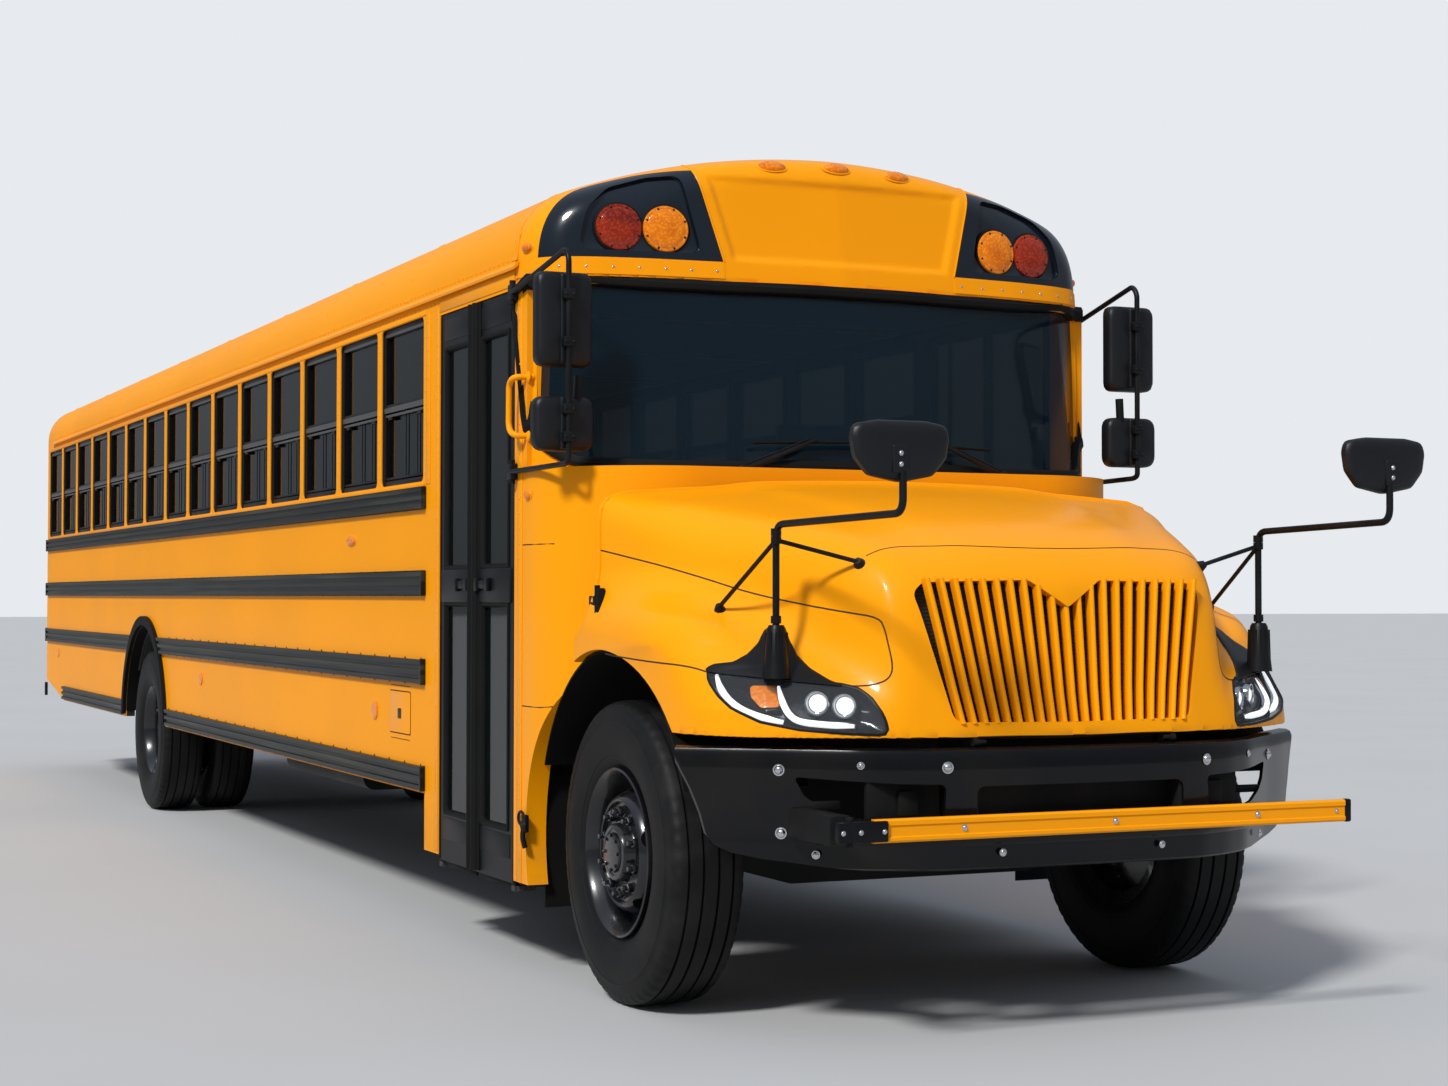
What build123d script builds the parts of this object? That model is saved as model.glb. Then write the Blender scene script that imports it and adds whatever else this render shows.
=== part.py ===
"""A conventional school bus: hollow body, tilting hood, wheels, doors, sign, gate and hatches.

Millimetres. Z is up, the bus faces -Y and its entrance is on the -X side. The origin is on
the ground under the middle of the whole bus. Lengths along the bus are given as distances
behind the front axle and turned into Y by aft().
"""
import os
from math import atan2, cos, degrees, radians, sin, tan

from build123d import *

os.makedirs("parts", exist_ok=True)

# Axles and ground
FRONT_AXLE_Y = -5495
REAR_AXLE_AFT = 8200
CLEAR = 0.3
MOVING_GAP = 5

# Body box
BODY_HALF_WIDTH = 1219
WALL = 60
SKIRT_Z = 580
FLOOR_Z = 950
FLOOR_PLATE = 50
ROOF_TOP_Z = 3120
ROOF_SPRING_Z = ROOF_TOP_Z - 430
WALL_TOP_Z = ROOF_SPRING_Z - 50
ROOF_CORNER_R = 270
ROOF_SHEET = 50

# Side windows
WINDOW_FIRST_AFT = 1967
WINDOW_PITCH = 700
WINDOW_COUNT = 15
WINDOW_POST = 66
WINDOW_SILL_Z = 1894
WINDOW_HEAD_Z = WALL_TOP_Z - 48
WINDOW_CORNER_R = 30
SASH_WIDTH = 30
SASH_DEPTH = 34
GLASS = 6
REAR_CORNER = 60

# Entrance
DOOR_FRONT_AFT = 836
DOOR_REAR_AFT = 1771
DOOR_BOTTOM_Z = 326
DOOR_TOP_Z = WALL_TOP_Z - 69
DOOR_LEAF = 40
DOOR_LEAF_GAP = 10
DOOR_FRAME = 70
DOOR_HEADER = 145
DOOR_KICK = 200
DOOR_BELT_Z = 1450
DOOR_BELT = 148
DOOR_POST_BOTTOM_Z = 345

# Front of the body
COWL_FRONT_AFT = 200
COWL_SIDE_AFT = 690
COWL_TOP_Z = 1880
COWL_COVER = 30
SHIELD_TOP_Z = WALL_TOP_Z - 40
SHIELD_SHEET = 50
SHIELD_GLASS = 10
CAP_BOTTOM_Z = SHIELD_TOP_Z
CAP_FRONT_AFT = 490
CAP_SHEET = 45

# Front wheels and the arches
TYRE_R = 525
TYRE_WIDTH = 280
RIM_R = 290
FRONT_TRACK_X = BODY_HALF_WIDTH - 209
KINGPIN_X = FRONT_TRACK_X - 140
ARCH_R = 700
WHEELHOUSE_SHEET = 30
ARCH_LIP = 20
REAR_OUTER_X = BODY_HALF_WIDTH - 159
REAR_INNER_X = REAR_OUTER_X - 330
REAR_ARCH_R = 690

# Frame
RAIL_X = 430
RAIL_TOP_Z = 860
RAIL_HEIGHT = 230
RAIL_FLANGE = 80
RAIL_WEB = 12

# Hood
HOOD_SHEET = 30
HOOD_BOTTOM_Z = 966
HOOD_REAR_AFT = 150
HOOD_PIVOT_AFT = -1130
HOOD_PIVOT_Z = 950
HOOD_LUG_X = 350
HOOD_PIN_R = 8
FENDER_X = BODY_HALF_WIDTH - 19
FENDER_TOP_Z = 1405
FENDER_TIP_Z = 1265
FENDER_NOSE_Z = 1115
FENDER_NOSE_X = FENDER_X - 720
FENDER_ROOT_X = 300
FENDER_ROUND_R = 60
FENDER_TIP_AFT = 260
FENDER_TIP_X = FENDER_X - 120
GRILLE_BARS = 20
GRILLE_BAR_PITCH = 48
GRILLE_BAR = 24
GRILLE_DEPTH = 40

# Bumpers
BUMPER_TOP_Z = 930
BUMPER_BOTTOM_Z = 550
BUMPER_SHEET = 45
REAR_BUMPER_REACH = 120

# Seats
SEAT_ROWS = 14
SEAT_PITCH = 720
SEAT_FIRST_AFT = 2350
SEAT_WIDTH = 980
SEAT_DEPTH = 400
SEAT_TOP_Z = 1420
SEAT_CUSHION = 110
SEAT_BACK_TOP_Z = 2020
SEAT_BACK = 75
SEAT_SIDE_GAP = 10


def aft(distance):
    """Y of a place given by its distance behind the front axle."""
    return FRONT_AXLE_Y + distance


REAR_AXLE_Y = aft(REAR_AXLE_AFT)
BODY_REAR = aft(WINDOW_FIRST_AFT + WINDOW_COUNT * WINDOW_PITCH + REAR_CORNER)
BODY_REAR_IN = BODY_REAR - WALL
INNER_HALF = BODY_HALF_WIDTH - WALL
DOOR_FRONT = aft(DOOR_FRONT_AFT)
DOOR_REAR = aft(DOOR_REAR_AFT)

# The roof's section: a corner arc on each side, tangent to one wide crown arc
ROOF_CORNER_X = BODY_HALF_WIDTH - ROOF_CORNER_R
ROOF_RISE = ROOF_TOP_Z - ROOF_SPRING_Z - ROOF_CORNER_R
ROOF_JOIN = radians(90) - 2 * atan2(ROOF_RISE, ROOF_CORNER_X)


def cross_plane(y):
    """A plane across the bus at Y, seen from the front: local x is X, local y is Z."""
    return Plane(origin=(0, y, 0), x_dir=(1, 0, 0), z_dir=(0, -1, 0))


def side_plane(x):
    """A plane along the bus at X: local x is Y, local y is Z."""
    return Plane(origin=(x, 0, 0), x_dir=(0, 1, 0), z_dir=(1, 0, 0))


def level_plane(z):
    """A level plane at height z: local x is X, local y is Y."""
    return Plane.XY.offset(z)


def outline(plane, points):
    """A flat face bounded by straight lines through the points."""
    with BuildSketch(plane) as sketch:
        with BuildLine():
            Polyline(*points, close=True)
        make_face()
    return sketch.sketch


def disc(plane, centre, radius):
    """A flat round face on the plane."""
    with BuildSketch(plane) as sketch:
        with Locations(centre):
            Circle(radius)
    return sketch.sketch


def block(x, y, z, mode=Mode.ADD):
    """A box that fills three ranges, each given as (low, high)."""
    middle = ((x[0] + x[1]) / 2, (y[0] + y[1]) / 2, (z[0] + z[1]) / 2)
    with Locations(middle):
        Box(x[1] - x[0], y[1] - y[0], z[1] - z[0], mode=mode)


def rod(start, end, radius, mode=Mode.ADD):
    """A round bar between two points."""
    way = Vector(*end) - Vector(*start)
    with BuildSketch(Plane(origin=start, z_dir=way)) as section:
        Circle(radius)
    extrude(section.sketch, amount=way.length, mode=mode)


def save(builder, label):
    """Label a finished piece and write its STEP file."""
    builder.part.label = label
    export_step(builder.part, f"parts/{label}.step")


def body_section(y, inset, low_z):
    """The body's closed section at Y, from low_z up over the roof, moved in by inset."""
    half = BODY_HALF_WIDTH - inset
    corner = ROOF_CORNER_R - inset
    top = ROOF_TOP_Z - inset

    def on_corner(angle, side):
        return (side * (ROOF_CORNER_X + corner * cos(angle)), ROOF_SPRING_Z + corner * sin(angle))

    with BuildSketch(cross_plane(y)) as section:
        with BuildLine():
            Line((-half, low_z), (half, low_z))
            for side in (-1, 1):
                Line((side * half, low_z), (side * half, ROOF_SPRING_Z))
                ThreePointArc(
                    (side * half, ROOF_SPRING_Z), on_corner(ROOF_JOIN / 2, side), on_corner(ROOF_JOIN, side)
                )
            ThreePointArc(on_corner(ROOF_JOIN, -1), (0, top), on_corner(ROOF_JOIN, 1))
        make_face()
    return section.sketch


# Frame: two channel rails, the crossmembers between their webs and hinge ears for the hood
FRAME_FRONT = aft(-1000)
FRAME_REAR = BODY_REAR_IN - CLEAR
RAIL_BOTTOM_Z = RAIL_TOP_Z - RAIL_HEIGHT
WEB_IN = RAIL_X - RAIL_WEB - CLEAR
CROSSMEMBER_AFTS = (-840, 900, 2100, 3300, 4500, 5700, 7300, 9100, 10300, 11500)
CROSSMEMBER = (60, 100)
EAR_THICKNESS = 20
EAR_TIP_R = 12
with BuildPart() as chassis_frame:
    for side in (-1, 1):
        web = sorted((side * RAIL_X, side * (RAIL_X - RAIL_WEB)))
        flange = sorted((side * RAIL_X, side * (RAIL_X - RAIL_FLANGE)))
        block(web, (FRAME_FRONT, FRAME_REAR), (RAIL_BOTTOM_Z, RAIL_TOP_Z))
        block(flange, (FRAME_FRONT, FRAME_REAR), (RAIL_TOP_Z - RAIL_WEB, RAIL_TOP_Z))
        block(flange, (FRAME_FRONT, FRAME_REAR), (RAIL_BOTTOM_Z, RAIL_BOTTOM_Z + RAIL_WEB))
    for distance in CROSSMEMBER_AFTS:
        block(
            (-WEB_IN, WEB_IN),
            (aft(distance), aft(distance) + CROSSMEMBER[0]),
            (RAIL_TOP_Z - 30 - CROSSMEMBER[1], RAIL_TOP_Z - 30),
        )
    for side in (-1, 1):
        ear_x = side * (HOOD_LUG_X + EAR_THICKNESS + 1)
        ear = outline(
            side_plane(ear_x - EAR_THICKNESS / 2),
            [
                (FRAME_FRONT, RAIL_BOTTOM_Z + 60),
                (FRAME_FRONT, RAIL_TOP_Z - 20),
                (aft(HOOD_PIVOT_AFT + 50), HOOD_PIVOT_Z + EAR_TIP_R),
                (aft(HOOD_PIVOT_AFT), HOOD_PIVOT_Z + EAR_TIP_R),
                (aft(HOOD_PIVOT_AFT), HOOD_PIVOT_Z - EAR_TIP_R),
                (aft(HOOD_PIVOT_AFT + 25), HOOD_PIVOT_Z - EAR_TIP_R),
                (aft(HOOD_PIVOT_AFT + 40), RAIL_BOTTOM_Z + 60),
            ],
        )
        extrude(ear, amount=EAR_THICKNESS)
        ear_tip = disc(side_plane(ear_x - EAR_THICKNESS / 2), (aft(HOOD_PIVOT_AFT), HOOD_PIVOT_Z), EAR_TIP_R)
        extrude(ear_tip, amount=EAR_THICKNESS)
        pin_from = (ear_x, aft(HOOD_PIVOT_AFT), HOOD_PIVOT_Z)
        pin_to = (side * (HOOD_LUG_X - EAR_THICKNESS / 2 - 4), aft(HOOD_PIVOT_AFT), HOOD_PIVOT_Z)
        rod(pin_from, pin_to, HOOD_PIN_R - 0.05)
        block(
            sorted((side * WEB_IN, side * (HOOD_LUG_X + EAR_THICKNESS / 2 + 1))),
            (FRAME_FRONT, FRAME_FRONT + 60),
            (RAIL_BOTTOM_Z + RAIL_WEB + CLEAR, RAIL_TOP_Z - RAIL_WEB - CLEAR),
        )
save(chassis_frame, "chassis_frame")

# Rear tow eyes: plates on the rails' ends, each with a cross hole
TOW_EYE_R = 20
TOW_EYE_PLATE = 20
TOW_EYE_Z = 650
TOW_EYE_HALF = 40
TOW_EYE_REACH = 150
with BuildPart() as tow_eyes:
    for side in (-1, 1):
        eye_plate = (side * (RAIL_X + CLEAR), side * (RAIL_X + CLEAR + TOW_EYE_PLATE))
        eye_z = (TOW_EYE_Z - TOW_EYE_HALF, TOW_EYE_Z + TOW_EYE_HALF)
        eye_y = FRAME_REAR + TOW_EYE_REACH - TOW_EYE_HALF
        block(sorted(eye_plate), (FRAME_REAR - 200, FRAME_REAR + TOW_EYE_REACH), eye_z)
        rod(
            (eye_plate[0] - side, eye_y, TOW_EYE_Z), (eye_plate[1] + side, eye_y, TOW_EYE_Z), TOW_EYE_R,
            mode=Mode.SUBTRACT,
        )
save(tow_eyes, "tow_eyes")

# Front axle beam with a drop centre, carrying the kingpins
AXLE_Z = TYRE_R
BEAM_DROP = 90
BEAM_HALF_HEIGHT = 45
BEAM_WIDTH = 90
KINGPIN_R = 24
SPRING_X = 400
SPRING_PAD_Z = AXLE_Z - BEAM_DROP + BEAM_HALF_HEIGHT
EYE_HALF_HEIGHT = 55
with BuildPart() as front_axle:
    beam = outline(
        cross_plane(aft(BEAM_WIDTH / 2)),
        [
            (-KINGPIN_X - 45, AXLE_Z - EYE_HALF_HEIGHT),
            (-KINGPIN_X + 90, AXLE_Z - EYE_HALF_HEIGHT),
            (-SPRING_X - 90, SPRING_PAD_Z - 2 * BEAM_HALF_HEIGHT),
            (SPRING_X + 90, SPRING_PAD_Z - 2 * BEAM_HALF_HEIGHT),
            (KINGPIN_X - 90, AXLE_Z - EYE_HALF_HEIGHT),
            (KINGPIN_X + 45, AXLE_Z - EYE_HALF_HEIGHT),
            (KINGPIN_X + 45, AXLE_Z + EYE_HALF_HEIGHT),
            (KINGPIN_X - 45, AXLE_Z + EYE_HALF_HEIGHT),
            (SPRING_X + 80, SPRING_PAD_Z),
            (-SPRING_X - 80, SPRING_PAD_Z),
            (-KINGPIN_X + 45, AXLE_Z + EYE_HALF_HEIGHT),
            (-KINGPIN_X - 45, AXLE_Z + EYE_HALF_HEIGHT),
        ],
    )
    extrude(beam, amount=BEAM_WIDTH)
    for side in (-1, 1):
        rod((side * KINGPIN_X, aft(0), AXLE_Z - 85), (side * KINGPIN_X, aft(0), AXLE_Z + 85), KINGPIN_R)
save(front_axle, "front_axle")

# Rear axle: housing tube with the differential in the middle
HOUSING_R = 65
DIFF_R = 190
REAR_TUBE_END = REAR_OUTER_X - 40
with BuildPart() as rear_axle:
    rod((-REAR_TUBE_END, REAR_AXLE_Y, AXLE_Z), (REAR_TUBE_END, REAR_AXLE_Y, AXLE_Z), HOUSING_R)
    with Locations((0, REAR_AXLE_Y, AXLE_Z)):
        Sphere(DIFF_R)
    rod((0, REAR_AXLE_Y - DIFF_R - 90, AXLE_Z), (0, REAR_AXLE_Y, AXLE_Z), 75)
save(rear_axle, "rear_axle")

# Leaf springs: four arched packs with their hangers under the rails
# columns: axle distance, half length, seat height under the pack
SPRINGS = ((0, 620, SPRING_PAD_Z), (REAR_AXLE_AFT, 700, AXLE_Z + HOUSING_R))
SPRING_PACK = 36
SPRING_WIDTH = 76
with BuildPart() as leaf_springs:
    for distance, half_length, seat_z in SPRINGS:
        for side in (-1, 1):
            centre_x = side * (RAIL_X - RAIL_FLANGE / 2)
            across = (centre_x - SPRING_WIDTH / 2, centre_x + SPRING_WIDTH / 2)
            middle = aft(distance)
            low = seat_z
            end_low = RAIL_BOTTOM_Z - 80
            pack = outline(
                side_plane(across[0]),
                [
                    (middle - 60, low),
                    (middle + 60, low),
                    (middle + half_length, max(end_low, low)),
                    (middle + half_length, RAIL_BOTTOM_Z),
                    (middle + half_length - 60, RAIL_BOTTOM_Z),
                    (middle + half_length - 60, max(end_low, low) + 30),
                    (middle + 60, min(low + SPRING_PACK, RAIL_BOTTOM_Z)),
                    (middle - 60, min(low + SPRING_PACK, RAIL_BOTTOM_Z)),
                    (middle - half_length + 60, max(end_low, low) + 30),
                    (middle - half_length + 60, RAIL_BOTTOM_Z),
                    (middle - half_length, RAIL_BOTTOM_Z),
                    (middle - half_length, max(end_low, low)),
                ],
            )
            extrude(pack, amount=SPRING_WIDTH)
save(leaf_springs, "leaf_springs")

# Engine: one plain block at its real place, on feet between the frame rails
with BuildPart() as engine_block:
    block((-300, 300), (aft(-760), aft(90)), (RAIL_TOP_Z - 60, 1420))
    block((-220, 220), (aft(-700), aft(60)), (560, RAIL_TOP_Z - 60))
    block((RAIL_WEB + CLEAR - RAIL_X, RAIL_X - RAIL_WEB - CLEAR), (aft(-400), aft(-340)), (760, 810))
save(engine_block, "engine_block")

# Radiator pack behind the grille
with BuildPart() as radiator:
    block((-410, 410), (aft(-960), aft(-850)), (RAIL_TOP_Z, 1400))
save(radiator, "radiator")

# Driveshaft from the gearbox to the differential
SHAFT_R = 55
with BuildPart() as driveshaft:
    rod((0, aft(61.2), 640), (0, REAR_AXLE_Y - DIFF_R - 91.2, AXLE_Z), SHAFT_R)
save(driveshaft, "driveshaft")

# Fuel tank on the right outside the rail
TANK_AFT = (3400, 4900)
TANK_OUT_X = INNER_HALF - 79
with BuildPart() as fuel_tank:
    block((-TANK_OUT_X, -RAIL_X - CLEAR), (aft(TANK_AFT[0]), aft(TANK_AFT[1])), (RAIL_BOTTOM_Z - 150, RAIL_TOP_Z - 20))
    fillet(fuel_tank.edges().filter_by(Axis.Y), radius=60)
save(fuel_tank, "fuel_tank")

# Exhaust: pipe, muffler and tail pipe on the left
EXHAUST_X = 560
EXHAUST_Z = 560
HANGER_AFTS = (1700, 3600, 6600)
HANGER_Z = 700
with BuildPart() as exhaust:
    rod((EXHAUST_X, aft(1200), EXHAUST_Z), (EXHAUST_X, aft(7400), EXHAUST_Z), 50)
    rod((EXHAUST_X, aft(4200), EXHAUST_Z), (EXHAUST_X, aft(5600), EXHAUST_Z), 120)
    for distance in HANGER_AFTS:
        along = (aft(distance), aft(distance) + 40)
        block((EXHAUST_X - 15, EXHAUST_X + 15), along, (EXHAUST_Z, HANGER_Z))
        block((RAIL_X + CLEAR, EXHAUST_X), along, (HANGER_Z - 30, HANGER_Z))
save(exhaust, "exhaust")

# Floor: plate with cross sills, open over the stepwell, and wheelhouses over the rear wheels
FLOOR_FRONT = aft(COWL_SIDE_AFT)
FLOOR_HALF = INNER_HALF - CLEAR
STEP_SHEET = 25
PIVOT_DROP = 8
# columns: nearer edge from the centre, further edge, tread height
STEPS = ((470, 700, 745), (700, 935, 540), (935, INNER_HALF + WALL - DOOR_LEAF - 40, DOOR_BOTTOM_Z + 10))
SILL_PITCH = 700
SILL_COUNT = 15
WHEELHOUSE_X = REAR_INNER_X - TYRE_WIDTH / 2 - 40
REAR_WELL_R = REAR_ARCH_R - WHEELHOUSE_SHEET
with BuildPart() as stepwell:
    for near, far, tread in STEPS:
        block((-far, -near), (DOOR_FRONT, DOOR_REAR), (tread - STEP_SHEET, tread))
    risers = ((STEPS[0][0], STEPS[0][2], FLOOR_Z), (STEPS[1][0], STEPS[1][2], STEPS[0][2]))
    risers = risers + ((STEPS[2][0], STEPS[2][2], STEPS[1][2]),)
    for edge, low, high in risers:
        block((-edge - STEP_SHEET, -edge), (DOOR_FRONT, DOOR_REAR), (low - STEP_SHEET, high))
    for end in (DOOR_FRONT, DOOR_REAR - STEP_SHEET):
        cheek = outline(
            Plane(origin=(0, end, 0), x_dir=(-1, 0, 0), z_dir=(0, 1, 0)),
            [
                (STEPS[0][0], FLOOR_Z),
                (STEPS[0][0], STEPS[0][2] - STEP_SHEET),
                (STEPS[0][1], STEPS[1][2] - STEP_SHEET),
                (STEPS[1][1], STEPS[2][2] - STEP_SHEET),
                (STEPS[2][1], STEPS[2][2] - STEP_SHEET),
                (STEPS[2][1], FLOOR_Z),
            ],
        )
        extrude(cheek, amount=STEP_SHEET)
    # Shelves at the foot of the doorway for the leaves' lower pivot pins
    for end in ((DOOR_FRONT, DOOR_FRONT + 40), (DOOR_REAR - 40, DOOR_REAR)):
        block((6 - BODY_HALF_WIDTH, 10 - STEPS[2][1]), end, (DOOR_BOTTOM_Z - PIVOT_DROP - 20, DOOR_BOTTOM_Z - PIVOT_DROP))
save(stepwell, "stepwell")

with BuildPart() as floor:
    block((-FLOOR_HALF, FLOOR_HALF), (FLOOR_FRONT, BODY_REAR_IN - CLEAR), (FLOOR_Z - FLOOR_PLATE, FLOOR_Z))
    for row in range(SILL_COUNT):
        sill = aft(WINDOW_FIRST_AFT) + row * SILL_PITCH
        block((-FLOOR_HALF, FLOOR_HALF), (sill - 30, sill + 30), (RAIL_TOP_Z, FLOOR_Z - FLOOR_PLATE))
    block(
        (-FLOOR_HALF - 1, CLEAR - STEPS[0][0]),
        (DOOR_FRONT - CLEAR, DOOR_REAR + CLEAR),
        (RAIL_TOP_Z - 1, FLOOR_Z + 1),
        mode=Mode.SUBTRACT,
    )
    for side in (-1, 1):
        with BuildSketch(side_plane(side * WHEELHOUSE_X)) as house:
            with Locations((REAR_AXLE_Y, AXLE_Z)):
                Circle(REAR_ARCH_R)
            with Locations((REAR_AXLE_Y, FLOOR_Z - FLOOR_PLATE - REAR_ARCH_R)):
                Rectangle(2 * REAR_ARCH_R + 2, 2 * REAR_ARCH_R, mode=Mode.SUBTRACT)
        well = disc(side_plane(side * (WHEELHOUSE_X + WHEELHOUSE_SHEET)), (REAR_AXLE_Y, AXLE_Z), REAR_WELL_R)
        extrude(house.sketch, amount=side * (FLOOR_HALF - WHEELHOUSE_X))
        extrude(well, amount=side * (FLOOR_HALF + 10), mode=Mode.SUBTRACT)
save(floor, "floor")


# Side walls: the windows, the entrance and the wheel arches are cut through the whole wall
TAIL_Z = 715
TAIL_AFT = 11610
WINDOW_SIZE = (WINDOW_PITCH - WINDOW_POST, WINDOW_HEAD_Z - WINDOW_SILL_Z)
WINDOW_CENTRE_Z = (WINDOW_HEAD_Z + WINDOW_SILL_Z) / 2
WINDOW_MIDDLES = [aft(WINDOW_FIRST_AFT) + WINDOW_PITCH * (index + 0.5) for index in range(WINDOW_COUNT)]
DRIVER_WINDOW = (DOOR_FRONT + 60, aft(WINDOW_FIRST_AFT) - WINDOW_POST)
DRIVER_WINDOW_MIDDLE = (DRIVER_WINDOW[0] + DRIVER_WINDOW[1]) / 2
DRIVER_WINDOW_LENGTH = DRIVER_WINDOW[1] - DRIVER_WINDOW[0]


def window_holes(plane, inset, with_driver):
    """The side windows' outlines on a wall plane, each moved in by inset."""
    with BuildSketch(plane) as holes:
        with Locations(*[(middle, WINDOW_CENTRE_Z) for middle in WINDOW_MIDDLES]):
            RectangleRounded(WINDOW_SIZE[0] - 2 * inset, WINDOW_SIZE[1] - 2 * inset, WINDOW_CORNER_R)
        if with_driver:
            with Locations((DRIVER_WINDOW_MIDDLE, WINDOW_CENTRE_Z)):
                RectangleRounded(DRIVER_WINDOW_LENGTH - 2 * inset, WINDOW_SIZE[1] - 2 * inset, WINDOW_CORNER_R)
    return holes.sketch


def pane_holes(plane, inset, with_driver):
    """The panes between the sash frames and their middle bars, each moved in by inset."""
    pane_width = WINDOW_SIZE[0] - 2 * SASH_WIDTH - 2 * inset
    pane_height = (WINDOW_SIZE[1] - 3 * SASH_WIDTH) / 2 - 2 * inset
    rise = (WINDOW_SIZE[1] - SASH_WIDTH) / 4
    driver_width = (DRIVER_WINDOW_LENGTH - 3 * SASH_WIDTH) / 2 - 2 * inset
    driver_shift = (DRIVER_WINDOW_LENGTH - SASH_WIDTH) / 4
    with BuildSketch(plane) as panes:
        middles = [(middle, WINDOW_CENTRE_Z + up * rise) for middle in WINDOW_MIDDLES for up in (-1, 1)]
        with Locations(*middles):
            Rectangle(pane_width, pane_height)
        if with_driver:
            with Locations(*[(DRIVER_WINDOW_MIDDLE + way * driver_shift, WINDOW_CENTRE_Z) for way in (-1, 1)]):
                Rectangle(driver_width, WINDOW_SIZE[1] - 2 * SASH_WIDTH - 2 * inset)
    return panes.sketch


with BuildPart() as right_wall:
    plane = side_plane(-BODY_HALF_WIDTH)
    panel = outline(
        plane,
        [
            (DOOR_FRONT, DOOR_TOP_Z),
            (DOOR_FRONT, WALL_TOP_Z - CLEAR),
            (BODY_REAR_IN - CLEAR, WALL_TOP_Z - CLEAR),
            (BODY_REAR_IN - CLEAR, TAIL_Z),
            (aft(TAIL_AFT), SKIRT_Z),
            (aft(WINDOW_FIRST_AFT), SKIRT_Z),
            (aft(WINDOW_FIRST_AFT), DOOR_POST_BOTTOM_Z),
            (DOOR_REAR, DOOR_POST_BOTTOM_Z),
            (DOOR_REAR, DOOR_TOP_Z),
        ],
    )
    extrude(panel, amount=WALL)
    extrude(window_holes(plane, 0, False), amount=WALL, mode=Mode.SUBTRACT)
    extrude(disc(plane, (REAR_AXLE_Y, AXLE_Z), REAR_ARCH_R), amount=WALL, mode=Mode.SUBTRACT)
save(right_wall, "right_wall")

with BuildPart() as left_wall:
    plane = side_plane(INNER_HALF)
    panel = outline(
        plane,
        [
            (DOOR_FRONT, DOOR_POST_BOTTOM_Z),
            (DOOR_FRONT, WALL_TOP_Z - CLEAR),
            (BODY_REAR_IN - CLEAR, WALL_TOP_Z - CLEAR),
            (BODY_REAR_IN - CLEAR, TAIL_Z),
            (aft(TAIL_AFT), SKIRT_Z),
            (aft(WINDOW_FIRST_AFT), SKIRT_Z),
            (aft(WINDOW_FIRST_AFT), DOOR_POST_BOTTOM_Z),
        ],
    )
    extrude(panel, amount=WALL)
    extrude(window_holes(plane, 0, True), amount=WALL, mode=Mode.SUBTRACT)
    extrude(disc(plane, (REAR_AXLE_Y, AXLE_Z), REAR_ARCH_R), amount=WALL, mode=Mode.SUBTRACT)
save(left_wall, "left_wall")

# Split sashes: a frame with a middle bar in each side window
SASH_INSET = 14
with BuildPart() as sash_frames:
    for side in (-1, 1):
        plane = side_plane(side * (BODY_HALF_WIDTH - SASH_INSET))
        with BuildSketch() as frames:
            add(window_holes(Plane.XY, CLEAR, side > 0))
            add(pane_holes(Plane.XY, 0, side > 0), mode=Mode.SUBTRACT)
        extrude(plane * frames.sketch, amount=-side * SASH_DEPTH)
save(sash_frames, "sash_frames")

# Rear wall with the rounded tail of the roof, the emergency doorway and two windows
TAIL_LENGTH = 330
TAIL_ROUND_R = 210
EMERGENCY_HALF = 450
EMERGENCY_Z = (FLOOR_Z, WALL_TOP_Z - 120)
REAR_WINDOW_X = (EMERGENCY_HALF + 90, INNER_HALF - 79)
REAR_WINDOW_Z = (WINDOW_SILL_Z, EMERGENCY_Z[1])
PLATE_MOUNT_X = 830
PLATE_MOUNT_Z = 1180
PLATE_HOLE_R = 3.5
PLATE_HOLES = (178, 121)


def tail_form(inset):
    """The roof's tail: the body's section with the upper rear edge rounded off."""
    front = BODY_REAR - TAIL_LENGTH - (1 if inset else 0)
    extrude(body_section(front, inset, WALL_TOP_Z - (1 if inset else 0)), amount=-(BODY_REAR - inset - front))
    top = ROOF_TOP_Z - inset
    rear = BODY_REAR - inset
    round_r = TAIL_ROUND_R - inset
    with BuildSketch(side_plane(-BODY_HALF_WIDTH - 1)) as profile:
        with BuildLine():
            Line((front, WALL_TOP_Z - 2), (rear, WALL_TOP_Z - 2))
            Line((rear, WALL_TOP_Z - 2), (rear, top - round_r))
            RadiusArc((rear, top - round_r), (rear - round_r, top), -round_r)
            Line((rear - round_r, top), (front, top))
            Line((front, top), (front, WALL_TOP_Z - 2))
        make_face()
    extrude(profile.sketch, amount=2 * BODY_HALF_WIDTH + 2, mode=Mode.INTERSECT)


with BuildPart() as tail_cavity:
    tail_form(ROOF_SHEET)
with BuildPart() as rear_wall:
    tail_form(0)
    add(tail_cavity.part, mode=Mode.SUBTRACT)
    block((-BODY_HALF_WIDTH, BODY_HALF_WIDTH), (BODY_REAR_IN, BODY_REAR), (TAIL_Z, WALL_TOP_Z))
    block(
        (-EMERGENCY_HALF, EMERGENCY_HALF), (BODY_REAR_IN - 10, BODY_REAR + 10), EMERGENCY_Z, mode=Mode.SUBTRACT
    )
    for side in (-1, 1):
        block(
            sorted((side * REAR_WINDOW_X[0], side * REAR_WINDOW_X[1])),
            (BODY_REAR_IN - 10, BODY_REAR + 10),
            REAR_WINDOW_Z,
            mode=Mode.SUBTRACT,
        )
    for across in (-1, 1):
        for up in (-1, 1):
            hole = (PLATE_MOUNT_X + across * PLATE_HOLES[0] / 2, PLATE_MOUNT_Z + up * PLATE_HOLES[1] / 2)
            rod((hole[0], BODY_REAR_IN - 1, hole[1]), (hole[0], BODY_REAR + 1, hole[1]), PLATE_HOLE_R, Mode.SUBTRACT)
save(rear_wall, "rear_wall")

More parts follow.
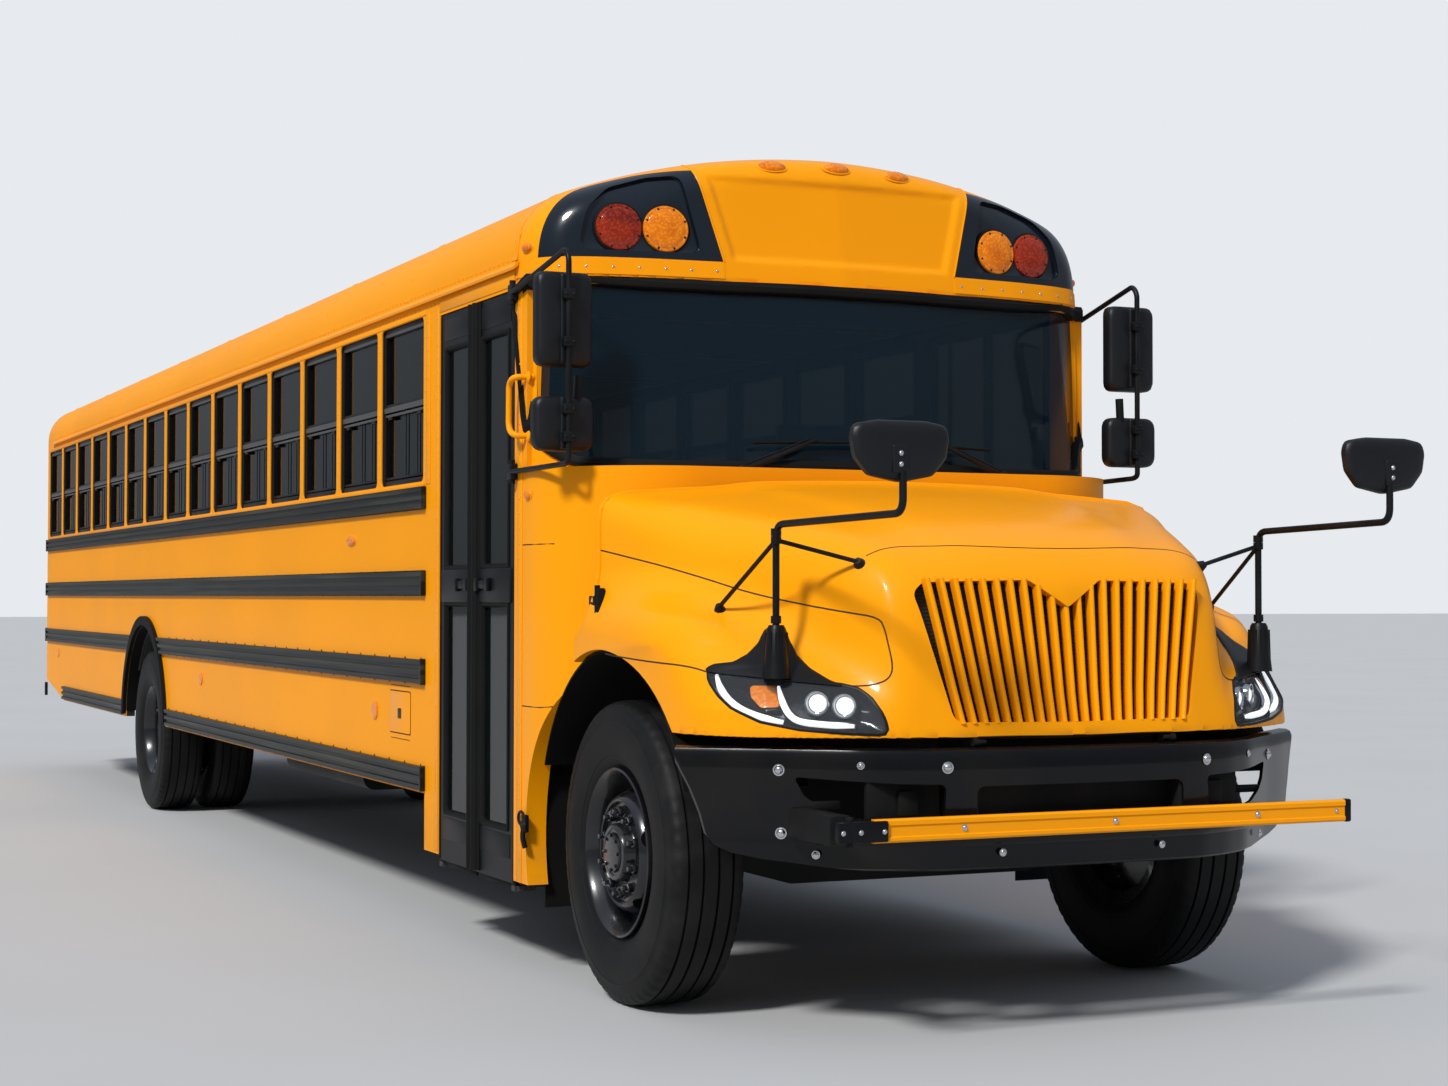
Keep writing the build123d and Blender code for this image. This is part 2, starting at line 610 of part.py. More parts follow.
# Roof shell with two hatch openings and their flat curbs
HATCH_AFTS = (4300, 9200)
HATCH_HALF = 290
HATCH_CURB = 30
HATCH_LID = 30
HATCH_BARREL_R = 9
CURB_TOP_Z = ROOF_TOP_Z + 6
ROOF_FRONT = DOOR_FRONT
ROOF_LENGTH = BODY_REAR - TAIL_LENGTH - CLEAR - ROOF_FRONT
with BuildPart() as roof:
    extrude(body_section(ROOF_FRONT, 0, WALL_TOP_Z), amount=-ROOF_LENGTH)
    extrude(body_section(ROOF_FRONT - 1, ROOF_SHEET, WALL_TOP_Z - 1), amount=-ROOF_LENGTH - 2, mode=Mode.SUBTRACT)
    for distance in HATCH_AFTS:
        outer = HATCH_HALF + HATCH_CURB
        middle = aft(distance)
        block((-outer, outer), (middle - outer, middle + outer), (ROOF_TOP_Z - ROOF_SHEET, CURB_TOP_Z))
        block(
            (-HATCH_HALF, HATCH_HALF),
            (middle - HATCH_HALF, middle + HATCH_HALF),
            (ROOF_TOP_Z - 2 * ROOF_SHEET, CURB_TOP_Z + 1),
            mode=Mode.SUBTRACT,
        )
        # Panel joints in line with the hatch's front and rear edges
        for joint_y in (middle - HATCH_HALF, middle + HATCH_HALF - CLEAR):
            block(
                (-BODY_HALF_WIDTH - 1, BODY_HALF_WIDTH + 1), (joint_y, joint_y + CLEAR),
                (WALL_TOP_Z - 1, CURB_TOP_Z + 1), mode=Mode.SUBTRACT,
            )
save(roof, "roof")

for name, distance in zip(("hatch_front", "hatch_rear"), HATCH_AFTS):
    outer = HATCH_HALF + HATCH_CURB - 5
    middle = aft(distance)
    with BuildPart() as hatch:
        block((-outer, outer), (middle - outer, middle + outer), (CURB_TOP_Z + CLEAR, CURB_TOP_Z + HATCH_LID))
        block(
            (-HATCH_HALF + 8, HATCH_HALF - 8),
            (middle - HATCH_HALF + 8, middle + HATCH_HALF - 8),
            (CURB_TOP_Z + HATCH_LID, CURB_TOP_Z + HATCH_LID + 10),
        )
        # The hinge barrel lies along the lid's front edge
        barrel = (middle - outer, CURB_TOP_Z + CLEAR + HATCH_BARREL_R)
        rod((-HATCH_HALF, *barrel), (HATCH_HALF, *barrel), HATCH_BARREL_R)
    save(hatch, name)

# Front cap: crowned in plan, with a lamp recess on each side and a shallow sign recess
CAP_SHOULDER_X = BODY_HALF_WIDTH - 219
CAP_SHOULDER_AFT = 570
CAP_SIDE_AFT = 720
CAP_EDGE_R = 120
CAP_LEAN = 60
LAMP_RECESS_AFT = 585
LAMP_RECESS_X = (BODY_HALF_WIDTH - 649, BODY_HALF_WIDTH - 209)
LAMP_RECESS_Z = (ROOF_TOP_Z - 440, ROOF_TOP_Z - 190)
ROOF_LAMP_R = 89
ROOF_LAMP_Z = ROOF_TOP_Z - 330
RED_LAMP_X = BODY_HALF_WIDTH - 321
AMBER_LAMP_X = BODY_HALF_WIDTH - 500


def cap_form(inset):
    """The cap's solid form, each face moved in by inset; open towards the rear."""
    extra = 1 if inset else 0
    rear = ROOF_FRONT - (CLEAR if not inset else -extra)
    low = CAP_BOTTOM_Z - extra
    extrude(body_section(aft(CAP_FRONT_AFT - 60), inset, low), amount=-(rear - aft(CAP_FRONT_AFT - 60)))
    side_x = BODY_HALF_WIDTH - inset + 0.01
    shoulder = (CAP_SHOULDER_X - inset * 0.4, aft(CAP_SHOULDER_AFT) + inset)
    with BuildSketch(level_plane(low - 1)) as plan:
        with BuildLine():
            ThreePointArc((-shoulder[0], shoulder[1]), (0, aft(CAP_FRONT_AFT) + inset), shoulder)
            for side in (-1, 1):
                ThreePointArc(
                    (side * shoulder[0], shoulder[1]),
                    (side * (side_x - 55), (shoulder[1] + aft(CAP_SIDE_AFT) + inset) / 2 - 25),
                    (side * side_x, aft(CAP_SIDE_AFT) + inset),
                )
                Line((side * side_x, aft(CAP_SIDE_AFT) + inset), (side * side_x, rear + 1))
            Line((-side_x, rear + 1), (side_x, rear + 1))
        make_face()
    extrude(plan.sketch, amount=ROOF_TOP_Z - low + 10, mode=Mode.INTERSECT)
    front = aft(CAP_FRONT_AFT) + inset - 5
    top = ROOF_TOP_Z - inset
    edge = CAP_EDGE_R - inset * 0.5
    with BuildSketch(side_plane(-BODY_HALF_WIDTH - 2)) as profile:
        with BuildLine():
            Line((rear + 1, low), (front, low))
            Line((front, low), (front + CAP_LEAN, top - edge))
            ThreePointArc(
                (front + CAP_LEAN, top - edge), (front + CAP_LEAN + edge * 0.25, top - edge * 0.36),
                (front + CAP_LEAN + edge, top + 0.01),
            )
            Line((front + CAP_LEAN + edge, top + 0.01), (rear + 1, top + 0.01))
            Line((rear + 1, top + 0.01), (rear + 1, low))
        make_face()
    extrude(profile.sketch, amount=2 * BODY_HALF_WIDTH + 4, mode=Mode.INTERSECT)


with BuildPart() as cap_cavity:
    cap_form(CAP_SHEET)
with BuildPart() as front_cap:
    cap_form(0)
    add(cap_cavity.part, mode=Mode.SUBTRACT)
    for side in (-1, 1):
        recess_x = sorted((side * LAMP_RECESS_X[0], side * LAMP_RECESS_X[1]))
        block(recess_x, (aft(LAMP_RECESS_AFT), aft(LAMP_RECESS_AFT) + 25), LAMP_RECESS_Z)
        block(recess_x, (aft(CAP_FRONT_AFT - 60), aft(LAMP_RECESS_AFT)), LAMP_RECESS_Z, mode=Mode.SUBTRACT)
save(front_cap, "front_cap")


# Windshield and its frame: a strip crowned in plan, leaning back
# columns: height, front at the centre, front at the shoulder, both behind the axle
SHIELD_STATIONS = ((COWL_TOP_Z + CLEAR, 277, 480), (SHIELD_TOP_Z - CLEAR, 470, 600))
SHIELD_SHOULDER_X = BODY_HALF_WIDTH - 169
SHIELD_END_AFT = 720
SHIELD_OPENING_X = BODY_HALF_WIDTH - 34
SHIELD_OPENING_Z = (COWL_TOP_Z + 25, SHIELD_TOP_Z - 28)
SHIELD_LOWER_R = 170
SHIELD_UPPER_R = 70


def shield_strip(front, thickness):
    """The leaning strip whose front lies this far behind the outer face."""
    faces = []
    for height, centre, shoulder in SHIELD_STATIONS:
        with BuildSketch(level_plane(height)) as plan:
            with BuildLine():
                for depth in (front, front + thickness):
                    end_x = BODY_HALF_WIDTH - 6 - depth
                    shoulder_x = SHIELD_SHOULDER_X - depth * 0.35
                    ThreePointArc(
                        (-shoulder_x, aft(shoulder) + depth), (0, aft(centre) + depth),
                        (shoulder_x, aft(shoulder) + depth),
                    )
                    for side in (-1, 1):
                        Line((side * shoulder_x, aft(shoulder) + depth), (side * end_x, aft(SHIELD_END_AFT)))
                for side in (-1, 1):
                    Line(
                        (side * (BODY_HALF_WIDTH - 6 - front), aft(SHIELD_END_AFT)),
                        (side * (BODY_HALF_WIDTH - 6 - front - thickness), aft(SHIELD_END_AFT)),
                    )
            make_face()
        faces.append(plan.sketch.faces()[0])
    return faces


def shield_opening(inset):
    """The windshield's opening seen from the front, moved in by inset, as deep as the strip."""
    low = SHIELD_OPENING_Z[0] + inset
    high = SHIELD_OPENING_Z[1] - inset
    with BuildSketch(cross_plane(aft(COWL_FRONT_AFT))) as opening:
        with Locations((0, (low + high) / 2)):
            Rectangle(2 * (SHIELD_OPENING_X - inset), high - low)
        fillet(opening.vertices().sort_by(Axis.Y)[:2], radius=SHIELD_LOWER_R)
        fillet(opening.vertices().sort_by(Axis.Y)[-2:], radius=SHIELD_UPPER_R)
    return opening.sketch


SHIELD_DEPTH = SHIELD_END_AFT - 30 - COWL_FRONT_AFT
with BuildPart() as windshield_frame:
    loft(shield_strip(0, SHIELD_SHEET), ruled=True)
    extrude(shield_opening(0), amount=-SHIELD_DEPTH, mode=Mode.SUBTRACT)
    for side in (-1, 1):
        block(
            sorted((side * (INNER_HALF - 10), side * BODY_HALF_WIDTH)),
            (aft(SHIELD_END_AFT - 20), DOOR_FRONT - CLEAR),
            (COWL_TOP_Z + CLEAR, CAP_BOTTOM_Z - CLEAR),
        )
save(windshield_frame, "windshield_frame")

with BuildPart() as windshield:
    loft(shield_strip(18, SHIELD_GLASS), ruled=True)
    extrude(shield_opening(CLEAR), amount=CLEAR - SHIELD_DEPTH, mode=Mode.INTERSECT)
save(windshield, "windshield")

# Glass of the side and rear windows
with BuildPart() as body_glass:
    for side in (-1, 1):
        plane = side_plane(side * (BODY_HALF_WIDTH - SASH_INSET - SASH_DEPTH / 2))
        extrude(pane_holes(plane, CLEAR, side > 0), amount=-side * GLASS)
    for side in (-1, 1):
        block(
            sorted((side * (REAR_WINDOW_X[0] + CLEAR), side * (REAR_WINDOW_X[1] - CLEAR))),
            (BODY_REAR - WALL / 2, BODY_REAR - WALL / 2 + GLASS),
            (REAR_WINDOW_Z[0] + CLEAR, REAR_WINDOW_Z[1] - CLEAR),
        )
save(body_glass, "body_glass")


# Cowl: rounded front corners of the body, the toe board and the wheelhouses over the front wheels
def cowl_plan(inset, z, rear):
    """The cowl's outline in plan at height z, each side moved in by inset, cut at rear."""
    side_x = BODY_HALF_WIDTH - inset
    corner_r = COWL_SIDE_AFT - COWL_FRONT_AFT - inset
    centre_x = BODY_HALF_WIDTH - corner_r - inset
    centre_y = aft(COWL_SIDE_AFT)
    with BuildSketch(level_plane(z)) as plan:
        with BuildLine():
            Line((-centre_x, centre_y - corner_r), (centre_x, centre_y - corner_r))
            for side in (-1, 1):
                ThreePointArc(
                    (side * centre_x, centre_y - corner_r),
                    (side * (centre_x + corner_r * cos(radians(45))), centre_y - corner_r * sin(radians(45))),
                    (side * side_x, centre_y),
                )
                Line((side * side_x, centre_y), (side * side_x, rear))
            Line((-side_x, rear), (side_x, rear))
        make_face()
    return plan.sketch


LEG_BOTTOM_Z = 340
TOE_PLATE_AFT = 600
TOE_PLATE_X = INNER_HALF - 59
with BuildPart() as cowl_cavity:
    extrude(cowl_plan(WALL, LEG_BOTTOM_Z - 1, DOOR_FRONT + 1), amount=COWL_TOP_Z - COWL_COVER - LEG_BOTTOM_Z + 1)
    block(
        (-INNER_HALF, INNER_HALF), (aft(SHIELD_END_AFT), DOOR_FRONT + 1),
        (COWL_TOP_Z - COWL_COVER - 1, COWL_TOP_Z + 1),
    )
    rod((-1300, aft(0), AXLE_Z), (1300, aft(0), AXLE_Z), ARCH_R + WHEELHOUSE_SHEET, mode=Mode.SUBTRACT)
with BuildPart() as cowl:
    extrude(cowl_plan(0, LEG_BOTTOM_Z, DOOR_FRONT - CLEAR), amount=COWL_TOP_Z - LEG_BOTTOM_Z)
    add(cowl_cavity.part, mode=Mode.SUBTRACT)
    block((-TOE_PLATE_X, TOE_PLATE_X), (aft(TOE_PLATE_AFT), FLOOR_FRONT - CLEAR), (FLOOR_Z - FLOOR_PLATE, FLOOR_Z))
    rod((-1300, aft(0), AXLE_Z), (1300, aft(0), AXLE_Z), ARCH_R, mode=Mode.SUBTRACT)
    block(
        (ARCH_LIP - INNER_HALF, INNER_HALF - ARCH_LIP), (aft(0), DOOR_FRONT + 1), (LEG_BOTTOM_Z - 1, RAIL_TOP_Z),
        mode=Mode.SUBTRACT,
    )
save(cowl, "cowl")

# Rub rails: four ribbed rails on each side, interrupted at the rear wheel and shorter at the foot
# columns: low edge, high edge, front end, rear end, all clear of the arch where they meet it
RAIL_DEPTH = 22
SIDE_RAILS = (
    (1780, 1867, WINDOW_FIRST_AFT, None),
    (1415, 1512, WINDOW_FIRST_AFT, None),
    (1039, 1141, WINDOW_FIRST_AFT, None),
    (592, 692, WINDOW_FIRST_AFT, TAIL_AFT),
)
RAIL_RIBS = 3
with BuildPart() as rub_rails:
    for low, high, front, rear in SIDE_RAILS:
        rear_y = BODY_REAR_IN if rear is None else aft(rear)
        for side in (-1, 1):
            foot = side * (BODY_HALF_WIDTH + CLEAR)
            face = side * (BODY_HALF_WIDTH + RAIL_DEPTH)
            rib = (high - low) / (2 * RAIL_RIBS - 1)
            block(sorted((foot, foot + side * RAIL_DEPTH / 2)), (aft(front), rear_y), (low, high))
            for step in range(RAIL_RIBS):
                block(sorted((foot, face)), (aft(front), rear_y), (low + 2 * step * rib, low + (2 * step + 1) * rib))
    for side in (-1, 1):
        arch = disc(side_plane(side * BODY_HALF_WIDTH), (REAR_AXLE_Y, AXLE_Z), REAR_ARCH_R + 75)
        extrude(arch, amount=side * RAIL_DEPTH * 2, mode=Mode.SUBTRACT)
save(rub_rails, "rub_rails")

# Rubber arch trims round the rear wheels, mud flaps behind all wheels
FLAP_SHEET = 8
ARCH_TRIM = 60
FRONT_FLAP_AFT = 705
FRONT_FLAP_TOP_Z = 740
FLAP_BOTTOM_Z = 250
REAR_FLAP_AFT = REAR_AXLE_AFT + REAR_ARCH_R - 75
with BuildPart() as mud_guards:
    for side in (-1, 1):
        plane = side_plane(side * (BODY_HALF_WIDTH + CLEAR))
        ring = disc(plane, (REAR_AXLE_Y, AXLE_Z), REAR_ARCH_R + ARCH_TRIM)
        hole = disc(plane, (REAR_AXLE_Y, AXLE_Z), REAR_ARCH_R)
        extrude(ring, amount=side * 26)
        extrude(hole, amount=side * 26, mode=Mode.SUBTRACT)
    block(
        (-BODY_HALF_WIDTH - 60, BODY_HALF_WIDTH + 60),
        (REAR_AXLE_Y - REAR_ARCH_R - 80, REAR_AXLE_Y + REAR_ARCH_R + 80),
        (-300, SKIRT_Z + 20),
        mode=Mode.SUBTRACT,
    )
    for side in (-1, 1):
        block(
            sorted((side * 900, side * (INNER_HALF - ARCH_LIP - CLEAR))),
            (aft(FRONT_FLAP_AFT), aft(FRONT_FLAP_AFT) + FLAP_SHEET),
            (FLAP_BOTTOM_Z, FRONT_FLAP_TOP_Z),
        )
        block(
            sorted((side * (WHEELHOUSE_X + 40), side * (INNER_HALF - 10))),
            (aft(REAR_FLAP_AFT), aft(REAR_FLAP_AFT) + FLAP_SHEET),
            (FLAP_BOTTOM_Z, FLOOR_Z - FLOOR_PLATE - CLEAR),
        )
save(mud_guards, "mud_guards")


# Hood: a lofted middle with a fender on each side, hollow, tilting about two front lugs
# columns: distance, half width, side top, shoulder half width, shoulder height, crown height
HOOD_SECTIONS = (
    (HOOD_REAR_AFT, FENDER_X - 40, 1670, FENDER_X - 140, 1770, 1828),
    (-100, FENDER_X - 120, 1610, FENDER_X - 255, 1720, 1800),
    (-400, FENDER_X - 255, 1540, FENDER_X - 390, 1665, 1755),
    (-700, FENDER_X - 415, 1465, FENDER_X - 530, 1600, 1688),
    (-900, FENDER_X - 510, 1420, FENDER_X - 610, 1530, 1612),
    (-1070, FENDER_X - 575, 1390, FENDER_X - 645, 1450, 1508),
)
NOSE_AFT = -1155
NOSE_HALF = FENDER_X - 730
NOSE_TOP_Z = 1010


def hood_section(distance, half, side_z, shoulder, shoulder_z, crown_z, low):
    """One closed section of the hood's middle."""
    with BuildSketch(cross_plane(aft(distance))) as section:
        with BuildLine():
            Line((-half, low), (half, low))
            for side in (-1, 1):
                Line((side * half, low), (side * half, side_z))
                ThreePointArc(
                    (side * half, side_z),
                    (side * (half - (half - shoulder) * 0.3), side_z + (shoulder_z - side_z) * 0.72),
                    (side * shoulder, shoulder_z),
                )
            ThreePointArc((-shoulder, shoulder_z), (0, crown_z), (shoulder, shoulder_z))
        make_face()
    return section.sketch.faces()[0]


def hood_middle(inset):
    """The hood's lofted middle with every face moved in by inset."""
    extra = 2 if inset else 0
    with BuildPart() as middle_form:
        sections = []
        for distance, half, side_z, shoulder, shoulder_z, crown_z in HOOD_SECTIONS:
            shift = extra if distance == HOOD_REAR_AFT else inset * 0.3
            sections.append(
                hood_section(
                    distance + shift, half - inset, side_z - inset * 0.5, shoulder - inset * 0.7,
                    shoulder_z - inset, crown_z - inset, HOOD_BOTTOM_Z - extra,
                )
            )
        loft(sections, ruled=True)
    return middle_form.part


def hood_nose(inset):
    """The flat nose that leans back round the grille, moved in by inset."""
    low = HOOD_BOTTOM_Z - (2 if inset else 0)
    last_aft, _, _, last_half, last_z, _ = HOOD_SECTIONS[-1]
    half = last_half - inset * 0.7
    with BuildPart() as nose_form:
        with BuildSketch(level_plane(low)):
            with BuildLine():
                Polyline(
                    (-half - 60, aft(last_aft + 6)),
                    (-NOSE_HALF + inset * 0.7, aft(NOSE_AFT)),
                    (NOSE_HALF - inset * 0.7, aft(NOSE_AFT)),
                    (half + 60, aft(last_aft + 6)),
                    close=True,
                )
            make_face()
        extrude(amount=last_z - low)
        profile = outline(
            side_plane(-NOSE_HALF - 200),
            [
                (aft(last_aft + 5), low),
                (aft(NOSE_AFT) + inset, low),
                (aft(NOSE_AFT) + inset, NOSE_TOP_Z),
                (aft(last_aft) + inset * 0.3, last_z - inset),
                (aft(last_aft + 5), last_z - inset),
            ],
        )
        extrude(profile, amount=2 * NOSE_HALF + 400, mode=Mode.INTERSECT)
    return nose_form.part


def fender_form(side, inset):
    """One fender: a side profile cut to the plan outline."""
    extra = 2 if inset else 0
    low = HOOD_BOTTOM_Z - extra
    top = FENDER_TOP_Z - inset
    outer = FENDER_X - inset
    tip = FENDER_TIP_AFT + extra
    tip_x = FENDER_TIP_X + inset * 0.4
    with BuildPart() as fender:
        with BuildSketch(side_plane(0)) as profile:
            with BuildLine():
                Line((aft(tip), 1222 - extra), (aft(tip), FENDER_TIP_Z - inset))
                ThreePointArc((aft(tip), FENDER_TIP_Z - inset), (aft(60), top - 25), (aft(-200), top))
                ThreePointArc((aft(-200), top), (aft(-480), top - 50), (aft(-760), top - 172))
                Line((aft(-760), top - 172), (aft(-1130) + inset, FENDER_NOSE_Z - inset))
                Line((aft(-1130) + inset, FENDER_NOSE_Z - inset), (aft(-1130) + inset, low))
                Line((aft(-1130) + inset, low), (aft(-100), low))
                Line((aft(-100), low), (aft(tip), 1222 - extra))
            make_face()
        extrude(profile.sketch, amount=side * outer)
        if not inset:
            crest = fender.edges().filter_by_position(Axis.X, side * outer - 1, side * outer + 1)
            fillet(crest.filter_by_position(Axis.Z, FENDER_NOSE_Z - 1, top + 1), FENDER_ROUND_R)
        with BuildSketch(level_plane(low - 50)) as plan:
            with BuildLine():
                Line((side * FENDER_ROOT_X, aft(HOOD_REAR_AFT - 5)), (side * tip_x, aft(HOOD_REAR_AFT - 5)))
                Line((side * tip_x, aft(HOOD_REAR_AFT - 5)), (side * tip_x, aft(tip) + 10))
                Line((side * tip_x, aft(tip) + 10), (side * outer, aft(tip) + 10))
                Line((side * outer, aft(tip) + 10), (side * outer, aft(-520)))
                ThreePointArc(
                    (side * outer, aft(-520)), (side * (outer - 45), aft(-760) + inset * 0.5),
                    (side * (outer - 210), aft(-930) + inset * 0.8),
                )
                Line((side * (outer - 210), aft(-930) + inset * 0.8), (side * FENDER_NOSE_X, aft(-1150) + inset))
                Line((side * FENDER_NOSE_X, aft(-1150) + inset), (side * FENDER_ROOT_X, aft(-1150) + inset))
                Line((side * FENDER_ROOT_X, aft(-1150) + inset), (side * FENDER_ROOT_X, aft(HOOD_REAR_AFT - 5)))
            make_face()
        extrude(plan.sketch, amount=700, mode=Mode.INTERSECT)
    return fender.part


def hood_forms(inset):
    """The solids whose union is the hood's form with every face moved in by inset."""
    return [hood_middle(inset), hood_nose(inset), fender_form(-1, inset), fender_form(1, inset)]


# The grille's outline on its leaning plane, from the lower edge up
GRILLE_LEAN = 7
GRILLE_PLANE = Plane(
    origin=(0, aft(-1150), 1008), x_dir=(1, 0, 0),
    z_dir=(0, -cos(radians(GRILLE_LEAN)), sin(radians(GRILLE_LEAN))),
)
GRILLE_OUTLINE = (
    (-445, 8), (0, 0), (445, 8), (540, 425), (500, 452), (128, 455), (0, 372), (-128, 455), (-500, 452), (-540, 425),
)


def grille_face(inset):
    """The grille's outline, moved in by inset."""
    with BuildSketch(GRILLE_PLANE) as face:
        with BuildLine():
            Polyline(*GRILLE_OUTLINE, close=True)
        make_face()
        if inset:
            offset(amount=-inset, kind=Kind.INTERSECTION)
    return face.sketch


# The lamp pocket's outline on a plane across each front corner: along the corner, then up
LAMP_PLANE_X = FENDER_X - 270
LAMP_PLANE_AFT = -930
LAMP_TURN = 40
LAMP_OUTLINE = (
    (-294, 165), (-283, 134), (-244, 88), (-190, 49), (-88, 7), (39, -16), (194, -28),
    (318, -32), (283, 41), (247, 83), (205, 113), (145, 125), (18, 136), (-105, 149),
)
LAMP_BASE_Z = 1008
LAMP_DEPTH = 70


def lamp_face(side, inset):
    """The headlight's outline across a front corner, from its outer end to its inner end."""
    turn = radians(LAMP_TURN)
    plane = Plane(
        origin=(side * LAMP_PLANE_X, aft(LAMP_PLANE_AFT), LAMP_BASE_Z),
        x_dir=(-side * cos(turn), -sin(turn), 0),
        z_dir=(-sin(turn), side * cos(turn), 0),
    )
    with BuildSketch(plane) as face:
        with BuildLine():
            Polyline(*LAMP_OUTLINE, close=True)
        make_face()
        if inset:
            offset(amount=-inset, kind=Kind.INTERSECTION)
    return face.sketch


outer_forms = hood_forms(0)
cavity_forms = hood_forms(HOOD_SHEET)
lamp_backs = [fender_form(side, LAMP_DEPTH) for side in (-1, 1)]
with BuildPart() as hood_outer:
    add(outer_forms)
with BuildPart() as hood_cavity:
    add(cavity_forms)
with BuildPart() as hood:
    add(hood_outer.part)
    add(hood_cavity.part, mode=Mode.SUBTRACT)
    rod((-1300, aft(0), AXLE_Z), (1300, aft(0), AXLE_Z), ARCH_R, mode=Mode.SUBTRACT)
    extrude(grille_face(0), amount=120, both=True, mode=Mode.SUBTRACT)
    for side in (-1, 1):
        extrude(lamp_face(side, 0), amount=300, both=True, mode=Mode.SUBTRACT)
        lug = outline(
            side_plane(side * HOOD_LUG_X - EAR_THICKNESS / 2),
            [
                (aft(HOOD_PIVOT_AFT - EAR_TIP_R), HOOD_PIVOT_Z - EAR_TIP_R),
                (aft(HOOD_PIVOT_AFT + EAR_TIP_R), HOOD_PIVOT_Z - EAR_TIP_R),
                (aft(HOOD_PIVOT_AFT + EAR_TIP_R), HOOD_BOTTOM_Z + 34),
                (aft(NOSE_AFT) + 5, HOOD_BOTTOM_Z + 34),
                (aft(NOSE_AFT) + 5, HOOD_BOTTOM_Z + 5),
                (aft(HOOD_PIVOT_AFT - EAR_TIP_R), HOOD_BOTTOM_Z),
            ],
        )
        extrude(lug, amount=EAR_THICKNESS)
        lug_face = side * HOOD_LUG_X - EAR_THICKNESS
        pivot = (aft(HOOD_PIVOT_AFT), HOOD_PIVOT_Z)
        rod((lug_face, *pivot), (lug_face + 2 * EAR_THICKNESS, *pivot), HOOD_PIN_R, mode=Mode.SUBTRACT)
save(hood, "hood")

with BuildPart() as grille:
    with BuildSketch(GRILLE_PLANE) as bars:
        with Locations((0, 230)):
            with GridLocations(GRILLE_BAR_PITCH, 1, GRILLE_BARS, 1):
                Rectangle(GRILLE_BAR, 520)
    extrude(bars.sketch, amount=GRILLE_DEPTH / 2, both=True)
    with BuildSketch(GRILLE_PLANE.offset(-GRILLE_DEPTH / 2)) as cross_rails:
        with Locations((0, 120), (0, 300)):
            Rectangle(1100, 30)
    extrude(cross_rails.sketch, amount=12)
    extrude(grille_face(CLEAR), amount=60, both=True, mode=Mode.INTERSECT)
save(grille, "grille")

with BuildPart() as headlights:
    for side in (-1, 1):
        extrude(lamp_face(side, CLEAR), amount=300, both=True)
    add(hood_outer.part, mode=Mode.INTERSECT)
    add(lamp_backs, mode=Mode.SUBTRACT)
save(headlights, "headlights")


# Front bumper: a bent strip with openings, carried by the frame's front ends
# columns: half distance across, distance from the front axle along the bumper's face
BUMPER_END_X = BODY_HALF_WIDTH - 8
BUMPER_PLAN = (
    (0, -1184), (BUMPER_END_X - 722, -1161), (BUMPER_END_X - 471, -1052), (BUMPER_END_X - 271, -889),
    (BUMPER_END_X - 121, -775), (BUMPER_END_X, -678),
)
# columns: distance in from the bumper's end, height of its lower edge there
BUMPER_TRIM = (
    (0, 905), (42, 816), (68, 720), (83, 655), (107, 622), (153, 600), (321, 571), (611, BUMPER_BOTTOM_Z),
)
# columns: distance in from the bumper's end, height
BUMPER_OPENING = (
    (306, 842), (331, 784), (372, 748), (448, 719), (561, 704), (711, 704), (719, 822), (590, 824), (410, 834),
)


def bumper_strip(depth):
    """The bumper's plan line moved back by depth, as points from the left end to the right."""
    shifts = (1.0, 1.0, 0.8, 0.75, 0.75, 0.75)
    pulls = (0, 0.1, 0.6, 0.7, 0.7, 0.7)
    half = [
        (x - depth * pull, aft(distance) + depth * shift)
        for (x, distance), shift, pull in zip(BUMPER_PLAN, shifts, pulls)
    ]
    return half


with BuildPart() as front_bumper:
    outer = bumper_strip(0)
    inner = bumper_strip(BUMPER_SHEET)
    with BuildSketch(level_plane(BUMPER_BOTTOM_Z)) as plan:
        with BuildLine():
            for line in (outer, inner):
                ThreePointArc((-line[1][0], line[1][1]), line[0], line[1])
                for side in (-1, 1):
                    ThreePointArc(*[(side * line[index][0], line[index][1]) for index in (1, 2, 3)])
                    ThreePointArc(*[(side * line[index][0], line[index][1]) for index in (3, 4, 5)])
            for side in (-1, 1):
                Line((side * outer[5][0], outer[5][1]), (side * inner[5][0], inner[5][1]))
        make_face()
    extrude(plan.sketch, amount=BUMPER_TOP_Z - BUMPER_BOTTOM_Z)
    corner = [(BUMPER_END_X + 9, BUMPER_TOP_Z), (BUMPER_END_X + 9, BUMPER_TRIM[0][1])]
    corner = corner + [(BUMPER_END_X - inward, height) for inward, height in BUMPER_TRIM]
    face = outline(cross_plane(aft(-1300)), [(-x, z) for x, z in corner] + corner[::-1])
    extrude(face, amount=-800, mode=Mode.INTERSECT)
    with BuildSketch(cross_plane(aft(-1300))) as openings:
        with Locations((0, 757)):
            RectangleRounded(780, 115, 30)
        for side in (-1, 1):
            with BuildLine():
                Polyline(*[(side * (BUMPER_END_X - inward), height) for inward, height in BUMPER_OPENING], close=True)
            make_face()
    extrude(openings.sketch, amount=-800, mode=Mode.SUBTRACT)
    for side in (-1, 1):
        block(
            sorted((side * (RAIL_X - 35), side * RAIL_X)),
            (aft(-1150), FRAME_FRONT - CLEAR),
            (RAIL_BOTTOM_Z + 40, RAIL_TOP_Z - 20),
        )
    gate_bracket = ((-930, -860), (aft(-1215), aft(-890)), (655, 745))
    block(*gate_bracket)
    rod((-895, aft(-1275), 655), (-895, aft(-1275), 745), 12)
    block((-915, -875), (aft(-1275), aft(-1200)), (655, 672))
    block((-915, -875), (aft(-1275), aft(-1200)), (728, 745))
save(front_bumper, "front_bumper")

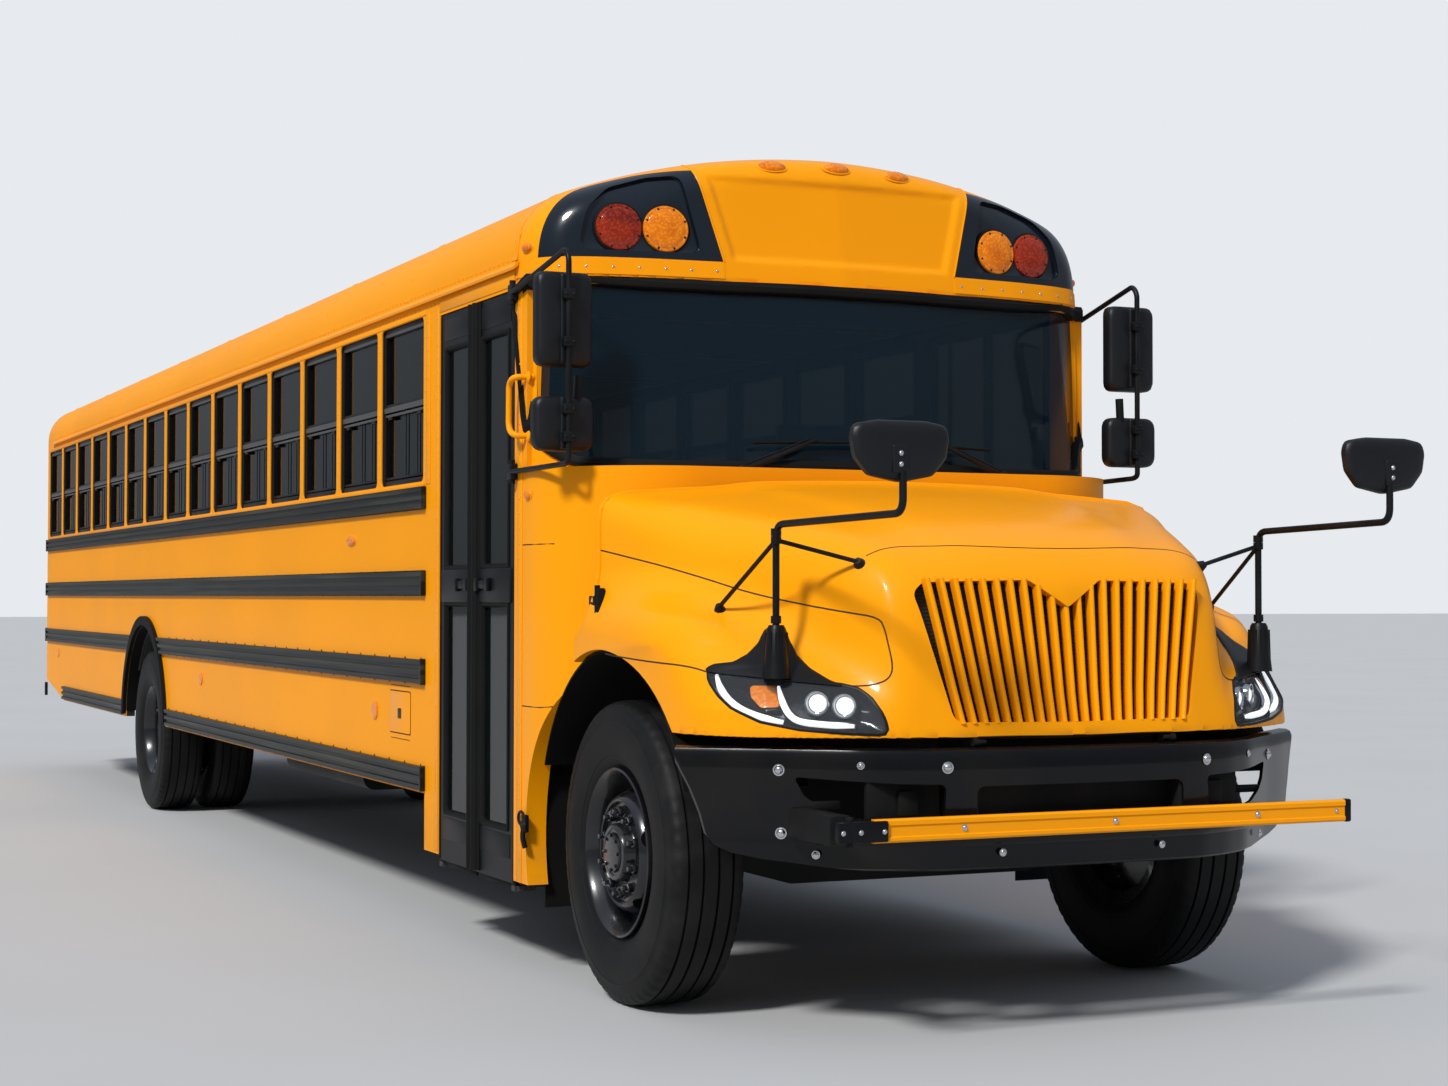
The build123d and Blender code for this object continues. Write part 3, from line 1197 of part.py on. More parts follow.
# Crossing gate: a long bar across the bumper that swings forward
GATE_X = (-895, 979)
GATE_AFT = -1275
with BuildPart() as crossing_gate:
    rod((GATE_X[0], aft(GATE_AFT), 672.3), (GATE_X[0], aft(GATE_AFT), 727.7), 26)
    block((GATE_X[0] + 10, GATE_X[1]), (aft(GATE_AFT) - 16, aft(GATE_AFT) + 16), (680, 722))
    rod((GATE_X[0], aft(GATE_AFT), 670), (GATE_X[0], aft(GATE_AFT), 730), 12.05, mode=Mode.SUBTRACT)
save(crossing_gate, "crossing_gate")

# Rear bumper: a channel wrapped round the tail
with BuildPart() as rear_bumper:
    block((-FENDER_X, FENDER_X), (BODY_REAR + CLEAR, BODY_REAR + REAR_BUMPER_REACH), (TAIL_Z, TAIL_Z + 230))
    block(
        (60 - FENDER_X, FENDER_X - 60), (BODY_REAR + CLEAR - 1, BODY_REAR + REAR_BUMPER_REACH - 30), (TAIL_Z + 20, TAIL_Z + 231),
        mode=Mode.SUBTRACT,
    )
    block((-RAIL_X, RAIL_X), (BODY_REAR + CLEAR, BODY_REAR + REAR_BUMPER_REACH - 20), (TAIL_Z + 20, TAIL_Z + 80))
save(rear_bumper, "rear_bumper")

# Lamps: round flashing lamps at both ends and the tail lamps
LAMP_THICKNESS = 38
TAIL_LAMPS = ((BODY_HALF_WIDTH - 349, 1480, 90), (BODY_HALF_WIDTH - 349, 1010, 50))
AMBER_TAIL = ((BODY_HALF_WIDTH - 159, 1480, 70),)


def lamp_disc(x, y, z, radius, way, depth):
    """A round lamp standing on a face at Y, pointing forward or to the rear."""
    rod((x, y, z), (x, y + way * depth, z), radius)


with BuildPart() as red_lamps:
    for side in (-1, 1):
        lamp_disc(side * RED_LAMP_X, aft(LAMP_RECESS_AFT) - CLEAR, ROOF_LAMP_Z, ROOF_LAMP_R, -1, LAMP_THICKNESS)
        lamp_disc(side * RED_LAMP_X, BODY_REAR + CLEAR, ROOF_LAMP_Z, ROOF_LAMP_R, 1, LAMP_THICKNESS)
        for x, z, radius in TAIL_LAMPS:
            lamp_disc(side * x, BODY_REAR + CLEAR, z, radius, 1, 25)
save(red_lamps, "red_lamps")

with BuildPart() as amber_lamps:
    for side in (-1, 1):
        lamp_disc(side * AMBER_LAMP_X, aft(LAMP_RECESS_AFT) - CLEAR, ROOF_LAMP_Z, ROOF_LAMP_R, -1, LAMP_THICKNESS)
        lamp_disc(side * AMBER_LAMP_X, BODY_REAR + CLEAR, ROOF_LAMP_Z, ROOF_LAMP_R, 1, LAMP_THICKNESS)
        for x, z, radius in AMBER_TAIL:
            lamp_disc(side * x, BODY_REAR + CLEAR, z, radius, 1, 25)
save(amber_lamps, "amber_lamps")

# Side mirrors: a post on two arms from the body's front post, with two heads behind it
MIRROR_POST = (BODY_HALF_WIDTH - 9, 286)
# columns: height at the body, height at the post
MIRROR_ARMS = ((COWL_TOP_Z - 5, COWL_TOP_Z), (SHIELD_TOP_Z - 50, SHIELD_TOP_Z + 50))
# columns: centre height, width, height
MIRROR_HEADS = ((SHIELD_TOP_Z - 198, 214, 345), (COWL_TOP_Z + 147, 230, 200))
MIRROR_CORNER_R = 30
MIRROR_DEPTH = 85
MIRROR_ROD_R = 12
MIRROR_ARM_R = 9
MIRROR_END = 20
MIRROR_HINGE = 34
with BuildPart() as side_mirrors:
    for side in (-1, 1):
        post = (side * MIRROR_POST[0], aft(MIRROR_POST[1]))
        root_x = side * (BODY_HALF_WIDTH + CLEAR)
        foot_z = MIRROR_ARMS[0][1] - MIRROR_END
        rod((*post, foot_z), (*post, MIRROR_ARMS[1][1] + MIRROR_END), MIRROR_ROD_R)
        for low, high in MIRROR_ARMS:
            rod((root_x + side * (MIRROR_HINGE - 12), aft(770), low), (*post, high), MIRROR_ARM_R)
            block(sorted((root_x, root_x + side * MIRROR_HINGE)), (aft(740), aft(800)), (low - 30, low + 30))
        for height, width, tall in MIRROR_HEADS:
            with BuildSketch(cross_plane(post[1] + MIRROR_DEPTH - 5)) as head_face:
                with Locations((post[0], height)):
                    RectangleRounded(width, tall, MIRROR_CORNER_R)
            extrude(head_face.sketch, amount=MIRROR_DEPTH)
save(side_mirrors, "side_mirrors")

# Crossover mirrors on the hood: a post from each fender with a forward arm and a head
# columns: half distance across, distance behind the front axle, height
CROSS_BASE = (935, -850, 1190)
CROSS_ELBOW = (935, -850, 1631)
CROSS_TIP = (886, -1594, 1644)
CROSS_HEAD = (883, -1557, 1841)
CROSS_HEAD_SIZE = (320, 70, 180)
CROSS_HEAD_R = 60
CROSS_BRACE = (610, -960, 1530)
with BuildPart() as crossover_mirrors:
    for side in (-1, 1):
        base, elbow, tip, head, brace = [
            (side * x, aft(distance), z) for x, distance, z in (CROSS_BASE, CROSS_ELBOW, CROSS_TIP, CROSS_HEAD, CROSS_BRACE)
        ]
        rod(base, elbow, 12)
        rod(elbow, tip, 12)
        rod(tip, (head[0], head[1], head[2]), 12)
        with Locations(elbow, tip):
            Sphere(12)
        rod((elbow[0], elbow[1], elbow[2] - 45), brace, 8)
        with BuildSketch(cross_plane(head[1] + CROSS_HEAD_SIZE[1] / 2)) as head_face:
            with Locations((head[0], head[2])):
                RectangleRounded(CROSS_HEAD_SIZE[0], CROSS_HEAD_SIZE[2], CROSS_HEAD_R)
        extrude(head_face.sketch, amount=CROSS_HEAD_SIZE[1])
    add(hood_outer.part, mode=Mode.SUBTRACT)
save(crossover_mirrors, "crossover_mirrors")

# Wipers: two arms lying over the windshield's lower edge
with BuildPart() as wipers:
    for pivot_x, tip_x in ((-560, 0), (640, 80)):
        rod((pivot_x, aft(240), COWL_TOP_Z + CLEAR), (pivot_x, aft(240), COWL_TOP_Z + 30), 16)
        rod((pivot_x, aft(240), COWL_TOP_Z + 22), (tip_x, aft(262), COWL_TOP_Z + 120), 8)
save(wipers, "wipers")

# Knuckles: a yoke round each kingpin with the wheel's spindle
YOKE_GAP = 3
WEB_FROM = 70
WEB_TO = 90
SPINDLE_R = 40
for side, name in ((-1, "knuckle_right"), (1, "knuckle_left")):
    pin = (side * KINGPIN_X, aft(0))
    with BuildPart() as knuckle:
        for low in (AXLE_Z - EYE_HALF_HEIGHT - YOKE_GAP - 30, AXLE_Z + EYE_HALF_HEIGHT + YOKE_GAP):
            block(sorted((pin[0] - side * 50, pin[0] + side * WEB_TO)), (pin[1] - 50, pin[1] + 50), (low, low + 30))
        block(
            sorted((side * (KINGPIN_X + WEB_FROM), side * (KINGPIN_X + WEB_TO))),
            (pin[1] - 50, pin[1] + 50),
            (AXLE_Z - EYE_HALF_HEIGHT - YOKE_GAP - 30, AXLE_Z + EYE_HALF_HEIGHT + YOKE_GAP + 30),
        )
        rod((side * (KINGPIN_X + WEB_FROM + 10), pin[1], AXLE_Z), (side * (FRONT_TRACK_X + 60), pin[1], AXLE_Z), SPINDLE_R)
        rod((*pin, AXLE_Z - 110), (*pin, AXLE_Z + 110), KINGPIN_R + 0.05, mode=Mode.SUBTRACT)
    save(knuckle, name)


def tyre_ring(centre_x):
    """One tyre on the wheel axis: tread, rounded shoulders and beads on the rim."""
    half = TYRE_WIDTH / 2
    with BuildSketch(Plane(origin=(centre_x, 0, 0), x_dir=(1, 0, 0), z_dir=(0, 0, 1))) as section:
        with BuildLine():
            Polyline(
                (-half + 30, RIM_R), (-half + 8, RIM_R + 40), (-half, RIM_R + 110), (-half + 14, TYRE_R - 50),
                (-half + 42, TYRE_R - 8), (-half + 70, TYRE_R), (half - 70, TYRE_R), (half - 42, TYRE_R - 8),
                (half - 14, TYRE_R - 50), (half, RIM_R + 110), (half - 8, RIM_R + 40), (half - 30, RIM_R),
                close=True,
            )
        make_face()
    return section.sketch


RIM_SHEET = 12
DISC_SHEET = 14
HAND_HOLES = 10
HAND_HOLE_R = 26
HAND_HOLE_CIRCLE = 222


def rim_section(centre_x, disc_x):
    """One rim with its disc: barrel, flanges and a dished plate, as a section to be revolved."""
    half = TYRE_WIDTH / 2 - 30
    with BuildSketch(Plane(origin=(centre_x, 0, 0), x_dir=(1, 0, 0), z_dir=(0, 0, 1))) as section:
        with BuildLine():
            Polyline(
                (-half, RIM_R - CLEAR), (half, RIM_R - CLEAR), (half, RIM_R - RIM_SHEET - 14),
                (half - 14, RIM_R - RIM_SHEET - 14), (half - 40, RIM_R - RIM_SHEET),
                (40 - half, RIM_R - RIM_SHEET), (14 - half, RIM_R - RIM_SHEET - 14),
                (-half, RIM_R - RIM_SHEET - 14),
                close=True,
            )
        make_face()
        way = 1 if disc_x > 0 else -1
        with BuildLine():
            Polyline(
                (disc_x - way * 60, RIM_R - RIM_SHEET), (disc_x - way * 30, HAND_HOLE_CIRCLE),
                (disc_x, 175), (disc_x, 90), (disc_x - way * DISC_SHEET, 90), (disc_x - way * DISC_SHEET, 170),
                (disc_x - way * (30 + DISC_SHEET), HAND_HOLE_CIRCLE - 5),
                (disc_x - way * (60 + DISC_SHEET), RIM_R - RIM_SHEET),
                close=True,
            )
        make_face()
    return section.sketch


# Front wheels: the tyre and its rim turn on the knuckle's spindle
FRONT_DISC_X = 60
HUB_R = 100
for side, word in ((-1, "right"), (1, "left")):
    centre = side * FRONT_TRACK_X
    with BuildPart() as tyre:
        revolve(tyre_ring(centre), axis=Axis.X)
        tyre.part.position = (0, aft(0), AXLE_Z)
    save(tyre, f"front_tyre_{word}")
    with BuildPart() as rim:
        revolve(rim_section(centre, side * FRONT_DISC_X), axis=Axis.X)
        rod((centre + side * 20, 0, 0), (centre + side * (FRONT_DISC_X + 75), 0, 0), HUB_R)
        rod((centre, 0, 0), (centre + side * 61, 0, 0), SPINDLE_R + 0.1, mode=Mode.SUBTRACT)
        rim.part.position = (0, aft(0), AXLE_Z)
    save(rim, f"front_rim_{word}")

# Rear twin wheels: two tyres and two rims to a side, turning on the axle's end
for side, word in ((-1, "right"), (1, "left")):
    with BuildPart() as tyre:
        for centre in (side * REAR_INNER_X, side * REAR_OUTER_X):
            revolve(tyre_ring(centre), axis=Axis.X)
        tyre.part.position = (0, REAR_AXLE_Y, AXLE_Z)
    save(tyre, f"rear_tyres_{word}")
    with BuildPart() as rim:
        revolve(rim_section(side * REAR_INNER_X, side * 110), axis=Axis.X)
        revolve(rim_section(side * REAR_OUTER_X, -side * 110), axis=Axis.X)
        hub_from = REAR_INNER_X + 90
        rod((side * hub_from, 0, 0), (side * (REAR_OUTER_X + 60), 0, 0), HUB_R + 10)
        rod((side * (hub_from - 1), 0, 0), (side * (REAR_TUBE_END + 1), 0, 0), HOUSING_R + 0.1, mode=Mode.SUBTRACT)
        rim.part.position = (0, REAR_AXLE_Y, AXLE_Z)
    save(rim, f"rear_rims_{word}")

# Entrance doors: two leaves on pivot pins near their outer edges, each with upper and lower glass
LEAF_X = (-BODY_HALF_WIDTH + 4, -BODY_HALF_WIDTH + 4 + DOOR_LEAF)
DOOR_MIDDLE = (DOOR_FRONT + DOOR_REAR) / 2
LEAF_TOP = DOOR_TOP_Z - MOVING_GAP
PIVOT_IN = 10
PIVOT_R = 8
# columns: name, front edge, rear edge, hinged edge
LEAVES = (
    ("front", DOOR_FRONT + MOVING_GAP, DOOR_MIDDLE - DOOR_LEAF_GAP / 2, DOOR_FRONT + MOVING_GAP),
    ("rear", DOOR_MIDDLE + DOOR_LEAF_GAP / 2, DOOR_REAR - MOVING_GAP, DOOR_REAR - MOVING_GAP),
)
PANES = (
    (DOOR_BOTTOM_Z + DOOR_KICK, DOOR_BELT_Z - DOOR_BELT / 2),
    (DOOR_BELT_Z + DOOR_BELT / 2, LEAF_TOP - DOOR_HEADER),
)
for word, front, rear, hinged in LEAVES:
    inward = PIVOT_IN if hinged == front else -PIVOT_IN
    pivot = (LEAF_X[0] + PIVOT_IN, hinged + inward)
    with BuildPart() as leaf:
        block((pivot[0], LEAF_X[1]), (front, rear), (DOOR_BOTTOM_Z, LEAF_TOP))
        block((LEAF_X[0], pivot[0]), sorted((pivot[1], front + rear - hinged)), (DOOR_BOTTOM_Z, LEAF_TOP))
        rod((*pivot, DOOR_BOTTOM_Z), (*pivot, LEAF_TOP), PIVOT_IN)
        rod((*pivot, DOOR_BOTTOM_Z - PIVOT_DROP + CLEAR), (*pivot, DOOR_TOP_Z - CLEAR), PIVOT_R)
        for low, high in PANES:
            block(
                (LEAF_X[0] - 1, LEAF_X[1] + 1), (front + DOOR_FRAME, rear - DOOR_FRAME), (low, high),
                mode=Mode.SUBTRACT,
            )
    save(leaf, f"door_leaf_{word}")
    with BuildPart() as pane:
        for low, high in PANES:
            block(
                (LEAF_X[0] + 12, LEAF_X[0] + 12 + GLASS),
                (front + DOOR_FRAME + CLEAR, rear - DOOR_FRAME - CLEAR),
                (low + CLEAR, high - CLEAR),
            )
    save(pane, f"door_glass_{word}")

# Emergency door in the rear wall on two pivot pins, with two windows
EDOOR_X = (-EMERGENCY_HALF + MOVING_GAP, EMERGENCY_HALF - MOVING_GAP)
EDOOR_Y = (BODY_REAR - 45, BODY_REAR)
EDOOR_Z = (EMERGENCY_Z[0] + MOVING_GAP, EMERGENCY_Z[1] - MOVING_GAP)
EDOOR_PANES = ((EDOOR_Z[0] + 105, EDOOR_Z[0] + 545), (EDOOR_Z[0] + 795, EDOOR_Z[1] - 85))
with BuildPart() as emergency_door:
    block(EDOOR_X, (EDOOR_Y[0], EDOOR_Y[1] - PIVOT_IN), EDOOR_Z)
    block((EDOOR_X[0] + PIVOT_IN, EDOOR_X[1]), EDOOR_Y, EDOOR_Z)
    edoor_pivot = (EDOOR_X[0] + PIVOT_IN, EDOOR_Y[1] - PIVOT_IN)
    rod((*edoor_pivot, EDOOR_Z[0]), (*edoor_pivot, EDOOR_Z[1]), PIVOT_IN)
    rod((*edoor_pivot, EMERGENCY_Z[0] + CLEAR), (*edoor_pivot, EMERGENCY_Z[1] - CLEAR), PIVOT_R)
    for low, high in EDOOR_PANES:
        block(
            (EDOOR_X[0] + 90, EDOOR_X[1] - 90), (EDOOR_Y[0] - 1, EDOOR_Y[1] + 1), (low, high),
            mode=Mode.SUBTRACT,
        )
save(emergency_door, "emergency_door")
with BuildPart() as emergency_glass:
    for low, high in EDOOR_PANES:
        block(
            (EDOOR_X[0] + 90 + CLEAR, EDOOR_X[1] - 90 - CLEAR),
            (EDOOR_Y[1] - 25, EDOOR_Y[1] - 25 + GLASS),
            (low + CLEAR, high - CLEAR),
        )
save(emergency_glass, "emergency_glass")

# Stop sign: an octagon on an arm, hinged at its front edge on the driver's side
SIGN_PIVOT = (BODY_HALF_WIDTH + 42, aft(1890))
SIGN_Z = 1640
SIGN_WIDTH = 450
SIGN_SHEET = 8
with BuildPart() as stop_sign:
    octagon_r = SIGN_WIDTH / 2 / cos(radians(22.5))
    centre_y = SIGN_PIVOT[1] + 60 + SIGN_WIDTH / 2
    with BuildSketch(side_plane(SIGN_PIVOT[0] - SIGN_SHEET / 2)) as octagon:
        with Locations((centre_y, SIGN_Z)):
            RegularPolygon(octagon_r, 8, rotation=22.5)
    extrude(octagon.sketch, amount=SIGN_SHEET)
    block(
        (SIGN_PIVOT[0] - 10, SIGN_PIVOT[0] + 10),
        (SIGN_PIVOT[1], SIGN_PIVOT[1] + 160),
        (SIGN_Z - 90, SIGN_Z + 90),
    )
    rod((*SIGN_PIVOT, SIGN_Z - 90), (*SIGN_PIVOT, SIGN_Z + 90), 14)
save(stop_sign, "stop_sign")

# Bracket of the stop sign on the left wall
with BuildPart() as sign_bracket:
    for low in (SIGN_Z - 90 - CLEAR - 20, SIGN_Z + 90 + CLEAR):
        block(
            (BODY_HALF_WIDTH + CLEAR, SIGN_PIVOT[0] + 14), (SIGN_PIVOT[1] - 20, SIGN_PIVOT[1] + 20), (low, low + 20)
        )
    block(
        (BODY_HALF_WIDTH + CLEAR, BODY_HALF_WIDTH + 14),
        (SIGN_PIVOT[1] - 60, SIGN_PIVOT[1] + 20),
        (SIGN_Z - 110, SIGN_Z + 110),
    )
save(sign_bracket, "sign_bracket")

# Passenger seats: a bench each side in every row, as cushions on pedestals and separate backs
SEAT_INNER_X = INNER_HALF - SEAT_SIDE_GAP - SEAT_WIDTH
SEAT_ROW_YS = [aft(SEAT_FIRST_AFT + row * SEAT_PITCH) for row in range(SEAT_ROWS)]
SEAT_MIDDLE_X = SEAT_INNER_X + SEAT_WIDTH / 2
LEG_X = SEAT_INNER_X + 100
LEG_TOP_Z = SEAT_TOP_Z - SEAT_CUSHION - CLEAR
with BuildPart() as seat_cushions:
    with BuildSketch(level_plane(SEAT_TOP_Z)) as cushion_tops:
        with Locations(*[(side * SEAT_MIDDLE_X, y + SEAT_DEPTH / 2) for y in SEAT_ROW_YS for side in (-1, 1)]):
            Rectangle(SEAT_WIDTH, SEAT_DEPTH)
    extrude(cushion_tops.sketch, amount=-SEAT_CUSHION)
    with BuildSketch(level_plane(LEG_TOP_Z)) as legs:
        with Locations(*[(side * LEG_X, y + SEAT_DEPTH / 2) for y in SEAT_ROW_YS for side in (-1, 1)]):
            Rectangle(40, SEAT_DEPTH - 120)
    extrude(legs.sketch, amount=FLOOR_Z + CLEAR - LEG_TOP_Z)
save(seat_cushions, "seat_cushions")
with BuildPart() as seat_backs:
    for side in (-1, 1):
        with BuildSketch(side_plane(side * SEAT_INNER_X)) as back_sides:
            for y in SEAT_ROW_YS:
                rear = y + SEAT_DEPTH + CLEAR
                with BuildLine():
                    Polyline(
                        (rear, SEAT_TOP_Z - SEAT_CUSHION),
                        (rear + SEAT_BACK, SEAT_TOP_Z - SEAT_CUSHION),
                        (rear + SEAT_BACK + 70, SEAT_BACK_TOP_Z),
                        (rear + SEAT_BACK, SEAT_BACK_TOP_Z),
                        close=True,
                    )
                make_face()
        extrude(back_sides.sketch, amount=side * SEAT_WIDTH)
save(seat_backs, "seat_backs")

# Driver's seat on a pedestal
DRIVER_X = 560
with BuildPart() as driver_seat:
    block((DRIVER_X - 240, DRIVER_X + 240), (aft(1240), aft(1700)), (1380, 1490))
    block((DRIVER_X - 150, DRIVER_X + 150), (aft(1320), aft(1620)), (FLOOR_Z + CLEAR, 1380))
    back = outline(
        side_plane(DRIVER_X - 230), [(aft(1640), 1490), (aft(1740), 1440), (aft(1860), 2180), (aft(1780), 2200)]
    )
    extrude(back, amount=460)
save(driver_seat, "driver_seat")

# Dashboard hung under the cowl's cover and the steering wheel on its column
DASH_END_X = INNER_HALF - 79
with BuildPart() as dashboard:
    block((-330, DASH_END_X), (aft(520), aft(760)), (1300, COWL_TOP_Z - COWL_COVER - CLEAR))
save(dashboard, "dashboard")

WHEEL_TILT = 35
with BuildPart() as steering_wheel:
    lean = radians(WHEEL_TILT)
    hub = (DRIVER_X, aft(1000), 1790)
    axis_way = (0, sin(lean), cos(lean))
    wheel_plane = Plane(origin=hub, x_dir=(1, 0, 0), z_dir=axis_way)
    with BuildSketch(wheel_plane) as ring:
        Circle(230)
        Circle(200, mode=Mode.SUBTRACT)
        Rectangle(420, 40)
        Circle(50)
    extrude(ring.sketch, amount=26)
    foot_y = aft(761)
    column_foot = (DRIVER_X, foot_y, hub[2] - (hub[1] - foot_y) / tan(lean))
    rod(column_foot, hub, 30)
    block((DRIVER_X - 60, DRIVER_X + 60), (aft(400), aft(760.3)), (1300, 1700), mode=Mode.SUBTRACT)
save(steering_wheel, "steering_wheel")
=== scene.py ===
# %% [markdown]
# # A yellow school bus, dressed over its engineering model
# The solid model gives every part its true place and size. This lesson adds what the eye
# expects on top: paint, rubber, glass, lamps, screws and stitched vinyl. Everything is in
# metres, the bus faces -Y and its entrance is on the -X side.

from functools import partial
from math import cos, pi, radians, sin, sqrt, tan

import bmesh
import bpy
import numpy as np
from mathutils import Matrix, Vector
from mathutils.bvhtree import BVHTree


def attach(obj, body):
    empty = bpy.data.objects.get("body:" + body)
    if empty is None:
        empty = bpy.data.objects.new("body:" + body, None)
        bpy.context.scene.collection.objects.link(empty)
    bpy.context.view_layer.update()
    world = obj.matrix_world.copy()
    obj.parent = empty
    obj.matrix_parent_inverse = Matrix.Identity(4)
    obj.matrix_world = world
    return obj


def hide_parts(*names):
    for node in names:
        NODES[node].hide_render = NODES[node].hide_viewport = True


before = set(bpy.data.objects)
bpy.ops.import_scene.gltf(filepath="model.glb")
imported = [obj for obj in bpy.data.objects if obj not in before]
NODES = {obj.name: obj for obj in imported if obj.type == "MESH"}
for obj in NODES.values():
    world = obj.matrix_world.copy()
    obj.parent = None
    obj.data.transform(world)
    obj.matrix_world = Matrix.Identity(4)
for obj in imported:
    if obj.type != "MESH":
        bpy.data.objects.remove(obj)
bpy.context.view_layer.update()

# %% [markdown]
# ## Where things are
# Lengths along the bus are read from the front axle, as on a workshop drawing. One small
# function turns such a length into the Y that Blender wants.

# %% Axle places and the distance helper
FRONT_AXLE = -5.495
REAR_AXLE = 2.705
TYRE_R = 0.525
BODY_HALF = 1.219
BODY_END = 7.032
SHEET_IN, ON_SHEET, SHEET_OUT = 1.2185, 1.2195, 1.2225
WALL_END = 6.93


def aft(distance):
    """Y of a place that lies this far behind the front axle."""
    return FRONT_AXLE + distance


print("front axle at", FRONT_AXLE, "rear axle at", REAR_AXLE)

# %% [markdown]
# ## A pocket calculator for materials
# A worn or painted surface is made of numbers: distance, noise, height. Joining maths nodes
# by hand hides the idea, so a small class wraps a socket and lets Python's own operators
# add the nodes. `1 - mask` then reads the way it is meant.


# %% Numbers that travel through a material
class Signal:
    """A number in a node tree; maths on it adds Math nodes."""

    def __init__(self, finish, socket):
        self.finish = finish
        self.socket = socket

    def maths(self, operation, *others):
        values = [self.socket] + [o.socket if isinstance(o, Signal) else o for o in others]
        node = self.finish.tree.nodes.new("ShaderNodeMath")
        node.operation = operation
        for place, value in enumerate(values):
            self.finish.feed(node.inputs[place], value)
        return Signal(self.finish, node.outputs[0])

    def __add__(self, other):
        return self.maths("ADD", other)

    def __sub__(self, other):
        return self.maths("SUBTRACT", other)

    def __rsub__(self, other):
        return (self * -1) + other

    def __mul__(self, other):
        return self.maths("MULTIPLY", other)

    def __truediv__(self, other):
        return self.maths("DIVIDE", other)

    def __gt__(self, other):
        return self.maths("GREATER_THAN", other)

    def __lt__(self, other):
        return self.maths("LESS_THAN", other)

    def __abs__(self):
        return self.maths("ABSOLUTE")

    __radd__ = __add__
    __rmul__ = __mul__

    def least(self, other):
        return self.maths("MINIMUM", other)

    def most(self, other):
        return self.maths("MAXIMUM", other)

    def power(self, exponent):
        return self.maths("POWER", exponent)

    def wave(self, length):
        """A smooth wave from 0 to 1 that repeats after this length."""
        return (self * (2 * pi / length)).maths("SINE") * 0.5 + 0.5

    def step(self, start, end):
        """0 before start, 1 after end and smooth between them."""
        node = self.finish.tree.nodes.new("ShaderNodeMapRange")
        node.interpolation_type = "SMOOTHSTEP"
        for name, value in (("Value", self.socket), ("From Min", start), ("From Max", end)):
            self.finish.feed(node.inputs[name], value)
        return Signal(self.finish, node.outputs[0])


print("signals ready")

# %% [markdown]
# ## One finish, one object
# Every finish starts from the Principled shader. The class below makes the material, gives
# the surface's own coordinates as signals and adds any other node through one method.


# %% A finish and its nodes
class Finish:
    """A material built from the Principled shader."""

    def __init__(self, name, color, rough, metal=0.0, **sockets):
        self.material = bpy.data.materials.new(name)
        self.material.use_nodes = True
        self.tree = self.material.node_tree
        self.shader = self.tree.nodes["Principled BSDF"]
        self.color = (*color, 1.0)
        self.put("Base Color", self.color)
        self.put("Roughness", rough)
        self.put("Metallic", metal)
        for socket, value in sockets.items():
            self.put(socket.replace("_", " "), value)
        self._place = None

    def feed(self, socket, value):
        value = value.socket if isinstance(value, Signal) else value
        if isinstance(value, bpy.types.NodeSocket):
            self.tree.links.new(value, socket)
        else:
            socket.default_value = value

    def put(self, socket, value):
        self.feed(self.shader.inputs[socket], value)

    def node(self, kind, settings=(), out=0, **values):
        """Adds a node: its settings first, then the values or links of its sockets."""
        node = self.tree.nodes.new(kind)
        for setting, value in dict(settings).items():
            setattr(node, setting, value)
        for socket, value in values.items():
            numbered = socket[0] == "i" and socket[1:].isdigit()
            key = int(socket[1:]) if numbered else socket.replace("_", " ")
            self.feed(node.inputs[key], value)
        return node.outputs[out]

    @property
    def place(self):
        if self._place is None:
            self._place = self.tree.nodes.new("ShaderNodeTexCoord").outputs["Object"]
        return self._place

    def xyz(self, vector=None):
        split = self.tree.nodes.new("ShaderNodeSeparateXYZ")
        self.feed(split.inputs[0], vector or self.place)
        return [Signal(self, split.outputs[k]) for k in range(3)]

    def noise(self, scale, detail=3.0, vector=None, rough=0.5):
        return Signal(self, self.node("ShaderNodeTexNoise", out="Fac", Vector=vector or self.place,
                                      Scale=scale, Detail=detail, Roughness=rough))

    def blend(self, amount, first, second):
        """A colour between two others."""
        first, second = [(*c, 1.0) if isinstance(c, tuple) and len(c) == 3 else c
                         for c in (first, second)]
        return self.node("ShaderNodeMix", {"data_type": "RGBA"}, 2, i0=amount, i6=first, i7=second)

    def bump(self, height, distance=0.001, strength=1.0):
        self.put("Normal", self.node("ShaderNodeBump", Height=height, Distance=distance,
                                     Strength=strength))

    def stretched(self, scale):
        """The surface's coordinates, scaled along each axis."""
        return self.node("ShaderNodeMapping", Vector=self.place, Scale=scale)


def colour(level_red, level_green, level_blue):
    """The linear colour of three screen levels from 0 to 255."""
    levels = [v / 255 for v in (level_red, level_green, level_blue)]
    return tuple(v / 12.92 if v <= 0.04045 else ((v + 0.055) / 1.055) ** 2.4 for v in levels)


print("screen grey 128 is", round(colour(128, 128, 128)[0], 3), "in linear light")

# %% [markdown]
# ## School-bus yellow
# The body is sprayed with a thick gloss enamel. A clear coat over a warm orange-yellow gives
# the two reflections of real enamel; faint noise stands for uneven sheet and road haze, lower
# down the paint turns darker, browner and rougher in patches towards the bottom, and the inside
# of the shell is grey, chosen by place and not by a second mesh. On the side walls that inside
# grey is painted much darker, as painted shade of the cabin.

# %% Yellow enamel
YELLOW = colour(250, 158, 4)


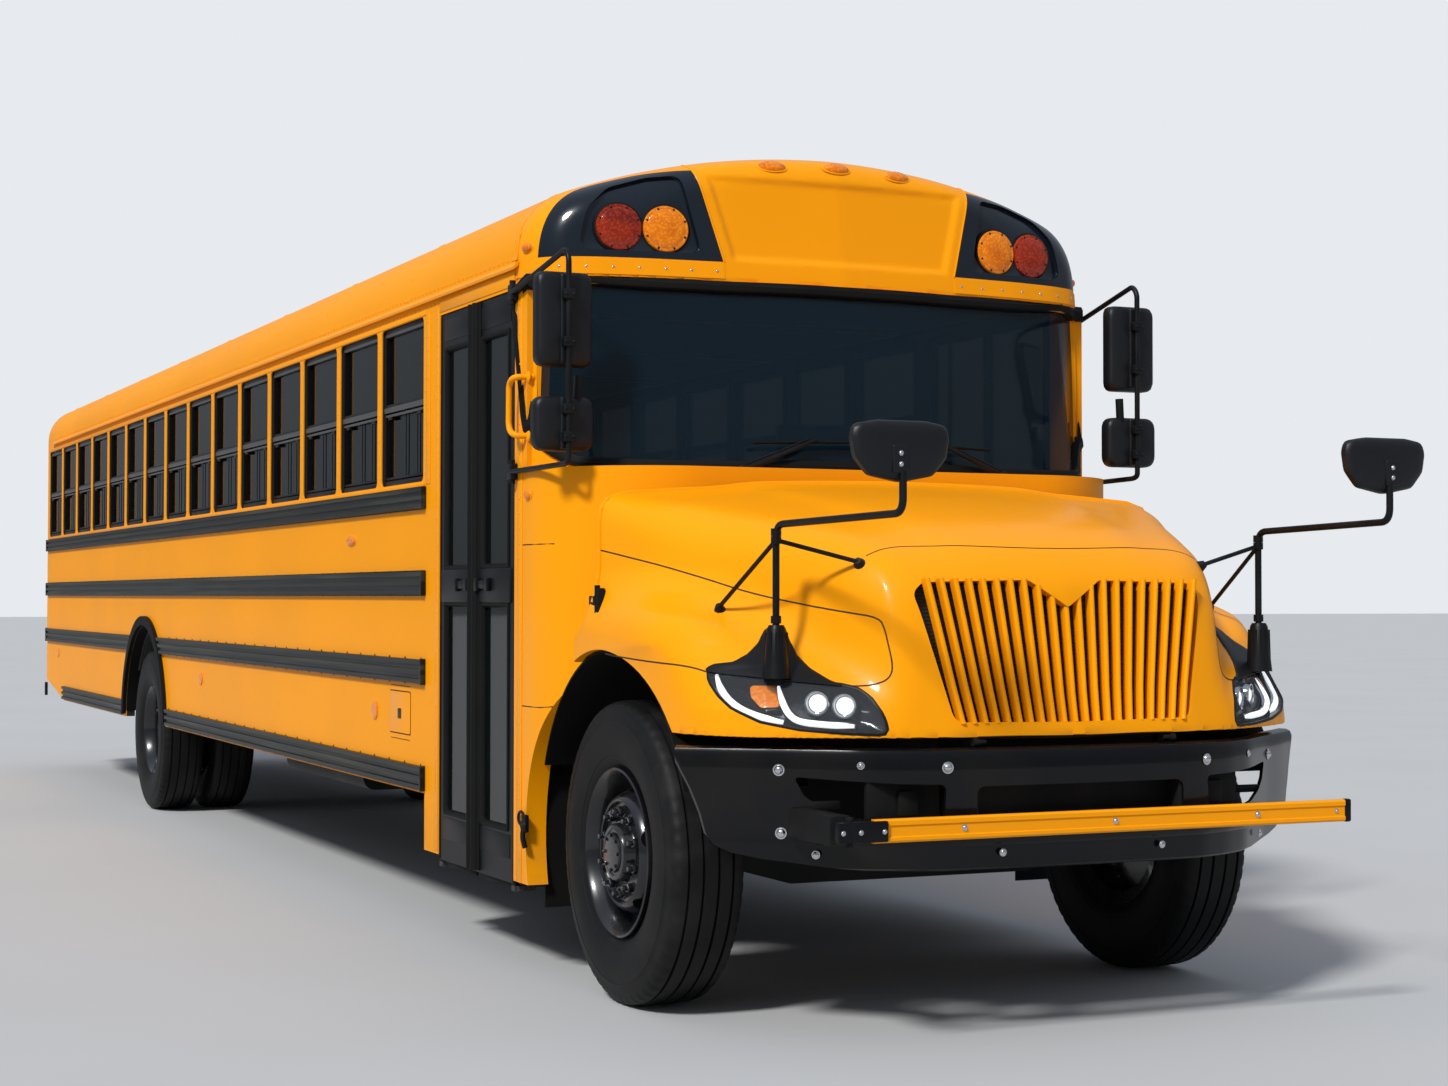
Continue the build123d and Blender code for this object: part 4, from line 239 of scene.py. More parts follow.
def enamel(name, inside=None, other=colour(120, 124, 124), shiny=False, gloss=0.1):
    """Gloss yellow; `inside` gives the signal that is 1 where the other colour shows."""
    paint = Finish(name, YELLOW, 0.34, Coat_Weight=gloss, Coat_Roughness=0.06,
                   Specular_IOR_Level=gloss)
    x, y, z = paint.xyz()
    cloud = paint.noise(0.9, 2.0)
    # Darker, browner and rougher patches towards the bottom, fading out between 0.3 m and 0.75 m.
    low_dark_patches = (1 - z.step(0.3, 0.75)) * paint.noise(6.0, 4.0).step(0.35, 0.8) * 0.35
    tone = paint.blend(cloud.step(0.3, 0.7), tuple(v * 0.95 for v in YELLOW), YELLOW)
    tone = paint.blend(low_dark_patches, tone, colour(150, 118, 70))
    sheen = cloud * 0.08 + 0.3 + low_dark_patches * 0.5
    if inside:
        lining = inside(x, y, z)
        tone = paint.blend(lining, tone, other)
        paint.put("Coat Weight", lining * 0.5 + gloss if shiny else gloss - lining * gloss)
        sheen = sheen - lining * 0.12 if shiny else sheen
    paint.put("Base Color", tone)
    paint.put("Roughness", sheen)
    paint.bump(paint.noise(1.6, 2.0), 0.0015, 0.35)
    return paint


yellow = enamel("yellow_enamel")
# The side walls' inside is painted a dark grey, far darker than the grey lining elsewhere: painted
# shade of the cabin.
wall_yellow_shaded_in = enamel("wall_enamel_shaded_in", lambda x, y, z: abs(x) < 1.214, colour(48, 50, 50), gloss=0.03)

# The roof's lining starts this far under its crown and its corner arcs
LINING = 0.025
CROWN_TOP, CORNER_X, CORNER_Z, CORNER_R = 3.12, 0.949, 2.69, 0.27


def roof_lining(x, y, z):
    rise = CROWN_TOP - CORNER_Z - CORNER_R
    bend = (CORNER_X**2 - CORNER_R**2 + (rise + CORNER_R) ** 2) / (2 * rise)
    across = abs(x)
    from_corner = ((across - CORNER_X).power(2) + (z - CORNER_Z).power(2)).maths("SQRT")
    corner = from_corner < CORNER_R - LINING
    crown = ((across.power(2) + (z - (CROWN_TOP - bend)).power(2)).maths("SQRT")) < bend - LINING
    upright = (z < CORNER_Z) * (across < BODY_HALF - LINING)
    return corner.most((across < CORNER_X) * crown).most(upright)


roof_yellow = enamel("roof_enamel", roof_lining, gloss=0.04)
end_yellow = enamel("end_enamel", lambda x, y, z: (y < 6.976) * roof_lining(x, y, z))
print("yellow enamel in four versions")

# %% [markdown]
# ## Blacks, rubbers and metals
# Black is never one thing on a bus: gloss enamel on the bumper, satin on the doors, dusty
# chassis paint, grained mirror plastic, tyre rubber. Each gets its own sheen and its own
# small relief, because the eye tells them apart by their highlights.

# %% One recipe for worn finishes
def worn(name, color, rough, metal=0.0, cloud=(4.0, 4.0), span=None, shades=None, sheen=None,
         relief=None, **sockets):
    """A finish whose shades and sheen follow one noise.

    relief is (scale, detail, distance, strength) of its bumps.
    """
    finish = Finish(name, color, rough, metal, **sockets)
    mist = finish.noise(*cloud)
    if shades:
        finish.put("Base Color", finish.blend(mist.step(*span) if span else mist, *shades))
    if sheen:
        finish.put("Roughness", mist * sheen[0] + sheen[1])
    if relief:
        finish.bump(finish.noise(*relief[:2]), *relief[2:])
    return finish


print("recipe for worn finishes ready")

# %% Dark and metal finishes
gloss_black = worn("gloss_black", (0.006, 0.006, 0.007), 0.16, cloud=(3.0, 3.0), span=(0.4, 0.8),
                   shades=((0.003, 0.003, 0.004), (0.008, 0.007, 0.006)), sheen=(0.12, 0.12),
                   relief=(2.0, 2.0, 0.001, 0.3), Coat_Weight=0.22, Coat_Roughness=0.04,
                   Specular_IOR_Level=0.15)
satin_black = worn("satin_black", (0.016, 0.017, 0.019), 0.42, cloud=(5.0, 4.0), span=(0.35, 0.75),
                   shades=((0.004, 0.0045, 0.0055), (0.01, 0.011, 0.012)), sheen=(0.2, 0.32),
                   relief=(60.0, 2.0, 0.0004, 0.3), Specular_IOR_Level=0.18)
chassis = worn("chassis_black", (0.018, 0.017, 0.016), 0.6, cloud=(2.5, 5.0), span=(0.45, 0.8),
               shades=((0.006, 0.006, 0.006), (0.03, 0.025, 0.02)), sheen=(0.3, 0.45),
               relief=(30.0, 4.0, 0.002, 0.4), Specular_IOR_Level=0.2)
rubber = worn("black_rubber", (0.012, 0.012, 0.012), 0.7,
              shades=((0.003, 0.003, 0.003), (0.009, 0.009, 0.008)),
              sheen=(0.2, 0.55), relief=(45.0, 3.0, 0.0008, 0.4), Specular_IOR_Level=0.12)
tyre_rubber = worn("tyre_rubber", (0.012, 0.012, 0.012), 0.6, cloud=(5.0, 5.0), span=(0.45, 0.8),
                   shades=((0.0045, 0.0045, 0.0045), (0.016, 0.015, 0.014)), sheen=(0.25, 0.45),
                   relief=(70.0, 3.0, 0.0006, 0.4), Specular_IOR_Level=0.2)
wheel_black = worn("wheel_black", (0.006, 0.006, 0.007), 0.2, cloud=(6.0, 4.0), span=(0.5, 0.85),
                   shades=((0.005, 0.005, 0.006), (0.022, 0.02, 0.018)), sheen=(0.25, 0.14),
                   Coat_Weight=0.5, Coat_Roughness=0.08, Specular_IOR_Level=0.4)
cast_metal = worn("cast_metal", (0.05, 0.05, 0.055), 0.6, 0.6, (4.0, 5.0), span=(0.5, 0.8),
                  shades=((0.035, 0.036, 0.04), (0.1, 0.07, 0.05)), relief=(50.0, 4.0, 0.002, 0.5))
dull_steel = worn("dull_steel", (0.3, 0.28, 0.25), 0.5, 0.85, (3.0, 5.0), span=(0.4, 0.75),
                  shades=((0.32, 0.3, 0.27), (0.16, 0.1, 0.06)), sheen=(0.3, 0.35))
bright_metal = worn("bright_metal", (0.62, 0.62, 0.63), 0.22, 1.0, (20.0, 3.0), sheen=(0.15, 0.15))
sash_black = worn("sash_black", (0.005, 0.005, 0.006), 0.36, 0.2, (9.0, 3.0), sheen=(0.2, 0.28),
                  Specular_IOR_Level=0.2)
sash_grey = worn("sash_grey", (0.1, 0.1, 0.1), 0.42, 0.5, (7.0, 3.0), sheen=(0.2, 0.34))

rail_black = Finish("rail_black", (0.022, 0.023, 0.018), 0.4, Specular_IOR_Level=0.2)
along = rail_black.noise(1.0, 5.0, rail_black.stretched((6.0, 0.8, 30.0)))
rail_black.put("Base Color",
               rail_black.blend(along.step(0.42, 0.75), (0.005, 0.006, 0.004),
                                (0.045, 0.045, 0.034)))
rail_black.put("Roughness", along * 0.35 + 0.22)
rail_black.bump(along, 0.001, 0.4)

grained = worn("grained_plastic", (0.006, 0.0065, 0.008), 0.42, cloud=(8.0, 2.0),
               sheen=(0.15, 0.34),
               Specular_IOR_Level=0.3)
grain = Signal(grained,
               grained.node("ShaderNodeTexVoronoi", out="Distance", Vector=grained.place,
                            Scale=320.0))
grained.bump(grain, 0.0006, 0.35)
print("dark and metal finishes ready")

# %% [markdown]
# ## Glass and lenses
# The windows are tinted safety glass: dark, with a thin bright reflection. A dark base with
# partial alpha gives the tint without the cost of true refraction; in the side and door windows
# that base is so dark and opaque that it also paints in the shade of the cabin behind. Lamp
# lenses are tinted plastic over a moulded pattern of small cells.

# %% Glass and lens finishes
# The side and door panes' near-black, near-opaque base is partly tint and partly painted shade of
# the cabin behind.
tint_and_shade = worn("tint_and_shade_glass", (0.002, 0.003, 0.003), 0.03, cloud=(1.2, 2.0), sheen=(0.03, 0.02),
              Alpha=0.85, Specular_IOR_Level=0.3)
shield_tint = worn("shield_glass", (0.003, 0.012, 0.02), 0.02, cloud=(0.8, 2.0),
                   sheen=(0.03, 0.015),
                   Alpha=0.55, Specular_IOR_Level=0.3)
door_tint_and_shade = worn("door_glass", (0.003, 0.005, 0.004), 0.03, cloud=(1.5, 2.0), sheen=(0.03, 0.02),
                 Alpha=0.84, Specular_IOR_Level=0.35)
clear_cover = worn("clear_cover", (0.3, 0.32, 0.34), 0.04, cloud=(2.0, 2.0), sheen=(0.03, 0.02),
                   Alpha=0.06)
chrome = worn("chrome", (0.45, 0.46, 0.48), 0.12, 1.0, (15.0, 3.0), sheen=(0.1, 0.04))
mirror_face = worn("mirror_face", (0.7, 0.72, 0.74), 0.03, 1.0, (2.0, 2.0), sheen=(0.03, 0.015))
lamp_black = worn("lamp_black", (0.008, 0.009, 0.01), 0.16, 0.3, (12.0, 2.0), sheen=(0.12, 0.1))
seam_dark = worn("seam_shadow", (0.012, 0.007, 0.002), 0.8, cloud=(14.0, 3.0),
                 shades=((0.01, 0.006, 0.002), (0.035, 0.018, 0.003)))
led_white = Finish("led_white", (0.85, 0.87, 0.88), 0.25, Emission_Strength=0.9)
led_white.put("Emission Color",
              led_white.blend(led_white.noise(40.0, 2.0), (0.75, 0.8, 0.85), (1.0, 1.0, 0.98)))


def lens(name, dark, light, glow):
    """A moulded lens: small cells that catch the light."""
    finish = Finish(name, dark, 0.18, Coat_Weight=0.3, Coat_Roughness=0.05, Specular_IOR_Level=0.25)
    cell = Signal(finish,
                  finish.node("ShaderNodeTexVoronoi", out="Distance", Vector=finish.place,
                              Scale=90.0))
    blotch = finish.noise(9.0, 2.0)
    mix = (cell.step(0.1, 0.7) * 0.6 + blotch.step(0.5, 0.8) * 0.5).least(1.0)
    finish.put("Base Color", finish.blend(mix, light, dark))
    # The faint emission is a painted glow; the red lens also dresses the stop sign's board and the
    # amber lens the side reflectors, neither of them a lamp.
    finish.put("Emission Color", (*light, 1.0))
    finish.put("Emission Strength", glow)
    finish.bump(cell, 0.0015, 0.6)
    return finish


red_lens = lens("red_lens", (0.12, 0.006, 0.002), (0.42, 0.035, 0.006), 0.03)
amber_lens = lens("amber_lens", (0.55, 0.1, 0.001), (0.88, 0.27, 0.004), 0.06)
print("glass and lenses ready")

# %% [markdown]
# ## Inside the cabin
# Through the glass one sees ribbed rubber flooring, dark seats and a plain dashboard.

# %% Cabin finishes
floor_rubber = Finish("floor_rubber", (0.03, 0.03, 0.032), 0.7)
across_floor = floor_rubber.xyz()[0]
floor_rubber.put("Base Color",
                 floor_rubber.blend(floor_rubber.noise(3.0, 4.0), (0.022, 0.022, 0.024),
                                    (0.05, 0.047, 0.042)))
floor_rubber.bump(across_floor.wave(0.02).step(0.3, 0.6), 0.003, 0.6)
dash_plastic = Finish("dash_plastic", (0.03, 0.031, 0.033), 0.55)
dash_plastic.bump(dash_plastic.noise(180.0, 2.0), 0.0006, 0.4)
vinyl = Finish("seat_vinyl", (0.01, 0.018, 0.04), 0.45)
vinyl.put("Base Color",
          vinyl.blend(vinyl.noise(2.0, 3.0), (0.008, 0.014, 0.032), (0.016, 0.026, 0.052)))
crease = vinyl.noise(30.0, 5.0)
vinyl.put("Roughness", crease * 0.2 + 0.34)
vinyl.bump(crease, 0.0015, 0.4)
print("cabin finishes ready")

# %% [markdown]
# ## Paint the solids
# A solid whose shape is already right stays, and only gets its finish. A table of names and
# finishes keeps this readable.

# %% Finishes for the carried-over solids
DRESS = {
    yellow: "front_cap windshield_frame cowl hood grille crossing_gate hatch_front hatch_rear",
    wall_yellow_shaded_in: "right_wall left_wall",
    roof_yellow: "roof",
    end_yellow: "rear_wall emergency_door",
    gloss_black: "front_bumper rear_bumper front_rim_right front_rim_left rear_rims_right "
                 "rear_rims_left",
    satin_black: "door_leaf_front door_leaf_rear sign_bracket wipers",
    chassis: "chassis_frame tow_eyes front_axle leaf_springs driveshaft fuel_tank knuckle_right "
             "knuckle_left radiator",
    rail_black: "rub_rails",
    rubber: "mud_guards front_tyre_right front_tyre_left rear_tyres_right rear_tyres_left",
    grained: "side_mirrors crossover_mirrors",
    cast_metal: "rear_axle engine_block",
    dull_steel: "exhaust headlights",
    sash_black: "sash_frames",
    tint_and_shade: "body_glass emergency_glass",
    shield_tint: "windshield",
    door_tint_and_shade: "door_glass_front door_glass_rear",
    # The stop sign's board is no lamp: this red lens finish gives it a faint painted glow.
    red_lens: "red_lamps stop_sign",
    amber_lens: "amber_lamps",
    floor_rubber: "floor stepwell",
    dash_plastic: "dashboard steering_wheel",
    vinyl: "seat_cushions seat_backs driver_seat",
}
for finish, names in DRESS.items():
    for name in names.split():
        solid = NODES[name].data
        solid.materials.clear()
        solid.materials.append(finish.material)
print("dressed:", sum(bool(o.data.materials) for o in NODES.values()), "of", len(NODES))

# %% [markdown]
# ## A small kit for shapes
# Most parts of a vehicle are a few simple ideas repeated: an outline pushed along a
# direction, a round bar along a path, a profile turned on a lathe, a skin through rings.
# The class below collects such forms in one mesh, so one part becomes one object.

# %% Outlines
def eased(start, corner, end, steps):
    """Points on the curve that cuts a corner."""
    shares = [j / steps for j in range(steps + 1)]
    return [start * (1 - t) ** 2 + corner * 2 * t * (1 - t) + end * t * t for t in shares]


def rounded(points, radius, steps=5):
    """A closed outline with its corners rounded; radius is one number or one per corner."""
    result = []
    count = len(points)
    radii = radius if hasattr(radius, "__len__") else [radius] * count
    for k in range(count):
        here, before, after = (Vector(points[j % count]) for j in (k, k - 1, k + 1))
        to_before, to_after = (before - here).normalized(), (after - here).normalized()
        half = to_before.angle(to_after) / 2
        reach = min(radii[k] / max(tan(half), 1e-6), (before - here).length * 0.49,
                    (after - here).length * 0.49)
        if radii[k] <= 0 or half > 1.55:
            result.append(tuple(here))
            continue
        start, end = here + to_before * reach, here + to_after * reach
        result += [tuple(p) for p in eased(start, here, end, steps)]
    return result


def box_outline(width, height, radius, steps=5, centre=(0, 0)):
    """A rounded rectangle round a centre, counter-clockwise."""
    w, h = width / 2, height / 2
    corners = [(-w, -h), (w, -h), (w, h), (-w, h)]
    return rounded([(x + centre[0], y + centre[1]) for x, y in corners], radius, steps)


def inward(outline, distance):
    """A closed outline moved in by a distance, each corner along its mitre."""
    result = []
    for k in range(len(outline)):
        before, here, after = (Vector(outline[j % len(outline)][:2]) for j in (k - 1, k, k + 1))
        first, second = (here - before).normalized(), (after - here).normalized()
        normal = Vector((-first.y - second.y, first.x + second.x))
        scale = max(normal.length_squared / 2, 0.35)
        result.append(tuple(here + normal * distance / scale))
    return result


print("outline tools ready")


# %% Places and new objects
def seat(origin, right, up):
    """A matrix that puts a drawing's x, y and depth at a place, with depth towards the viewer."""
    right, up = Vector(right).normalized(), Vector(up).normalized()
    out = right.cross(up)
    return Matrix.Translation(origin) @ Matrix((right, up, out)).transposed().to_4x4()


def facing_front(origin):
    return seat(origin, (1, 0, 0), (0, 0, 1))


def facing_rear(origin):
    return seat(origin, (-1, 0, 0), (0, 0, 1))


def facing_side(origin, side):
    return seat(origin, (0, side, 0), (0, 0, 1))


def scaled(outline, share):
    return [(x * share, y * share) for x, y in outline]


def around(count):
    """Evenly spaced turns of a full circle."""
    return [2 * pi * k / count for k in range(count)]


def linked(name, data):
    """A new object in the scene."""
    made = bpy.data.objects.new(name, data)
    bpy.context.scene.collection.objects.link(made)
    return made


print("places ready")


# %% The shape collector
class Shape:
    """Collects simple forms in one mesh."""

    def __init__(self):
        self.points, self.faces = [], []

    def add(self, points, faces):
        start = len(self.points)
        self.points += [tuple(p) for p in points]
        self.faces += [[start + i for i in face] for face in faces]
        return self

    def skin(self, rings, ends=True, closed=True):
        """A skin through rings of equally many points."""
        count = len(rings[0])
        sides = count if closed else count - 1
        faces = [
            (r * count + k, r * count + (k + 1) % count, (r + 1) * count + (k + 1) % count,
             (r + 1) * count + k)
            for r in range(len(rings) - 1) for k in range(sides)
        ]
        if ends:
            last = (len(rings) - 1) * count
            faces += [tuple(range(count))[::-1], tuple(range(last, last + count))]
        return self.add([p for ring in rings for p in ring], faces)

    def plate(self, outline, place, back, front, edge=0.0, steps=3):
        """An outline pushed from depth back to front, its front edge rounded by edge."""
        levels = [(0.0, back)]
        if edge:
            for j in range(steps + 1):
                turn = pi / 2 * j / steps
                levels.append((edge * (1 - cos(turn)), front - edge + edge * sin(turn)))
        else:
            levels.append((0.0, front))
        return self.layers(place, [(inward(outline, shift), depth) for shift, depth in levels],
                           True)

    def layers(self, place, levels, ends=False):
        """A skin through outlines drawn at depths of a place."""
        return self.skin([[place @ Vector((x, y, depth)) for x, y in edge]
                          for edge, depth in levels], ends)

    def brick(self, first, second, edge=0.0):
        """A box between two corners with all its edges eased."""
        low, high = list(map(min, first, second)), list(map(max, first, second))
        block = bmesh.new()
        bmesh.ops.create_cube(block, size=1.0)
        for vertex in block.verts:
            vertex.co = Vector([(low[k] + high[k]) / 2 + vertex.co[k] * (high[k] - low[k])
                                for k in range(3)])
        if edge:
            bmesh.ops.bevel(block, geom=block.edges[:], offset=edge, segments=2, profile=0.5,
                            affect="EDGES")
        block.verts.index_update()
        self.add([v.co for v in block.verts], [[v.index for v in f.verts] for f in block.faces])
        block.free()
        return self

    def bar(self, path, radius, sides=12, ends=True):
        """A round bar along a path; radius is one number or one per point."""
        path = [Vector(p) for p in path]
        radii = radius if hasattr(radius, "__len__") else [radius] * len(path)
        side = None
        rings = []
        for k, point in enumerate(path):
            way = (path[min(k + 1, len(path) - 1)] - path[max(k - 1, 0)]).normalized()
            if side is None:
                side = way.orthogonal().normalized()
            side = (side - way * side.dot(way)).normalized()
            other = way.cross(side)
            rings.append([point + (side * cos(a) + other * sin(a)) * radii[k]
                          for a in around(sides)])
        return self.skin(rings, ends)

    def turned(self, profile, place, sides=48):
        """A profile of (radius, depth) pairs turned round the depth axis of a place."""
        rings = [[place @ Vector((r * cos(a), r * sin(a), depth))
                  for a in around(sides)] for r, depth in profile]
        return self.skin(rings, ends=False)

    def mesh(self, name, angle=32, weld=1e-5):
        """The finished mesh, outward normals, smooth up to an angle."""
        mesh = bpy.data.meshes.new(name)
        mesh.from_pydata(self.points, [], self.faces)
        work = bmesh.new()
        work.from_mesh(mesh)
        bmesh.ops.remove_doubles(work, verts=work.verts, dist=weld)
        bmesh.ops.dissolve_degenerate(work, edges=work.edges, dist=1e-6)
        bmesh.ops.recalc_face_normals(work, faces=work.faces)
        work.to_mesh(mesh)
        work.free()
        return smooth(mesh, angle)


def smooth(mesh, angle=32):
    mesh.polygons.foreach_set("use_smooth", [True] * len(mesh.polygons))
    mesh.set_sharp_from_angle(angle=radians(angle))
    return mesh


def bend(points, radius, steps=6):
    """A path in space whose inner corners are rounded."""
    points = [Vector(p) for p in points]
    path = [points[0]]
    for before, here, after in zip(points, points[1:], points[2:]):
        reach = min(radius, (here - before).length * 0.49, (after - here).length * 0.49)
        start = here + (before - here).normalized() * reach
        end = here + (after - here).normalized() * reach
        path += eased(start, here, end, steps)
    return path + [points[-1]]


print("shape collector ready")


# %% Show a piece
def show(name, form, finish, body="root", stands_for="", angle=32):
    """Puts a shape or a mesh in the scene as a piece on a body."""
    mesh = form.mesh(name, angle) if isinstance(form, Shape) else form
    if not mesh.materials:
        mesh.materials.append(finish.material)
    piece = linked(name, mesh)
    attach(piece, body)
    if stands_for:
        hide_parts(*stands_for.split())
    return piece


print("pieces can be shown")

# %% [markdown]
# ## Cutting and hollowing
# Openings are cut with boolean modifiers. The cut is worked out once and the result kept
# as a plain mesh, so nothing is left to recompute.


# %% Boolean cuts
def carve(mesh, *cutters, keep="DIFFERENCE"):
    """The mesh after each cutter mesh is taken away from it."""
    body = linked("carving", mesh)
    knives = [linked("knife", cutter) for cutter in cutters]
    for knife in knives:
        step = body.modifiers.new("cut", "BOOLEAN")
        step.operation, step.object, step.solver = keep, knife, "MANIFOLD"
    graph = bpy.context.evaluated_depsgraph_get()
    result = bpy.data.meshes.new_from_object(body.evaluated_get(graph))
    for used in [body] + knives:
        bpy.data.objects.remove(used)
    result.materials.clear()
    return result


def prism(outline, place, back, front):
    """A closed cutter: an outline pushed along the depth of a place."""
    return Shape().plate(outline, place, back, front).mesh("cutter")


def drum(radius, start, end, sides=96):
    """A closed round cutter between two points."""
    return Shape().bar([start, end], radius, sides).mesh("cutter")


print("cutting tools ready")

# %% [markdown]
# ## The hood as one flowing surface
# The hood's panels melt into each other: a broad dome, two fenders and an upright nose. Such
# a form is easiest as a field, a number that is negative inside and positive outside. Fields
# join softly with a smooth minimum and meet softly with a smooth maximum. The surface
# is then where the field is zero: a coarse net is laid there, and a few Newton steps pull
# each of its points exactly onto the surface.

# %% Smooth fields and the net
def soft_least(a, b, radius):
    mix = np.clip(0.5 + 0.5 * (b - a) / radius, 0, 1)
    return b * (1 - mix) + a * mix - radius * mix * (1 - mix)


def soft_most(a, b, radius):
    return -soft_least(-a, -b, radius)


def curve(table, softness):
    """A smooth function through a table of pairs, as a blurred broken line."""
    xs, ys = zip(*table)
    fine = np.linspace(xs[0] - 4 * softness, xs[-1] + 4 * softness, 600)
    line = np.interp(fine, xs, ys)
    line = np.where(fine < xs[0], ys[0] + (fine - xs[0]) * (ys[1] - ys[0]) / (xs[1] - xs[0]), line)
    line = np.where(fine > xs[-1], ys[-1] + (fine - xs[-1]) * (ys[-1] - ys[-2]) / (xs[-1] - xs[-2]),
                    line)
    gap = fine[1] - fine[0]
    reach = max(int(3 * softness / gap), 1)
    kernel = np.exp(-0.5 * (np.arange(-reach, reach + 1) * gap / softness) ** 2)
    line = np.convolve(np.pad(line, reach, mode="reflect", reflect_type="odd"),
                       kernel / kernel.sum(), "valid")
    return lambda x: np.interp(x, fine, line)


print("smooth joins ready")


# %% A net on the zero surface
def net(field, low, high, step, name):
    """A mesh on the zero surface of a field inside a box."""
    axes = [np.arange(low[k], high[k] + step, step) for k in range(3)]
    value = field(*np.meshgrid(*axes, indexing="ij"))
    inside = value < 0
    corners = [inside[i:inside.shape[0] - 1 + i, j:inside.shape[1] - 1 + j,
                      k:inside.shape[2] - 1 + k]
               for i in (0, 1) for j in (0, 1) for k in (0, 1)]
    total = sum(c.astype(np.int8) for c in corners)
    active = (total > 0) & (total < 8)
    index = -np.ones(active.shape, int)
    index[active] = np.arange(active.sum())
    cells = np.argwhere(active)
    points = np.stack([axes[k][cells[:, k]] + step / 2 for k in range(3)], 1)
    quads = []
    for axis in range(3):
        a, b = (axis + 1) % 3, (axis + 2) % 3
        first = np.moveaxis(inside, (axis, a, b), (0, 1, 2))
        lookup = np.moveaxis(index, (axis, a, b), (0, 1, 2))
        core = first[:, 1:-1, 1:-1]
        for here, there, flip in ((core[:-1], core[1:], False), (core[1:], core[:-1], True)):
            i, j, k = np.nonzero(here & ~there)
            quad = np.stack([lookup[i, j, k], lookup[i, j + 1, k], lookup[i, j + 1, k + 1],
                             lookup[i, j, k + 1]], 1)
            quads.append(quad[:, ::-1] if flip else quad)
    tiny = 1e-4
    for _ in range(6):
        x, y, z = points.T
        here = field(x, y, z)
        slope = np.stack([(field(x + tiny, y, z) - field(x - tiny, y, z)) / (2 * tiny),
                          (field(x, y + tiny, z) - field(x, y - tiny, z)) / (2 * tiny),
                          (field(x, y, z + tiny) - field(x, y, z - tiny)) / (2 * tiny)], 1)
        move = slope * (here / np.maximum((slope ** 2).sum(1), 0.05))[:, None]
        size = np.linalg.norm(move, axis=1, keepdims=True)
        points -= move * np.minimum(1, step * 0.6 / np.maximum(size, 1e-9))
    mesh = bpy.data.meshes.new(name)
    mesh.from_pydata(points.tolist(), [], np.concatenate(quads).tolist())
    return mesh


print("field tools ready")

# %% [markdown]
# ## The hood's own numbers
# Three tables rule the form: the dome's half width and crown along the bus, the fender's
# crest, and the front's outline in plan. Distances run backwards from the front axle.

# %% Hood field
HOOD_REAR, HOOD_LOW, FENDER_OUT, FENDER_TIP = 0.15, 0.966, 1.2, 0.26
dome_half = curve([(-1.16, 0.61), (-1.0, 0.655), (-0.75, 0.765), (-0.4, 0.945), (-0.1, 1.085),
                   (0.15, 1.165)], 0.05)
dome_crown = curve([(-1.16, 1.485), (-1.06, 1.525), (-0.95, 1.59), (-0.8, 1.658), (-0.6, 1.712),
                    (-0.4, 1.755), (-0.1, 1.802), (0.15, 1.83)], 0.05)
dome_drop = curve([(-1.16, 0.045), (-0.9, 0.06), (-0.4, 0.085), (0.15, 0.05)], 0.08)
dome_round = curve([(-1.1, 0.11), (-0.7, 0.16), (-0.3, 0.17), (0.15, 0.09)], 0.08)
fender_crest = curve([(-1.16, 1.085), (-1.0, 1.135), (-0.9, 1.17), (-0.76, 1.235), (-0.6, 1.315),
                      (-0.4, 1.382), (-0.2, 1.408), (0.0, 1.395), (0.14, 1.352),
                      (0.27, 1.275)], 0.045)
fender_round = curve([(-0.4, 0.17), (0.0, 0.13), (0.2, 0.06)], 0.05)
front_line = curve([(0.0, -1.157), (0.45, -1.137), (0.62, -1.105), (0.76, -1.05), (0.88, -0.985),
                    (1.0, -0.9), (1.09, -0.81), (1.15, -0.71), (1.19, -0.56), (1.203, -0.3),
                    (1.206, 0.3)], 0.022)


def hood_field(x, y, z, inset=0.0):
    side, back = np.abs(x), y - FRONT_AXLE
    past = 0.01 if inset else 0.0
    half = dome_half(back)
    ridge = 0.012 / (1 + np.exp((side - half * 0.52 - 0.03) / 0.03))
    top = dome_crown(back) - dome_drop(back) * (side / half) ** 2 + ridge - 0.012
    flare = np.clip(1.5 - z, 0, 0.6) * 0.1
    dome = soft_most((z - top) * 0.97, (side - half - flare) * 0.93, dome_round(back))
    dome = soft_most(dome, back - HOOD_REAR - past, 0.012)
    crest = fender_crest(back) - 0.05 * np.clip(1.0 - side, 0, 0.5)
    upper = soft_least(dome, (z - crest) * 0.93, 0.15)
    lean = np.clip(z - 0.97, 0, 1) * 0.165
    low_nose = np.clip((1.25 - z) / 0.2, 0, 1)
    upper_line = front_line(np.minimum(side, 0.62)) + np.maximum(side - 0.62, 0) * 0.9
    line = front_line(side) * low_nose + (1 - low_nose) * upper_line
    front = (line + lean - back) * 0.8
    joined = soft_most(upper, front, 0.11)
    joined = soft_most(joined, side - FENDER_OUT, fender_round(back))
    joined = soft_most(joined, back - FENDER_TIP - past, 0.012)
    notch = np.minimum(back - HOOD_REAR - past, 1.075 + inset - side)
    joined = soft_most(joined, notch, 0.006)
    floor = HOOD_LOW - (0.02 if inset else 0) - z
    return soft_most(joined + inset, floor, 0.008)


HOOD_BOX = ((-1.245, aft(-1.215), 0.93), (1.245, aft(0.3), 1.87))
hood_step = 0.015
hood_skin = net(hood_field, *HOOD_BOX, hood_step, "hood_skin")
hood_hollow = net(lambda x, y, z: hood_field(x, y, z, 0.028), *HOOD_BOX, 0.03, "hood_hollow")
print("hood net:", len(hood_skin.polygons), "faces; hollow:", len(hood_hollow.polygons))

# %% [markdown]
# ## Openings in the hood
# The wheel arches, the grille and the lamp pockets are cut from the skin. The grille's
# outline is drawn on a plane that leans back with the nose; each lamp's outline is drawn
# across its front corner.

